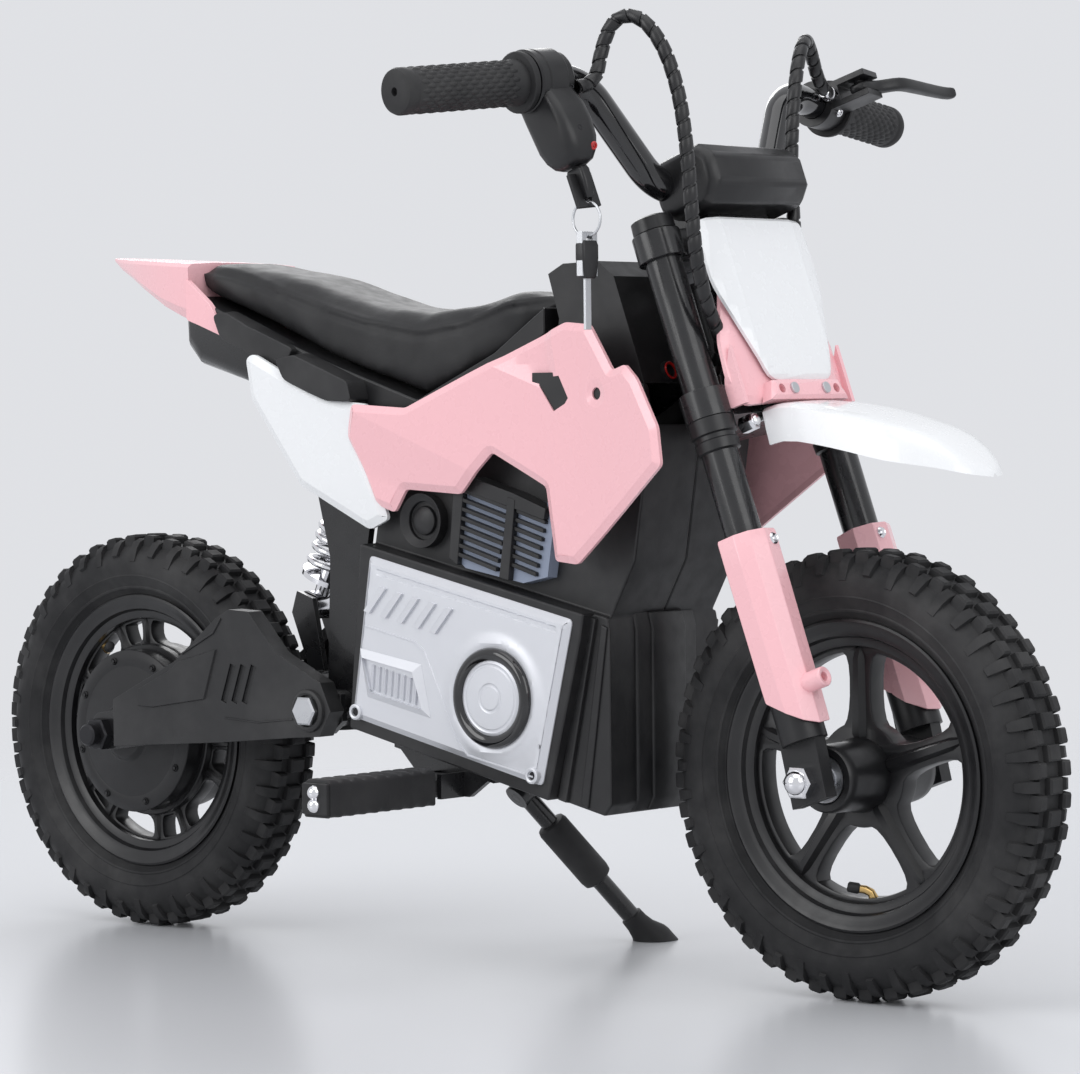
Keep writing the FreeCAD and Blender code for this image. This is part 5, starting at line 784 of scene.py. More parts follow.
def blown_up(mesh):
    """Cloth under pressure for some frames, held where the cushion rests on its base."""
    thing = in_scene("cushion_cloth", mesh)
    held = thing.vertex_groups.new(name="held")
    before = [vertex.co.copy() for vertex in mesh.vertices]
    for vertex in mesh.vertices:
        if vertex.co.z / MM < along_seat(SEAT_LOW, vertex.co.x / MM) + HELD_UP_TO:
            held.add([vertex.index], 1.0, "REPLACE")
    cloth = thing.modifiers.new("cloth", "CLOTH")
    cloth.settings.use_pressure = True
    cloth.settings.uniform_pressure_force = PRESSURE
    cloth.settings.vertex_group_mass = "held"
    cloth.settings.effector_weights.gravity = 0
    cloth.point_cache.frame_start = 1
    cloth.point_cache.frame_end = CLOTH_FRAMES
    for frame_number in range(1, CLOTH_FRAMES + 1):
        scene.frame_set(frame_number)
    blown = result_of(thing)
    scene.frame_set(1)
    for vertex, start in zip(blown.vertices, before):
        step = vertex.co - start
        if step.length > SWELL_LIMIT:
            vertex.co = start + step.normalized() * SWELL_LIMIT
    return blown


def add_seam(mesh):
    """Raised seam with a crease under it, where the side panels meet the top."""
    shifts = []
    for vertex in mesh.vertices:
        x = vertex.co.x / MM
        low = along_seat(SEAT_LOW, x)
        seam = low + (along_seat(SEAT_TOP, x) - low) * SEAM_SHARE
        above = vertex.co.z / MM - seam
        lift = SEAM_LIFT * math.exp(-(above / SEAM_WIDTH) ** 2)
        lift -= CREASE_DEPTH * math.exp(-((above + CREASE_BELOW) / CREASE_WIDTH) ** 2)
        shifts.append(lift * MM if abs(vertex.co.y) > SEAM_FROM else 0.0)
    normals = [vertex.normal.copy() for vertex in mesh.vertices]
    for vertex, shift, normal in zip(mesh.vertices, shifts, normals):
        vertex.co += normal * shift


cushion_mesh = blown_up(cushion_mesh)
cushion = in_scene("cushion_smooth", cushion_mesh)
add_relaxing(cushion, 20)
cushion_levels = cushion.modifiers.new("smoothing", "SUBSURF")
cushion_levels.levels = 1
cushion_levels.render_levels = 1
cushion_mesh = result_of(cushion)
add_seam(cushion_mesh)
seat = piece("seat_saddle", cushion_mesh, "vinyl", "frame", ["seat_cushion"], sharp=80)
print("seat points", len(cushion_mesh.vertices))

# %% [markdown]
# Handlebar pad and grips.  The pad is a foam block in a moulded skin with eight flat sides.  The rubber
# grips are turned, then covered with rows of small lens-shaped bumps, every second row set half a pitch
# on.  One bump is modelled and Geometry Nodes repeats it.

# %% Bar pad and grips
PAD_FACETS = [(27.5, 8.5), (38.5, 0.5), (73.5, 0.5), (84.5, 12.5), (84.5, 32.5), (74.0, 44.5), (38.0, 44.5),
              (27.5, 35.0)]
PAD_MIDDLE, PAD_LEVEL = (56, 22.5), 399
PAD_RINGS = [(-55.5, 0.72), (-54.0, 0.86), (-48.0, 1.0), (0.0, 1.0), (48.0, 1.0), (54.0, 0.86),
             (55.5, 0.72)]


def bar_pad_mesh():
    """Eight-sided block across the bike with drawn-in ends."""
    ahead, up = PAD_MIDDLE
    rings = []
    for y, shrink in PAD_RINGS:
        rings.append([(ahead + (x - ahead) * shrink, y, PAD_LEVEL + up + (z - up) * shrink)
                      for x, z in PAD_FACETS])
    return to_mesh(skin(rings), STEERING)


class BarEnd:
    """Axes of one end of the handlebar; side is -1 on the right and 1 on the left."""

    def __init__(self, side):
        rise = Vector((41.0, side * 115.0, 502.0))
        self.tip = Vector((14.4, side * 272.0, 495.0))
        self.out = (self.tip - rise).normalized()
        self.ahead = (Vector((1, 0, 0)) - self.out * self.out.x).normalized()
        self.up = self.ahead.cross(self.out) * side

    def spot(self, inward, ahead=0.0, up=0.0):
        """Point in the steering frame, in millimetres."""
        return self.tip - self.out * inward + self.ahead * ahead + self.up * up

    def axis_in(self):
        """Placement whose Z axis runs inward from the bar's tip, in the bike's frame."""
        turn = Matrix((self.ahead, -self.out.cross(self.ahead), -self.out)).transposed().to_4x4()
        turn.translation = self.tip * MM
        return STEERING @ turn


RIGHT_END, LEFT_END = BarEnd(-1), BarEnd(1)
GRIP_STEPS, GRIP_CORE, FLANGE = 40, 15.2, 5
RIGHT_GRIP, LEFT_GRIP = 107, 92
BUMPS_AROUND, BUMP_STEP, BUMPS_FROM, PLAIN_ENDS = 15, 4.6, 11.5, 24


def lens_bump(radius, long_half, wide_half, lift):
    """Small lens that stands on a round grip, its length along the grip."""
    rings = []
    for share, grow in ((-0.6, 1.0), (0.55, 0.72), (1.0, 0.28)):
        rings.append([(radius + lift * share, wide_half * v, long_half * u)
                      for u, v in ring_outline((0, 0), grow, 8)])
    return to_mesh(skin(rings))


def bump_rows(length):
    """Rows of bumps that fit on a grip."""
    return int((length - PLAIN_ENDS) / BUMP_STEP)


def grip_mesh(end, length):
    """Turned grip with a rounded outer end, a flange and rows of bumps."""
    flange = length - FLANGE
    profile = [(2.6, -1.0), (3.0, -4.4), (12.6, -4.6), (14.9, -3.4), (15.9, -1.0), (15.9, 4.5),
               (GRIP_CORE, 5.4), (GRIP_CORE, 7.0), (GRIP_CORE, length - 12), (15.9, length - 10.5),
               (16.0, flange - 0.5), (20.2, flange), (21.0, flange + 1.0), (21.0, length - 0.8),
               (20.2, length - 0.1), (11.2, length - 0.1), (11.2, 2.0)]
    body = to_mesh(turned(profile, GRIP_STEPS))
    bumps = repeated(round_tree, lens_bump(GRIP_CORE, 4.3, 2.0, 0.75), "rubber", around=BUMPS_AROUND,
                     rings=bump_rows(length), ring_step=BUMP_STEP * MM, stagger=0.5)
    bumps.transform(Matrix.Translation((0, 0, BUMPS_FROM * MM)))
    return moved(joined([body, bumps]), end.axis_in())


pad = piece("bar_pad_skin", bar_pad_mesh(), "satin", "steering", ["bar_pad"], bevel=0.0035)
piece("right_ribbed_grip", grip_mesh(RIGHT_END, RIGHT_GRIP), "rubber", "throttle",
      ["throttle_grip"])
piece("left_ribbed_grip", grip_mesh(LEFT_END, LEFT_GRIP), "rubber", "steering", ["left_grip"])
print("grip bumps", [BUMPS_AROUND * bump_rows(length) for length in (RIGHT_GRIP, LEFT_GRIP)])

# %% [markdown]
# Cables.  Both cables wear a spiral wrap: a flat plastic strip wound round the bundle with a small gap at
# each turn.  The route is a spline whose control points are those of the CAD tube.  The wrap is a skewed
# tube whose long edges are the edges of the strip, so the gap between two turns is a true groove.

# %% Spiral-wrapped cables
THROTTLE_ROUTE = [RIGHT_END.spot(139.6, 15, -12), RIGHT_END.spot(157.6, 15, -12), (62, -110, 514),
                  (77, -106, 532), (96, -102, 526), (105, -98, 500), (104, -95, 466), (95, -92, 430),
                  (82, -88, 394), (70, -84, 360), (60, -74, 332), (52, -60, 318), (44, -47, 304),
                  (26, -46, 292), (26, -46, 276)]
BRAKE_ROUTE = [LEFT_END.spot(114.6, 17), LEFT_END.spot(132.6, 17), (78, 112, 528), (88, 90, 522),
               (87, 75, 502), (80, 66, 474), (66, 63, 436), (53, 62, 392), (50, 50, 340), (26, 46, 292),
               (26, 46, 276)]
WRAP_PITCH, WRAP_STEPS, WRAP_WELD = 11.0, 16, 0.00001
WRAP_SECTION = [(0.0, 3.9), (0.03, 4.8), (0.08, 5.0), (0.78, 5.0), (0.83, 4.8), (0.86, 3.9)]


def route_points(route):
    """Points of a spline whose control points are the route, read from a curve without bevel."""
    curve = bpy.data.curves.new("route", "CURVE")
    curve.dimensions = "3D"
    spline = curve.splines.new("NURBS")
    spline.points.add(len(route) - 1)
    for point, place in zip(spline.points, route):
        point.co = (*(STEERING @ (Vector(place) * MM)), 1.0)
    spline.order_u = 3
    spline.use_endpoint_u = True
    spline.resolution_u = 12
    line = result_of(in_scene("route", curve))
    return [vertex.co.copy() for vertex in line.vertices]


def route_frames(points):
    """Twist-free side directions and ways along a line of points."""
    side = (points[1] - points[0]).orthogonal().normalized()
    sides = []
    ways = []
    for place in range(len(points)):
        way = (points[min(place + 1, len(points) - 1)] - points[max(place - 1, 0)]).normalized()
        side = (side - way * side.dot(way)).normalized()
        sides.append(side.copy())
        ways.append(way)
    return sides, ways


def wrap_mesh(route):
    """Helical strip over a core, each turn a raised band with a groove beside it."""
    places = route_points(route)
    sides, ways = route_frames(places)
    lengths = [0.0]
    for first, last in zip(places, places[1:]):
        lengths.append(lengths[-1] + (last - first).length)
    total = lengths[-1]
    form = bmesh.new()
    rows = []
    for turn in range(-1, int(total / (WRAP_PITCH * MM)) + 1):
        for share, radius in WRAP_SECTION:
            ring = []
            for step in range(WRAP_STEPS):
                along = min(max((turn + share + step / WRAP_STEPS) * WRAP_PITCH * MM, 0.0), total)
                high = next((k for k, reached in enumerate(lengths) if reached >= along and k),
                            len(lengths) - 1)
                part = (along - lengths[high - 1]) / (lengths[high] - lengths[high - 1])
                centre = places[high - 1].lerp(places[high], part)
                side = sides[high - 1].lerp(sides[high], part).normalized()
                way = ways[high - 1].lerp(ways[high], part).normalized()
                angle = math.tau * step / WRAP_STEPS
                spoke = side * math.cos(angle) + way.cross(side) * math.sin(angle)
                ring.append(form.verts.new(centre + spoke * radius * MM))
            rows.append(ring)
    for low, high in zip(rows, rows[1:]):
        for step in range(WRAP_STEPS - 1):
            form.faces.new((low[step], low[step + 1], high[step + 1], high[step]))
    skip = len(WRAP_SECTION)
    for low in range(len(rows) - skip - 1):
        form.faces.new((rows[low][-1], rows[low + skip][0], rows[low + skip + 1][0], rows[low + 1][-1]))
    bmesh.ops.dissolve_degenerate(form, dist=WRAP_WELD, edges=form.edges)
    bmesh.ops.remove_doubles(form, verts=form.verts, dist=WRAP_WELD)
    bmesh.ops.holes_fill(form, edges=[edge for edge in form.edges if edge.is_boundary], sides=0)
    return to_mesh(form)


for label, route in (("throttle", THROTTLE_ROUTE), ("brake", BRAKE_ROUTE)):
    wrap = wrap_mesh(route)
    piece(label + "_spiral_wrap", wrap, "satin", "steering", [label + "_cable"])
    print(label, "wrap faces", len(wrap.polygons))

# %% [markdown]
# Rear spring.  A coil spring is round wire wound on a mandrel, its end turns laid flat.  The wire is swept
# along a helix about the shock's axis, and the coil rides on the shock's upper end.

# %% Coil spring
SHOCK_TOP = Vector((-119, 0, 366))
SHOCK_AXIS = Vector((-171 + 119, 0, 258 - 366)).normalized()


def coil_mesh(radius, wire_radius, start, end, turns):
    """Round wire wound about the shock's axis, with closed end turns."""
    across = Vector((0, 1, 0))
    front = SHOCK_AXIS.cross(across)
    steps = int(turns * 28)
    rings = []
    for step in range(steps + 1):
        share = step / steps
        lay = share + 0.035 * math.sin(math.tau * share)
        angle = math.tau * turns * share
        spoke = across * math.cos(angle) + front * math.sin(angle)
        centre = SHOCK_TOP + SHOCK_AXIS * (start + (end - start) * lay) + spoke * radius
        rings.append([centre + spoke * u + SHOCK_AXIS * v
                      for u, v in ring_outline((0, 0), wire_radius, 10)])
    return to_mesh(skin(rings))


coil_form = coil_mesh(radius=17.0, wire_radius=2.7, start=29.5, end=90.4, turns=6)
coil = piece("chrome_coil", coil_form, "chrome", "shock_top", ["shock_spring"])
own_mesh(coil)
print("coil faces", len(coil.data.polygons))

# %% [markdown]
# Front rim.  The rim is one moulding: a stepped ring, a hub and a web with five rounded windows, and each
# spoke has a raised ridge.  The web is a flat curve with holes, filled and given depth, which is the
# quickest way to a plate with clean round windows.  Ring and hub are turned.

# %% Front rim
RING_HALF = [(88.0, 9.0), (88.6, 12.2), (91.0, 13.6), (94.2, 14.2), (96.0, 17.2), (99.6, 17.8),
             (102.6, 20.2), (105.4, 21.0), (107.0, 20.2), (107.0, 18.0), (101.8, 17.4), (101.0, 14.0),
             (95.2, 8.0)]
HUB_HALF = [(26.0, 8.0), (25.6, 14.0), (24.0, 20.0), (23.6, 42.0), (22.8, 48.5), (21.6, 50.0), (17.6, 50.0),
            (16.2, 48.6), (16.2, 39.0), (12.0, 38.6)]
FRONT_SPOKES = 5
WEB_RADIUS = 89.5
FIRST_SPOKE = math.radians(90)


def there_and_back(half):
    """Closed section from its half: (radius, across) pairs mirrored."""
    return [(radius, -across) for radius, across in half] + half[::-1]


def cut_corners(points, rounds=2):
    """Round the corners of a closed outline by cutting them again and again."""
    for _ in range(rounds):
        points = [first.lerp(last, share) for first, last in zip(points, points[1:] + points[:1])
                  for share in (0.25, 0.75)]
    return points


def window_outline(low, high, spoke_half, middle, gap):
    """Rounded window between two spokes, as points on a circle's sector."""
    corners = []
    for radius, steps in ((high, 7), (low, 3)):
        reach = gap - math.asin(spoke_half / radius)
        for step in range(steps):
            angle = middle + reach * (1 - 2 * step / (steps - 1)) * (1 if radius == high else -1)
            corners.append(Vector((math.cos(angle), math.sin(angle))) * radius)
    return cut_corners(corners)


def plate_mesh(outlines, half, edge):
    """Filled flat curve with depth and a small rounded edge, lying in the local XY plane."""
    curve = bpy.data.curves.new("plate", "CURVE")
    curve.dimensions = "2D"
    curve.fill_mode = "BOTH"
    curve.extrude = (half - edge) * MM
    curve.bevel_depth = edge * MM
    curve.bevel_resolution = 1
    curve.offset = -edge * MM
    for outline in outlines:
        spline = curve.splines.new("POLY")
        spline.points.add(len(outline) - 1)
        spline.use_cyclic_u = True
        for point, spot in zip(spline.points, outline):
            point.co = (spot[0] * MM, spot[1] * MM, 0, 1)
    return to_mesh(opened(result_of(in_scene("plate", curve))))


def ridge(start, end, low, high, half):
    """Roof-shaped rib along the local X axis, standing up along local Z."""
    rings = []
    for along, lift, wide in ((start, 0.25, 0.6), (start + 6, 1.0, 1.0), (end - 8, 0.9, 0.8),
                              (end, 0.2, 0.5)):
        top = low + (high - low) * lift
        foot = half * wide
        rings.append([(along, -foot, low), (along, -foot * 0.45, top), (along, foot * 0.45, top),
                      (along, foot, low)])
    return to_mesh(skin(rings))


def front_rim_mesh():
    """Web with five windows, ridges on both faces, ring and hub."""
    gap = math.pi / FRONT_SPOKES
    outlines = [ring_outline((0, 0), WEB_RADIUS, 90), ring_outline((0, 0), 14, 40)]
    for place in range(FRONT_SPOKES):
        outlines.append(window_outline(37, 84.5, 9.0, FIRST_SPOKE + gap * (2 * place + 1), gap))
    meshes = [plate_mesh(outlines, 8.5, 1.6)]
    rib = ridge(22, 88, 8.0, 13.5, 6.0)
    for mesh in (rib, mirrored(rib, ACROSS_WHEEL)):
        meshes.append(repeated(round_tree, mesh, "satin", around=FRONT_SPOKES, rings=1,
                               start_turn=FIRST_SPOKE))
    meshes.append(to_mesh(turned(there_and_back(RING_HALF), 96, wrap=True)))
    meshes.append(to_mesh(turned(there_and_back(HUB_HALF), 48, wrap=True)))
    return moved(joined(meshes), FRONT_AXLE)


piece("front_spoked_rim", front_rim_mesh(), "satin", "front_wheel", ["front_rim"])
print("front windows", FRONT_SPOKES)

# %% [markdown]
# A bent brass valve with a black cap sits in the lowest window.  The rear wheel gets the same valve later.

# %% Valve
def tube_mesh(points, radii, sides=12):
    """Round tube through points in millimetres, with a radius at each."""
    spots = [Vector(point) for point in points]
    rings = []
    for spot, cross, way, radius in zip(spots, *route_frames(spots), radii):
        other = way.cross(cross)
        rings.append([spot + cross * u + other * v for u, v in ring_outline((0, 0), radius, sides)])
    return to_mesh(skin(rings))


def add_valve(label, axle, turn, body):
    """Brass stem bent sideways out of the rim, with a black cap."""
    place = axle @ Matrix.Rotation(turn, 4, "Z")
    stem = tube_mesh([(89.5, 7, 3), (84, 7, 3.5), (80.5, 6, 5), (78.6, 3, 7.5), (77.8, -1, 10)],
                     (3.4, 3.4, 3.0, 3.0, 2.8))
    piece(label + "_valve_stem", moved(stem, place), "brass", body)
    cap = tube_mesh([(77.9, -0.2, 9.5), (77.7, -1.2, 10.2), (76.6, -6.6, 13.4), (76.4, -7.4, 13.9)],
                    (3.0, 3.9, 3.7, 2.4))
    piece(label + "_valve_cap", moved(cap, place), "rubber", body)


add_valve("front", FRONT_AXLE, math.radians(-90), "front_wheel")
print("front valve fitted")

# %% [markdown]
# Fork guards.  Each guard is a thin moulded shell clipped round the front and outer side of a fork leg,
# with straight facet edges from top to bottom, a slanted lower end, a screw at its top and a short round
# boss that points forward.

# %% Fork guards
GUARD_SECTION = [(-13, -13.5), (7, -19.6), (18.5, -11), (20.2, 3), (15, 14.5), (5, 19.6), (-9, 19.6),
                 (-17.5, 8)]
GUARD_LEVELS = [(172, 0.965, 0.0), (170, 1.0, 0.0), (150, 1.0, 0.0), (96, 0.98, 0.0), (58, 0.97, 6.0),
                (40, 0.96, 14.0), (34, 0.95, 17.0)]
GUARD_INSIDE = 0.92
GUARD_FRONT, GUARD_DEPTH, SLANT_GAIN = 20.2, 36, 1.6
LEG_AHEAD, LEG_OUT = 30, 67


def guard_mesh(side):
    """Faceted shell round one fork leg, open at both ends so that the leg can slide in it."""
    rings = []
    inside = []
    for level, size, slant in GUARD_LEVELS:
        heights = [level + slant * (GUARD_FRONT - ahead) / GUARD_DEPTH * SLANT_GAIN
                   for ahead, _ in GUARD_SECTION]
        for share, shell in ((size, rings), (size * GUARD_INSIDE, inside)):
            shell.append([(LEG_AHEAD + ahead * share, side * (LEG_OUT + outward * share), height)
                          for (ahead, outward), height in zip(GUARD_SECTION, heights)])
    return to_mesh(skin(rings + inside[::-1], wrap=True), STEERING)


def guard_boss(side):
    """Short round boss on the lower front of a guard, with a hole."""
    form = turned([(0, 12), (3.0, 12), (3.2, 20.5), (6.0, 21.5), (7.0, 20.5), (7.0, 2.3), (0, 2.3)], 24)
    turn = Matrix(((0, 0, 1, 42 * MM), (side, 0, 0, side * 69 * MM), (0, 1, 0, 62 * MM), (0, 0, 0, 1)))
    return to_mesh(form, STEERING @ turn)


guards = joined([guard_mesh(-1), guard_boss(-1), guard_mesh(1), guard_boss(1)])
piece("faceted_fork_guards", guards, "pink", "fork_slider", ["fork_guards"], bevel=0.0016,
      sharp=22)
print("guard faces", len(guards.polygons))

# %% [markdown]
# Dummy engine.  Under the side panel sits a finned plastic cylinder that leans with the battery box.  Its
# fins are black and the slots between them show a slate-blue core.  One slot and one fin are modelled and
# repeated in a row.

# %% Dummy engine
ENGINE_FACE = [(40, 350), (52, 357), (92, 346), (118, 338), (126, 330), (119, 287), (96, 282), (40, 292),
               (30, 300)]
ENGINE_TOP = [(34, 349), (52, 358), (92, 347), (122, 336), (120, 328), (90, 336), (44, 348.5)]
INTAKE = (-4, 326)
SIDE_FINS, CORNER_FINS, FIN_PITCH = 8, 7, 6.2


def slot_strip(low, high, across, deep, tall):
    """Flat strip between two points of the bike's side, standing out sideways."""
    outline = [(low[0], low[1] - tall / 2), (high[0], high[1] - tall / 2), (high[0], high[1] + tall / 2),
               (low[0], low[1] + tall / 2)]
    rings = [[(x, -y, z) for x, z in outline] for y in (across - deep, across)]
    return to_mesh(skin(rings))


def side_plate(outline, inner, outer, inset=0.0):
    """Plate on the bike's right side between two distances from its middle."""
    return to_mesh(raised(outline, inner, outer, inset), ON_RIGHT)


engine_core = side_plate(ENGINE_FACE, 57, 67.5, 1.0)
fins = repeated(row_tree, slot_strip((44, 348), (87, 335.5), 72, 8, 3.0), "black", count=SIDE_FINS,
                step=(-1.9 * MM, 0, -FIN_PITCH * MM))
corner_fins = repeated(row_tree, slot_strip((92, 334.5), (119, 326.5), 71, 8, 3.0), "black",
                       count=CORNER_FINS, step=(-1.5 * MM, 0, -FIN_PITCH * MM))
posts = [side_plate([(34, 349), (44, 352), (37, 294), (29, 299)], 58, 72.5, 0.8),
         side_plate([(86, 345), (93, 343), (86, 284), (77, 286)], 58, 73, 0.8),
         side_plate(ENGINE_TOP, 58, 72.5, 0.8)]
intake = to_mesh(turned([(0, 60), (14, 60), (14, 63), (16.5, 64.5), (20, 66.8), (20, 57), (0, 57)], 40),
                 on_side(*INTAKE))
dome = to_mesh(turned([(0, 65.4), (7, 64.6), (10.5, 62.5), (11, 59), (0, 59)], 32), on_side(*INTAKE))
piece("engine_slots", both(engine_core), "slate", "frame")
engine_parts = joined([fins, corner_fins, *posts, intake, dome])
piece("engine_fins", both(engine_parts), "black", "frame", ["engine_block"],
      bevel=0.0006)
print("fins on each side", SIDE_FINS + CORNER_FINS)

# %% [markdown]
# Throttle housing.  A clamp band grips the bar beside the throttle, and a rounded box with the key switch
# hangs below it.  The box is skinned through rounded rectangles and the band, with its groove, is turned.
# Screws and a small red window follow later.

# %% Throttle housing
BOX_LEVELS = [(4, 110, 137, -15, 15, 5), (-14, 109, 138, -16, 18, 6), (-26, 108, 139.2, -14, 23, 7),
              (-38, 107.8, 139.4, -12.5, 25.4, 8), (-50, 108.2, 139, -11.5, 25.6, 9),
              (-58, 109.6, 137.6, -9, 23.5, 9), (-63.5, 112, 135, -5.5, 20, 8),
              (-66, 116, 131, -1.5, 15.5, 6)]


def rounded_ring(low_a, high_a, low_b, high_b, corner):
    """Rounded rectangle as (a, b) pairs, five points to a corner."""
    points = []
    for mid_a, mid_b, start in ((high_a - corner, high_b - corner, 0),
                                (low_a + corner, high_b - corner, 90),
                                (low_a + corner, low_b + corner, 180),
                                (high_a - corner, low_b + corner, 270)):
        for step in range(5):
            turn = math.radians(start + 22.5 * step)
            points.append((mid_a + corner * math.cos(turn), mid_b + corner * math.sin(turn)))
    return points


def housing_mesh():
    """Clamp band and key box, in the bar end's own directions."""
    rings = []
    for level, low_in, high_in, low_ahead, high_ahead, corner in BOX_LEVELS:
        rings.append([RIGHT_END.spot(inward, ahead, level)
                      for inward, ahead in rounded_ring(low_in, high_in, low_ahead, high_ahead, corner)])
    box = to_mesh(skin(rings), STEERING)
    band = to_mesh(turned([(11.4, 107.8), (20.6, 107.8), (22.0, 109.2), (22.0, 113.5), (21.2, 114.2),
                           (21.2, 115.2), (22.0, 116.0), (22.0, 131.0), (21.4, 131.8), (19.4, 132.2),
                           (19.4, 137.6), (18.0, 139.4), (11.4, 139.4)], 48, wrap=True),
                   RIGHT_END.axis_in())
    return joined([box, band])


piece("throttle_key_box", housing_mesh(), "satin", "steering", ["throttle_housing"],
      sharp=34)
print("key box levels", len(BOX_LEVELS))

# %% [markdown]
# Body panels are thin mouldings with folded facets, rolled edges and openings.  A flat outline is filled,
# cut into a fine grid and along its fold lines, then every point is lifted by a height function.  This
# keeps the outline exact and the folds crisp.

# %% Helper for moulded sheets
CUT_TOLERANCE = 1e-6


def distance_to_outline(spot, outline):
    """Shortest distance from a point to a closed outline."""
    best = 1e9
    for first, last in zip(outline, outline[1:] + outline[:1]):
        edge = last - first
        share = min(max((spot - first).dot(edge) / edge.length_squared, 0.0), 1.0)
        best = min(best, (spot - first - edge * share).length)
    return best


def beyond(spot, first, last):
    """Signed distance of a point from a fold line, positive on its left."""
    edge = (Vector(last) - Vector(first)).normalized()
    away = spot - Vector(first)
    return edge.x * away.y - edge.y * away.x


def grid_cuts(outline, axis, step):
    """Cutting lines at even steps along one axis of an outline, as (spot, normal) pairs."""
    normal = (1 - axis, axis)
    places = [point[axis] for point in outline]
    first, last = int(min(places) / step), int(max(places) / step)
    return [((normal[0] * k * step, normal[1] * k * step), normal) for k in range(first, last + 1)]


def moulded_sheet(outline, holes, folds, height, thick, step, place, border=0.0):
    """Thin moulding over a local XY outline, its top lifted by height(spot, distance to the edge)."""
    form = bmesh.new()
    edges = []
    for ring in [outline] + holes:
        verts = [form.verts.new((u * MM, v * MM, 0)) for u, v in ring]
        edges += [form.edges.new((low, high)) for low, high in zip(verts, verts[1:] + verts[:1])]
    bmesh.ops.triangle_fill(form, edges=edges, use_beauty=True)
    if border:
        bmesh.ops.inset_region(form, faces=form.faces[:], thickness=border * MM, use_boundary=True,
                               use_even_offset=True)
    cuts = grid_cuts(outline, 0, step) + grid_cuts(outline, 1, step)
    cuts += [(first, (first[1] - last[1], last[0] - first[0])) for first, last in folds]
    for spot, normal in cuts:
        bmesh.ops.bisect_plane(form, geom=form.verts[:] + form.edges[:] + form.faces[:], dist=CUT_TOLERANCE,
                               plane_co=(spot[0] * MM, spot[1] * MM, 0), plane_no=(*normal, 0))
    line = [Vector(point) for point in outline]
    low = bmesh.ops.extrude_face_region(form, geom=form.faces[:], use_keep_orig=True)["geom"]
    low_verts = {vert for vert in low if isinstance(vert, bmesh.types.BMVert)}
    for vert in form.verts:
        spot = Vector((vert.co.x, vert.co.y)) / MM
        lift = height(spot, distance_to_outline(spot, line))
        vert.co.z = (lift - (thick if vert in low_verts else 0)) * MM
    return to_mesh(form, place)


print("a grid over 100 mm has", len(grid_cuts([(0, 0), (100, 100)], 0, 6.0)), "cuts")

# %% [markdown]
# Three more small helpers shape the sheets: a smooth curve for how wide the bike is, a rolled edge, and
# outlines with eased corners.

# %% Helpers for curves and edges
def rolled(edge, width, slope):
    """Drop of a rolled edge: it grows over the last stretch before the edge."""
    return max(0.0, width - edge) * slope


def smooth_curve(knots, at):
    """Smooth value through (place, value) knots."""
    slopes = [(high[1] - low[1]) / (high[0] - low[0]) for low, high in zip(knots, knots[1:])]
    tangents = [slopes[0]] + [(low + high) / 2 for low, high in zip(slopes, slopes[1:])] + [slopes[-1]]
    at = min(max(at, knots[0][0]), knots[-1][0])
    for place, (low, high) in enumerate(zip(knots, knots[1:])):
        if at <= high[0]:
            run = high[0] - low[0]
            t = (at - low[0]) / run
            return (low[1] * (1 + 2 * t) * (1 - t) ** 2 + tangents[place] * run * t * (1 - t) ** 2
                    + high[1] * t * t * (3 - 2 * t) + tangents[place + 1] * run * t * t * (t - 1))


def eased(outline, reach):
    """Outline whose corners are rounded over a short reach, as plain pairs."""
    points = []
    for place, corner in enumerate(outline):
        spot = Vector(corner)
        back = (Vector(outline[place - 1]) - spot).normalized() * reach
        ahead = (Vector(outline[(place + 1) % len(outline)]) - spot).normalized() * reach
        points += [tuple(spot + back * (1 - t) ** 2 + ahead * t * t) for t in (0.0, 0.33, 0.67, 1.0)]
    return points


print("a rolled edge drops by", rolled(0, 5.5, 0.55), "mm")

# %% [markdown]
# Side panels.  Each has a low facet at its rear, a hump on top, an open window and a screw hole.  Black
# plates behind both openings stop the view through.

# %% Side panels
PANEL_OUTLINE = [(-60, 411.1), (-69, 386.6), (-43.1, 338.1), (-22.9, 332), (-11.1, 349), (46.8, 346),
                 (81.1, 376.1), (132, 352.1), (140.6, 300), (162, 298), (251, 368), (247.2, 394),
                 (226, 426.9), (213.9, 436.9), (200.1, 433), (176.1, 465), (152.1, 467), (58, 432),
                 (-5, 408)]
PANEL_WIDTH = [(-75.4, 80), (59, 86), (161.4, 89.5), (257.4, 108)]
LOW_FOLD = ((-62, 407.2), (58, 364.6))
HIGH_FOLD = ((84, 437), (125, 423))
HUMP_FOLD = ((146, 428), (141, 452))
PANEL_WINDOW = [(128.3, 423.6), (136.6, 429), (147.8, 429.7), (156.8, 414), (153.7, 410.2), (142.4, 404.8)]
PANEL_HOLE = (184.8, 417)
PANEL_BORDER, REAR_BORDER = 5.5, 6.0
SHEET_THICK, SHEET_STEP = 3.0, 6.0


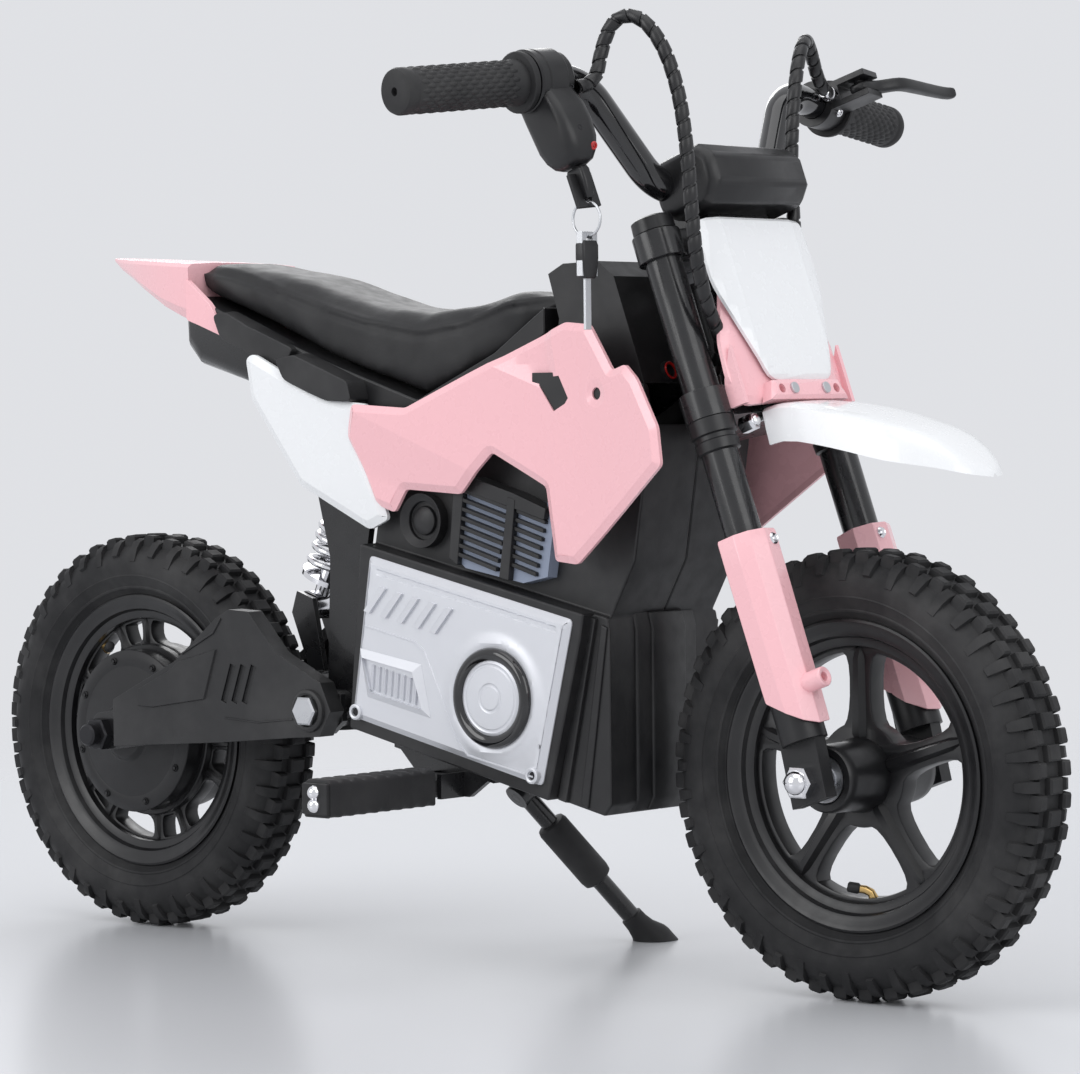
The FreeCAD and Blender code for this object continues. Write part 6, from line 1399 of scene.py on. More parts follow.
def panel_height(spot, edge):
    """Half width of the bike over the panel, with a rolled edge and folded facets."""
    lift = smooth_curve(PANEL_WIDTH, spot.x) - rolled(edge, PANEL_BORDER, 0.55)
    if spot.x < 70:
        lift -= min(max(0.0, -beyond(spot, *LOW_FOLD)) * 0.17, 6.5)
    if beyond(spot, *HIGH_FOLD) > 0 and beyond(spot, *HUMP_FOLD) > 0 and spot.x > 60:
        lift -= min(beyond(spot, *HIGH_FOLD), beyond(spot, *HUMP_FOLD), 9.0) * 0.32
    return lift - rolled((spot - Vector(PANEL_HOLE)).length, 10, 0.22)


panel_mesh = moulded_sheet(eased(PANEL_OUTLINE, 3.0), [PANEL_WINDOW, ring_outline(PANEL_HOLE, 4.4)],
                           [LOW_FOLD, HIGH_FOLD, HUMP_FOLD], panel_height, SHEET_THICK, SHEET_STEP,
                           ON_RIGHT, PANEL_BORDER)
for side, mesh in (("right", panel_mesh), ("left", mirrored(panel_mesh))):
    piece(side + "_side_panel", mesh, "pink", "frame", ["side_panel_" + side],
          sharp=8)
window_back = joined([side_plate([(122, 432), (160, 432), (160, 402), (122, 402)], 78.0, 86.5),
                      side_plate(ring_outline(PANEL_HOLE, 6.5, 20), 82.0, 89.5)])
piece("panel_window_backs", both(window_back), "satin", "frame")
print("panel faces", len(panel_mesh.polygons))

# %% [markdown]
# White rear panels.  They tuck under the seat behind the pink ones and narrow to a rounded lower end over
# the shock.

# %% Rear panels
REAR_OUTLINE = [(-174, 446), (-168, 415), (-118, 351), (-50, 319), (-31, 327), (-36, 340), (-60, 387),
                (-50, 411), (-76, 413.5), (-100, 420), (-130, 433), (-166, 449.5)]


def rear_height(spot, edge):
    """Outer face of a white panel, rolled at its edge and drawn in towards its lower end."""
    return 75.0 - rolled(edge, REAR_BORDER, 0.5) - rolled(spot.y, 350, 0.05)


rear_mesh = moulded_sheet(eased(REAR_OUTLINE, 4.0), [], [], rear_height, SHEET_THICK, SHEET_STEP, ON_RIGHT,
                          REAR_BORDER)
piece("white_rear_panels", both(rear_mesh), "white", "frame", ["rear_panels"],
      sharp=12)
print("rear panel faces", len(rear_mesh.polygons))

# %% [markdown]
# Silver covers.  Each is a painted lid over the battery box, with a rolled border, five slanted louvres, a
# hatched vent, an embossed line and a dish for the round trim.  The relief is in the lid's own surface
# where it is broad, and in small wedges set on the lid where it is fine.

# %% Silver covers
COVER_OUTLINE = [(-46, 300.5), (147.2, 258.5), (117.9, 140), (-64.7, 181.4)]
TRIM_PLACE = Vector((76, 201))
EMBOSSED = [(-48, 249.2), (1, 238.8), (10, 232.5), (41.6, 168.2), (51.4, 158.8), (113, 146.5)]
VENT_FRAME = [(-53, 232.4), (7, 222.5), (16, 184), (-46, 197)]
VENT_HATCH = [(-49, 225.8), (0.5, 217), (10, 190), (-42, 201)]
VENT_RISE = [82.2, 82.2, 82.2, 81.6]
LID_SCREWS = [(-58.0, 185.5), (112.0, 147.5)]
LOUVRES, HATCH_BARS = 5, 8
COVER_BORDER, LID_LEVEL = 5.0, 78


def cover_height(spot, edge):
    """Lid with a rolled border, a groove under its top edge and a raised dish round the trim."""
    lift = 79.0 - rolled(edge, COVER_BORDER, 0.8)
    top_gap = -beyond(spot, COVER_OUTLINE[0], COVER_OUTLINE[1])
    if 8.0 < top_gap < 11.0 and -34 < spot.x < 132:
        lift -= 1.2
    from_trim = (spot - TRIM_PLACE).length
    lift += 1.8 * math.exp(-((from_trim - 40) / 4.0) ** 2)
    return lift


def wedge(outline, low, heights):
    """Small raised form on the right side whose corners have their own heights."""
    rings = [[(x, -low, z) for x, z in outline], [(x, -h, z) for (x, z), h in zip(outline, heights)]]
    return to_mesh(skin(rings))


def line_strip(points, half, low, high):
    """Raised strip that follows a line of points on the bike's side."""
    rings = []
    for place, point in enumerate(points):
        ahead = Vector(points[min(place + 1, len(points) - 1)]) - Vector(points[max(place - 1, 0)])
        side = Vector((-ahead.y, ahead.x)).normalized() * half
        ring = []
        for share, level in ((-1.0, low), (-0.4, high), (0.4, high), (1.0, low)):
            spot = Vector(point) + side * share
            ring.append((spot.x, -level, spot.y))
        rings.append(ring)
    return to_mesh(skin(rings))


top_way = (Vector(COVER_OUTLINE[1]) - Vector(COVER_OUTLINE[0])).normalized()
GROOVE_FOLDS = []
for gap in (7.0, 8.2, 10.8, 12.0):
    first = Vector(COVER_OUTLINE[0]) + Vector((top_way.y, -top_way.x)) * gap
    GROOVE_FOLDS.append((tuple(first), tuple(first + top_way * 100)))
cover_mesh = moulded_sheet(eased(COVER_OUTLINE, 4.0), [], GROOVE_FOLDS, cover_height, 4.6, 3.0, ON_RIGHT,
                           COVER_BORDER)
louvre = wedge([(-49.6, 260), (-42.2, 258.4), (-25.7, 276.6), (-33.2, 278.2)], LID_LEVEL,
               [79.0, 81.4, 81.4, 79.0])
louvres = repeated(row_tree, louvre, "silver", count=LOUVRES, step=(16.1 * MM, 0, -3.3 * MM))
hatch_bar = wedge([(-43.4, 203.0), (-39.8, 202.2), (-38.0, 220.5), (-41.6, 221.1)], LID_LEVEL,
                  [79.2, 80.8, 80.8, 79.2])
hatch = repeated(row_tree, hatch_bar, "silver", count=HATCH_BARS, step=(6.0 * MM, 0, -1.3 * MM))
frame_bars = []
for place in range(4):
    follow = (place + 1) % 4
    corners = [VENT_FRAME[place], VENT_FRAME[follow], VENT_HATCH[follow], VENT_HATCH[place]]
    frame_bars.append(wedge(corners, LID_LEVEL, [79.2, 79.2, VENT_RISE[follow], VENT_RISE[place]]))
boss_form = [(0, 78), (3.2, 78), (3.4, 80.6), (4.6, 81.2), (5.8, 80.4), (6.2, 77), (0, 77)]
bosses = [to_mesh(turned(boss_form, 24), on_side(*spot)) for spot in LID_SCREWS]
cover_parts = [cover_mesh, louvres, hatch, line_strip(EMBOSSED, 1.1, 78.5, 79.7)] + frame_bars + bosses
piece("silver_lids", both(joined(cover_parts)), "silver", "frame",
      ["box_covers"], sharp=24)
print("louvres", LOUVRES, "hatch bars", HATCH_BARS)

# %% [markdown]
# Each lid has two dark screws in its bosses.  A glossy black ring with a plain turned disc sits in the
# dish.

# %% Lid screws and round trim
dot_form = [(0, 79.2), (2.6, 79.2), (3.1, 78.2), (0, 78.1)]
dots = [to_mesh(turned(dot_form, 20), on_side(*spot)) for spot in LID_SCREWS]
piece("lid_screws", both(joined(dots)), "dark_steel", "frame")
ring_form = [(27.2, 79), (27.2, 82.6), (28.6, 83.8), (31.5, 84.6), (34.2, 83.8), (36, 81.4), (36, 79)]
trim_ring = to_mesh(turned(ring_form, 72, wrap=True), on_side(*TRIM_PLACE))
piece("gloss_trim_rings", both(trim_ring), "gloss_black", "frame", ["badge_rings"])
disc_form = [(0, 83.3), (8.0, 83.2), (9.0, 82.5), (10.0, 82.5), (11.0, 83.0), (22.0, 82.6), (23.0, 82.0),
             (24.0, 82.0), (25.0, 82.5), (27.0, 81.6), (27.0, 79.5), (0, 79.5)]
trim_disc = to_mesh(turned(disc_form, 72), on_side(*TRIM_PLACE))
piece("plain_trim_discs", both(trim_disc), "silver", "frame", ["badge_discs"],
      sharp=24)
print("screws on each lid", len(LID_SCREWS))

# %% [markdown]
# Front mask and number plate.  Both are thin glossy sheets lifted towards the front.  The mask carries a
# bar with two screw holes and a small wing on each side; the plate has two folds near its sides.

# %% Front mask and plate
FACING = STEERING @ Matrix(((0, 0, 1, 0), (1, 0, 0, 0), (0, 1, 0, 0), (0, 0, 0, 1)))
MASK_OUTLINE = [(-56.3, 258), (56.3, 258), (64, 278.2), (62, 305), (46, 350), (-46, 350), (-62, 305),
                (-64, 278.2)]
PLATE_OUTLINE = [(-34.2, 272), (34.2, 272), (61, 345.2), (59.8, 392), (-59.8, 392), (-61, 345.2)]
BAR_OUTLINE = [(-44, 257.4), (44, 257.4), (38, 271), (30, 271.6), (-30, 271.6), (-38, 271)]
WING = [(60, 258), (46.5, 258.6), (45, 268), (48, 279), (54, 289), (60, 300)]
MASK_HALF, PLATE_FOLD = 64, 40


def mask_height(spot, edge):
    """Mask that bends back towards its sides."""
    return 64 - 9 * (spot.x / MASK_HALF) ** 2 - rolled(edge, 4, 0.6)


def bar_height(spot, edge):
    """Flat bar with a rolled edge."""
    return 70 - rolled(edge, 2.4, 0.9)


def plate_height(spot, edge):
    """Plate that is flat between its folds and bends back outside them."""
    return 67.4 - max(0.0, abs(spot.x) - PLATE_FOLD) * 0.24 - rolled(edge, 2.6, 0.6)


mask_sheet = moulded_sheet(eased(MASK_OUTLINE, 5.0), [], [], mask_height, SHEET_THICK, SHEET_STEP, FACING)
bar_holes = [ring_outline((across, 264.5), 3.4) for across in (-31, 31)]
mask_bar = moulded_sheet(BAR_OUTLINE, bar_holes, [], bar_height, 8.0, 4.0, FACING)
wing = to_mesh(skin([[(x, y, z) for x, z in WING] for y in (-62.5, -59.0)]), STEERING)
piece("pink_front_mask", joined([mask_sheet, mask_bar, both(wing)]), "pink", "steering",
      ["front_mask"], sharp=20)
plate_folds = [((across, 272), (across, 392)) for across in (-PLATE_FOLD, PLATE_FOLD)]
plate_sheet = moulded_sheet(eased(PLATE_OUTLINE, 9.0), [], plate_folds, plate_height, 2.4, SHEET_STEP,
                            FACING)
piece("bare_number_plate", plate_sheet, "white", "steering", ["number_plate"],
      sharp=10)
print("mask faces", len(mask_sheet.polygons), "plate faces", len(plate_sheet.polygons))

# %% [markdown]
# Fender.  It is skinned through arched sections: a narrow tongue under the mask, then a boxed arch with
# turned-down sides that runs out into a rounded tip.

# %% Front fender
FENDER_TOP = [(0, 256), (32, 256), (68.8, 239.5), (105.6, 216), (140.8, 188), (160, 158)]
FENDER_HALF = [(20, 41), (99, 41), (140.8, 29), (154, 18), (160, 2)]
FENDER_SKIRT = [(20, 28), (68.8, 30), (105.6, 29), (140.8, 20), (160, 3)]
FENDER_STEPS = [0, 1.2, 10, 19.4, 20.2, 22, 32, 44, 56, 69, 82, 95, 106, 117, 128, 138, 146, 152, 156,
                158.6, 160]
TONGUE_END, TONGUE_HALF, TONGUE_SKIRT = 20, 24.0, 5.0
FENDER_START, FENDER_WALL = 34, 2.6


def fender_section(run, wall):
    """Half arch of the fender at one place along it, from the skirt's edge to the middle."""
    half, skirt = TONGUE_HALF, TONGUE_SKIRT
    if run >= TONGUE_END:
        half = smooth_curve(FENDER_HALF, run)
        skirt = smooth_curve(FENDER_SKIRT, run)
    wall = min(wall, half * 0.4, skirt * 0.4)
    half -= wall
    skirt -= wall
    top = smooth_curve(FENDER_TOP, run) - wall
    shoulder = min(4.5, skirt * 0.4)
    return [(half + 1.2, top - skirt), (half + 0.4, top - skirt * 0.6), (half * 0.97, top - shoulder),
            (half * 0.88, top - shoulder * 0.36), (half * 0.62, top - shoulder * 0.1),
            (half * 0.3, top + 0.2), (0.0, top + 0.4)]


def fender_mesh():
    """Closed shell through arched sections."""
    rings = []
    for run in FENDER_STEPS:
        outer = fender_section(run, 0.0)
        inner = fender_section(run, FENDER_WALL)
        line = [(-y, z) for y, z in outer] + outer[-2::-1] + inner + [(-y, z) for y, z in inner[-2::-1]]
        rings.append([(FENDER_START + run, y, z) for y, z in line])
    return to_mesh(skin(rings), STEERING)


piece("white_front_fender", fender_mesh(), "white", "steering", ["front_fender"],
      sharp=40)
print("fender sections", len(FENDER_STEPS))

# %% [markdown]
# Tail cowl and the rail under the seat.  The cowl is a flat-topped spear with two cheeks round the seat's
# end, and a rounded box sits below it.  The black rail has a thick rear end and a flap that bulges over the
# white panel.

# %% Tail cowl and seat rail
COWL_SECTIONS = [(-386, 4, 528.6, 526.8, 526), (-368, 15, 528, 522, 519), (-345, 27, 527, 515, 511.5),
                 (-318, 41, 525.5, 506, 501.5), (-285, 52, 523.5, 494, 487.5), (-262, 58.4, 522, 488, 480),
                 (-246, 61, 521, 484, 475)]
CHEEK = [(-249, 509), (-236, 499), (-223, 489), (-217.5, 482), (-210, 463), (-234, 471), (-249, 476.2)]
TAIL_BOX = [(-266, 481), (-172, 452), (-172, 424), (-186, 424), (-253, 443), (-265, 456)]


def cowl_mesh():
    """Spear-shaped cowl through faceted sections."""
    rings = []
    for x, half, top, fold, low in COWL_SECTIONS:
        drop = min(4.5, (top - fold) * 0.6)
        right_half = [(0, top), (-half * 0.55, top - drop * 0.05), (-half * 0.93, top - drop * 0.36),
                      (-half, top - drop), (-half * 0.985, fold), (-half * 0.9, low)]
        ring = right_half + [(-y, z) for y, z in right_half[:0:-1]]
        rings.append([(x, y, z) for y, z in ring])
    return to_mesh(skin(rings))


def tail_box_mesh():
    """Box under the cowl with rounded lower edges."""
    rings = []
    for y, shrink in ((-47, 9), (-45.5, 5), (-42, 1.8), (-37, 0), (37, 0), (42, 1.8), (45.5, 5), (47, 9)):
        rings.append([(x + shrink * 0.8 if x < -240 else x, y, z + shrink if z < 460 else z)
                      for x, z in TAIL_BOX])
    return to_mesh(skin(rings))


cheek = side_plate(eased(CHEEK, 3.0), 57.0, 61.2, 0.8)
piece("pink_tail_cowl", joined([cowl_mesh(), both(cheek)]), "pink", "frame",
      ["tail_cowl"], bevel=0.0018, sharp=20)
piece("rounded_tail_box", tail_box_mesh(), "coat", "frame", ["tail_box"])
RAIL_END = [(-219, 480.5), (-206, 483), (-175, 470.8), (-130, 452), (-144, 435), (-211, 461.5)]
RAIL_FLAP = [(-142, 446), (-122, 450), (-64, 428), (-60, 412), (-86, 412), (-106, 417), (-134, 430)]
rail = joined([side_plate(eased(RAIL_END, 5.0), 50, 64.5, 2.2),
               side_plate(eased(RAIL_FLAP, 4.5), 58, 76.6, 2.6)])
piece("seat_rail_ends", both(rail), "black", "frame", bevel=0.0012)
print("cowl sections", len(COWL_SECTIONS))

# %% [markdown]
# Rear wheel.  The rear rim has six double spokes round the hub motor, so wide and narrow windows take
# turns, and the same valve as the front.  The motor has a stepped lid with small screws.

# %% Rear wheel
HUB_SCREWS, REAR_SPOKES = 8, 6
WIDE_MIDDLE, WIDE_GAP, NARROW_GAP = math.radians(14), math.radians(19.75), math.radians(10.25)
REAR_HUB_HALF = [(68.0, 7.5), (67.6, 13.2), (66.8, 14.0), (63.4, 14.0), (62.8, 13.0)]
LID_FORM = [(0, 30.4), (24, 30.4), (26, 31.6), (44, 32.4), (47, 31.2), (50, 31.0), (52, 32.2), (60, 31.6),
            (63.5, 30.0), (64, 27.5), (0, 27.5)]
SCREW_FORM = [(0, 33.6), (1.3, 33.6), (1.4, 32.6), (2.4, 33.4), (3.0, 32.6), (3.0, 30.5), (0, 30.5)]


def rear_rim_mesh():
    """Web with wide and narrow windows in turn, ridges on both faces, ring and hub band."""
    outlines = [ring_outline((0, 0), radius, 90) for radius in (WEB_RADIUS, 63.5)]
    for place in range(REAR_SPOKES):
        middle = WIDE_MIDDLE + math.tau * place / REAR_SPOKES
        outlines.append(window_outline(69.5, 86, 5.2, middle, WIDE_GAP))
        outlines.append(window_outline(69.5, 86, 5.2, middle + math.pi / REAR_SPOKES, NARROW_GAP))
    meshes = [plate_mesh(outlines, 7.5, 1.4)]
    rib = ridge(65, 89, 7.0, 10.5, 3.6)
    for mesh in (rib, mirrored(rib, ACROSS_WHEEL)):
        for turn in (WIDE_MIDDLE - WIDE_GAP, WIDE_MIDDLE + WIDE_GAP):
            meshes.append(repeated(round_tree, mesh, "satin", around=REAR_SPOKES, rings=1, start_turn=turn))
    for half in (RING_HALF, REAR_HUB_HALF):
        meshes.append(to_mesh(turned(there_and_back(half), 96, wrap=True)))
    return moved(joined(meshes), REAR_AXLE)


lid = to_mesh(turned(LID_FORM, 64))
lid_screw = to_mesh(turned(SCREW_FORM, 12), Matrix.Translation((57 * MM, 0, 0)))
lid_screws = repeated(round_tree, lid_screw, "cast", around=HUB_SCREWS, rings=1, start_turn=0.3)
piece("hub_motor_lid", moved(joined([lid, lid_screws]), REAR_AXLE), "cast", "rear_wheel")
piece("rear_spoked_rim", rear_rim_mesh(), "satin", "rear_wheel", ["rear_rim"])
add_valve("rear", REAR_AXLE, math.radians(127), "rear_wheel")
print("hub screws", HUB_SCREWS)

# %% [markdown]
# Swingarm covers.  They carry a raised bare panel, two raised lines and a boss for the pivot bolt.

# %% Swingarm covers
ARM_PANEL = [(-291, 180), (-290, 193), (-257, 209), (-244, 217), (-203, 227), (-216, 188), (-275, 179)]
PIVOT = on_side(-108, 184)
arm_panel = side_plate(ARM_PANEL, 76, 78.6, 1.6)
arm_line = line_strip([(-196, 175), (-161, 173), (-124, 177)], 0.9, 76.5, 77.9)
arm_step = line_strip([(-241, 222), (-207, 239), (-199, 250)], 1.3, 76.5, 78.2)
pivot_form = [(11.8, 76), (11.8, 79.6), (13.6, 80.4), (15.6, 79.4), (16.4, 76)]
pivot_boss = to_mesh(turned(pivot_form, 40, wrap=True), PIVOT)
arm_details = joined([arm_panel, arm_line, arm_step, pivot_boss])
piece("swingarm_cover_relief", both(arm_details), "black", "swing", bevel=0.0005)
print("cover relief faces", len(arm_details.polygons))

# %% [markdown]
# Nuts and bolt heads.  The swingarm's pivot has plain six-sided heads, the front axle has domed nuts, and
# the rear axle has nuts with a stud.

# %% Nuts and bolt heads
def hex_head(radius, low, high, dome=0.0):
    """Six-sided nut along local Z, with a dome on top where one is wanted."""
    rings = [[(x * size, y * size, level) for x, y in ring_outline((0, 0), radius, 6)]
             for level, size in ((low, 1.0), (high - 1.2, 1.0), (high, 0.88))]
    meshes = [to_mesh(skin(rings))]
    if dome:
        cap = radius * 0.72
        turns = [math.radians(18 * step) for step in range(6)]
        arc = [(cap * math.cos(turn), high - 0.5 + dome * math.sin(turn)) for turn in turns]
        meshes.append(to_mesh(turned([(cap, high - 1.5)] + arc, 32)))
    return joined(meshes)


pivot_heads = moved(hex_head(11.7, 77.5, 84.0), PIVOT)
piece("pivot_hex_heads", both(pivot_heads), "zinc", "frame")
axle_nuts = moved(hex_head(11.7, 72.8, 81.6, 7.5), FRONT_AXLE)
piece("front_acorn_nuts", both(axle_nuts), "chrome", "fork_slider")
stud = to_mesh(turned([(7.6, 70), (7.6, 74.5), (8.6, 75), (8.6, 78), (7, 79.6), (0, 79.8), (0, 70)], 32))
rear_nuts = moved(joined([hex_head(13.4, 61.6, 70.4), stud]), REAR_AXLE)
piece("rear_cap_nuts", both(rear_nuts), "dark_steel", "swing")
print("rear nut faces", len(rear_nuts.polygons))

# %% [markdown]
# Battery box.  Its front is stepped: two raised bands run down the middle and slanted ribs follow the lid's
# front edge.  A small charging socket with a red ring sits on the neck cover behind the fork.

# %% Battery box and socket
FRONT_BANDS = [(34, 172.4), (19, 175.0)]


def front_band(half, front):
    """Raised band down the front of the box."""
    outline = [(150, 268), (front - 3, 262), (front, 251), (front, 131), (front - 5, 121.5), (150, 121)]
    rings = []
    for y, shrink in ((-half, 1.5), (-half + 2.5, 0.0), (half - 2.5, 0.0), (half, 1.5)):
        rings.append([(x - shrink if x > 155 else x, y, z) for x, z in outline])
    return to_mesh(skin(rings))


ribs = both(joined([side_plate([(152, 262), (160, 260), (131, 127), (123, 129)], 58, 65.5, 1.2),
                    side_plate([(163.5, 256), (169, 254), (150, 124), (143, 126)], 56, 63.8, 1.0)]))
bands = [front_band(half, front) for half, front in FRONT_BANDS]
piece("box_front_bands", joined(bands + [ribs]), "black", "frame", bevel=0.001)
socket_turn = Vector((26.0, 0, 9.0)).normalized().to_track_quat("Z", "Y").to_matrix().to_4x4()
socket_turn.translation = Vector((195.4, -27, 431.5)) * MM
socket = turned([(0, 0.5), (4.4, 0.5), (4.6, 3.2), (6.0, 4.2), (7.4, 3.6), (7.8, -2.0), (0, -2.0)], 28)
piece("charge_socket", to_mesh(socket, socket_turn), "satin", "frame")
socket_ring = turned([(4.7, 2.9), (5.0, 4.6), (5.9, 4.9), (6.5, 4.4), (6.3, 3.0)], 28, wrap=True)
piece("charge_socket_ring", to_mesh(socket_ring, socket_turn), "red", "frame")
print("front bands", len(FRONT_BANDS))

# %% [markdown]
# Fork.  Collars sit round the fork legs at the lower yoke, caps and a nut close the top, chrome bolts hold
# the lower yoke, and a screw clamps each guard.

# %% Fork collars and bolts
LEG = STEERING @ Matrix.Translation((LEG_AHEAD * MM, -LEG_OUT * MM, 0))
COLLAR = [(13.1, 232), (15.2, 233.2), (15.6, 240), (14.6, 241), (14.6, 244), (16.4, 245), (16.6, 255.6),
          (13.1, 256)]
LEG_CAP = [(0, 398), (9.5, 398), (10, 403.2), (12.4, 404), (14.8, 402.6), (15.2, 393.5), (13.1, 392.8),
           (0, 392.8)]
GUARD_SCREW = [(0, 23.2), (1.5, 23.2), (1.6, 22.0), (3.2, 23.0), (4.2, 21.8), (4.2, 16), (0, 16)]
collars = joined([to_mesh(turned(COLLAR, 40, wrap=True), LEG), to_mesh(turned(LEG_CAP, 40), LEG)])
piece("fork_collars", both(collars), "satin", "steering")
piece("stem_hex_nut", moved(hex_head(19.8, 392.8, 398.6), STEERING), "coat", "steering")
yoke_bolt = moved(hex_head(6.2, 40, 52, 3.0), FACING @ Matrix.Translation((-46 * MM, 248 * MM, 0)))
piece("lower_yoke_bolts", both(yoke_bolt), "chrome", "steering")
guard_screw = to_mesh(turned(GUARD_SCREW, 20),
                      FACING @ Matrix.Translation((-62 * MM, 164 * MM, 28 * MM)))
piece("guard_clamp_screws", both(guard_screw), "chrome", "fork_slider")
print("collar faces", len(collars.polygons))

# %% [markdown]
# Controls.  The key box gets its screws and red window, the brake perch its adjuster and clamp screw.  All
# of them are small round studs that stand along one of the bar end's own directions.

# %% Control studs
def stud_at(end, inward, ahead, up, way, radius, reach):
    """Small round stud on a bar control, standing along one of the bar end's directions."""
    turn = way.to_track_quat("Z", "Y").to_matrix().to_4x4()
    turn.translation = end.spot(inward, ahead, up) * MM
    profile = [(0, reach - 0.8), (radius * 0.4, reach - 0.8), (radius * 0.5, reach - 0.1),
               (radius * 0.8, reach), (radius, reach - 0.7), (radius, -2.5), (0, -2.5)]
    return to_mesh(turned(profile, 20), STEERING @ turn)


box_screws = [stud_at(RIGHT_END, inward, 17, -12, RIGHT_END.ahead, 1.9, 0.8) for inward in (113, 134)]
box_screws.append(stud_at(RIGHT_END, 122, 25.2, -44, RIGHT_END.ahead, 2.4, 0.6))
piece("key_box_screws", joined(box_screws), "dark_steel", "steering")
window_way = (RIGHT_END.ahead - RIGHT_END.up * 0.5).normalized()
red_window = stud_at(RIGHT_END, 131, 22.6, -57, window_way, 3.0, 1.6)
piece("key_box_red_window", red_window, "red", "steering")
adjuster = [stud_at(LEFT_END, inward, 17, 0, -LEFT_END.out, radius, reach)
            for inward, radius, reach in ((115, 5.6, 6.0), (121, 4.4, 7.0))]
piece("brake_barrel_adjuster", joined(adjuster), "chrome", "steering")
clamp_way = (LEFT_END.ahead - LEFT_END.up).normalized()
clamp_screw = stud_at(LEFT_END, 103.6, 13, -10, clamp_way, 3.4, 2.6)
piece("brake_clamp_screw", clamp_screw, "chrome", "steering")
print("key box screws", len(box_screws))

# %% [markdown]
# Brake lever.  It is skinned through rounded sections between its front and rear lines, then smoothed.

# %% Brake lever
LEVER_FRONT = [(110.4, 42.0), (101.7, 44.2), (94.0, 45.5), (87.3, 51.3), (79.6, 58.6), (69.0, 60.8),
               (41.2, 62.6), (17.2, 64.4), (11.4, 66.6), (9.0, 68.3)]
LEVER_REAR = [(110.4, 27.4), (97.8, 26.8), (91.1, 33.6), (84.4, 41.8), (76.7, 50.0), (67.1, 51.4),
              (39.3, 54.4), (14.3, 57.6), (8.6, 60.2), (6.6, 64.4)]
LEVER_HALF = [4.2, 4.8, 4.8, 4.8, 4.8, 4.6, 4.5, 4.5, 4.5, 3.6]
SQUARENESS = 0.6


def squared(value):
    """Sine or cosine pushed outwards, so that a circle becomes a rounded square."""
    return math.copysign(abs(value) ** SQUARENESS, value)


def lever_mesh():
    """Rounded sections between the lever's front and rear lines."""
    rings = []
    for (in_front, far), (in_rear, near), half in zip(LEVER_FRONT, LEVER_REAR, LEVER_HALF):
        ring = []
        for u, v in ring_outline((0, 0), 1.0):
            share = 0.5 + 0.5 * squared(u)
            ring.append(LEFT_END.spot(in_rear + (in_front - in_rear) * share, near + (far - near) * share,
                                      half * squared(v)))
        rings.append(ring)
    return to_mesh(skin(rings), STEERING)


piece("rounded_brake_lever", lever_mesh(), "satin", "lever", ["brake_lever"], levels=1)
print("lever sections", len(LEVER_HALF))

# %% [markdown]
# Keys.  The key in the switch and the spare key on its ring have moulded covers over their heads.  The
# spare key's cover is placed by the lowest points of the CAD key.

# %% Key covers
KEY_COVER = [(-67, 7.5, 3.6), (-70, 8.6, 4.2), (-78, 8.4, 4.0), (-88, 6.2, 3.2), (-89.5, 5.2, 2.4)]
SPARE_COVER = [(34.5, 5.6, 3.0), (36, 6.6, 3.8), (48, 8.2, 4.2), (57, 8.4, 4.0), (60, 7.4, 3.2)]
COVER_CORNER, BLADE_LENGTH = 2.0, 0.03


def cover_ring(middle, wide, deep):
    """Rounded rectangle round a key."""
    return rounded_ring(middle[0] - deep, middle[0] + deep, middle[1] - wide, middle[1] + wide,
                        COVER_CORNER)


key_rings = []
for drop, wide, deep in KEY_COVER:
    key_rings.append([RIGHT_END.spot(inward, ahead, drop)
                      for inward, ahead in cover_ring((124.6, 7), wide, deep)])
key_cover = to_mesh(skin(key_rings), STEERING)
piece("ignition_key_cover", key_cover, "satin", "key")
spare_points = [vertex.co for vertex in nodes["spare_key"].data.vertices]
spare_low = min(point.z for point in spare_points)
blade_points = [point for point in spare_points if point.z < spare_low + BLADE_LENGTH]
blade_middle = sum(blade_points, Vector()) / len(blade_points) / MM
spare_rings = []
for lift, wide, deep in SPARE_COVER:
    spare_rings.append([(x, y, spare_low / MM + lift) for x, y in cover_ring(blade_middle, wide, deep)])
spare_cover = to_mesh(skin(spare_rings))
piece("spare_key_cover", spare_cover, "satin", "hanging_key")
print("spare key middle", [round(v, 1) for v in blade_middle])

# %% [markdown]
# Pegs.  Each folding peg is a ribbed rubber block with two dome-headed screws on its end.

# %% Pegs
PEG_RIBS, PEG_PITCH, PEG_START, PEG_END = 9, 12.4, 94.6, 207.4
DOME = [(0, 211.6), (2.2, 211.3), (4.2, 209.8), (5.2, 207.6), (5.4, 205), (0, 205)]


def ribbed_peg():
    """Rubber block over the right peg, with rounded ribs across its top."""
    rings = []
    for step in range(PEG_RIBS):
        start = PEG_START + PEG_PITCH * step
        for share, rise in ((0.0, 0.0), (0.14, 2.0), (0.62, 2.0), (0.80, 0.0)):
            y = min(start + PEG_PITCH * share, PEG_END)
            ring = rounded_ring(8.4, 33.6, 122.8, 147.6 + rise, 2.0 + rise * 1.25)
            rings.append([(x, -y, z) for x, z in ring])
    return to_mesh(skin(rings))


peg = ribbed_peg()
domes = joined([to_mesh(turned(DOME, 24), on_side(21, z)) for z in (131.5, 140.5)])
for side, rubber, heads in (("right", peg, domes), ("left", mirrored(peg), mirrored(domes))):
    piece(side + "_peg_rubber", rubber, "rubber", "peg_" + side, sharp=50)
    piece(side + "_peg_screws", heads, "chrome", "peg_" + side)
print("peg ribs", PEG_RIBS)

# %% [markdown]
# Stand.  The side stand has a rubber sleeve over a thin rod and a bell-shaped foot, cut flat just above the
# floor.

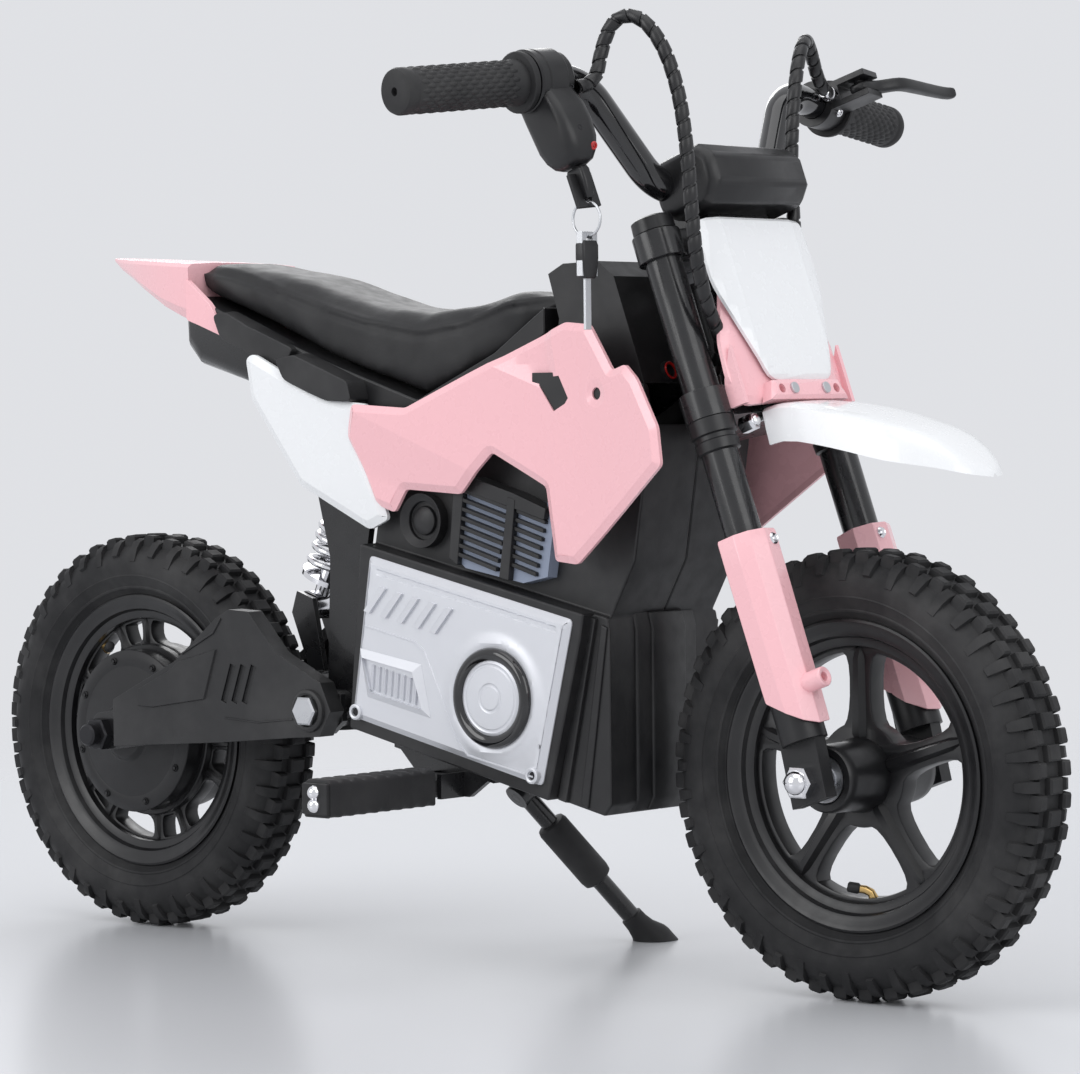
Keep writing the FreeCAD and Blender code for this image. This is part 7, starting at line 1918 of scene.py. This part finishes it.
# %% Stand
STAND_TOP, STAND_FOOT = Vector((-18, 60, 118)), Vector((34, 150, 0))
SLEEVE = [(7.1, 33), (11.4, 34), (12.4, 37), (12.4, 86), (11.6, 90.5), (8.6, 92.5), (7.1, 92.5)]
FOOT = [(7.1, -27), (8.6, -26), (9.0, -19), (10.4, -12), (14.6, -3), (15.4, 1), (15.4, 14), (0, 14),
        (0, -27)]
FLOOR_GAP = 0.0002
stand_way = STAND_FOOT - STAND_TOP
stand_turn = stand_way.to_track_quat("Z", "Y").to_matrix().to_4x4()
stand_turn.translation = STAND_TOP * MM
foot_form = [(radius, stand_way.length + level) for radius, level in FOOT]
form = opened(to_mesh(turned(SLEEVE, 36, wrap=True), stand_turn),
              to_mesh(turned(foot_form, 36), stand_turn))
bmesh.ops.bisect_plane(form, geom=form.verts[:] + form.edges[:] + form.faces[:], plane_co=(0, 0, FLOOR_GAP),
                       plane_no=(0, 0, -1), clear_outer=True)
bmesh.ops.holes_fill(form, edges=[edge for edge in form.edges if edge.is_boundary], sides=0)
stand_rubber = to_mesh(form)
piece("stand_rubber", stand_rubber, "rubber", "stand")
print("stand faces", len(stand_rubber.polygons))

# %% [markdown]
# The studio: a pale, slightly glossy floor that fades into a pale surround, so there is no horizon and the
# bike can be seen from every side.  A broad soft lamp hangs above, weaker ones fill from the front and the
# side, and a strip from behind draws the outlines of the black pieces.

# %% Studio
FLOOR_ROUGHNESS = 0.24


def soft_lamp(name, place, target, size, power):
    """Square area lamp aimed at a point."""
    lamp = bpy.data.lights.new(name, "AREA")
    lamp.shape = "SQUARE"
    lamp.size = size
    lamp.energy = power
    lamp_object = in_scene(name, lamp)
    lamp_object.location = place
    lamp_object.rotation_euler = (Vector(target) - Vector(place)).to_track_quat("-Z", "Y").to_euler()


def make_floor(colour, solid_to, gone_at):
    """Round floor that fades out with its distance from the middle."""
    disc = bmesh.new()
    bmesh.ops.create_circle(disc, cap_ends=True, radius=gone_at + 0.5, segments=96)
    mesh = stored(disc)
    paper = bpy.data.materials.new("studio_floor")
    paper.use_nodes = True
    tree = paper.node_tree
    shader = tree.nodes["Principled BSDF"]
    shader.inputs["Base Color"].default_value = colour
    shader.inputs["Roughness"].default_value = FLOOR_ROUGHNESS
    reach = tree.nodes.new("ShaderNodeVectorMath")
    reach.operation = "LENGTH"
    wire(tree, tree.nodes.new("ShaderNodeTexCoord").outputs["Object"], reach.inputs[0])
    fade = stretch(tree, reach.outputs["Value"], solid_to, gone_at, 1.0, 0.0, "SMOOTHSTEP")
    mixer = tree.nodes.new("ShaderNodeMixShader")
    wire(tree, fade, mixer.inputs["Fac"])
    wire(tree, tree.nodes.new("ShaderNodeBsdfTransparent").outputs[0], mixer.inputs[1])
    wire(tree, shader.outputs[0], mixer.inputs[2])
    wire(tree, mixer.outputs[0], tree.nodes["Material Output"].inputs["Surface"])
    mesh.materials.append(paper)
    return in_scene("studio_floor", mesh)


def make_surround(light, strength, seen):
    """World that lights with one colour and shows another to the camera, in mirrors and through glass."""
    world = bpy.data.worlds.new("studio_air")
    world.use_nodes = True
    tree = world.node_tree
    lighting = tree.nodes["Background"]
    lighting.inputs["Color"].default_value = light
    lighting.inputs["Strength"].default_value = strength
    shown = tree.nodes.new("ShaderNodeBackground")
    shown.inputs["Color"].default_value = seen
    mixer = tree.nodes.new("ShaderNodeMixShader")
    rays = tree.nodes.new("ShaderNodeLightPath").outputs
    indirect = maths(tree, "MAXIMUM", rays["Is Glossy Ray"], rays["Is Transmission Ray"])
    wire(tree, maths(tree, "MAXIMUM", rays["Is Camera Ray"], indirect), mixer.inputs["Fac"])
    wire(tree, lighting.outputs[0], mixer.inputs[1])
    wire(tree, shown.outputs[0], mixer.inputs[2])
    wire(tree, mixer.outputs[0], tree.nodes["World Output"].inputs["Surface"])
    return world


studio_floor = make_floor((0.66, 0.668, 0.69, 1), 0.7, 2.6)
scene.world = make_surround((0.94, 0.96, 1.0, 1), 0.72, (0.745, 0.755, 0.785, 1))
soft_lamp("top_softbox", (0.5, -0.5, 2.8), (0, 0, 0.25), 2.6, 22)
soft_lamp("front_fill", (2.4, -0.6, 1.4), (0, 0, 0.35), 1.6, 13)
soft_lamp("side_fill", (-0.9, -2.6, 1.5), (0, 0, 0.35), 1.8, 26)
soft_lamp("rear_strip", (-1.6, 1.6, 1.7), (0, 0, 0.4), 1.2, 14)
print("studio ready")
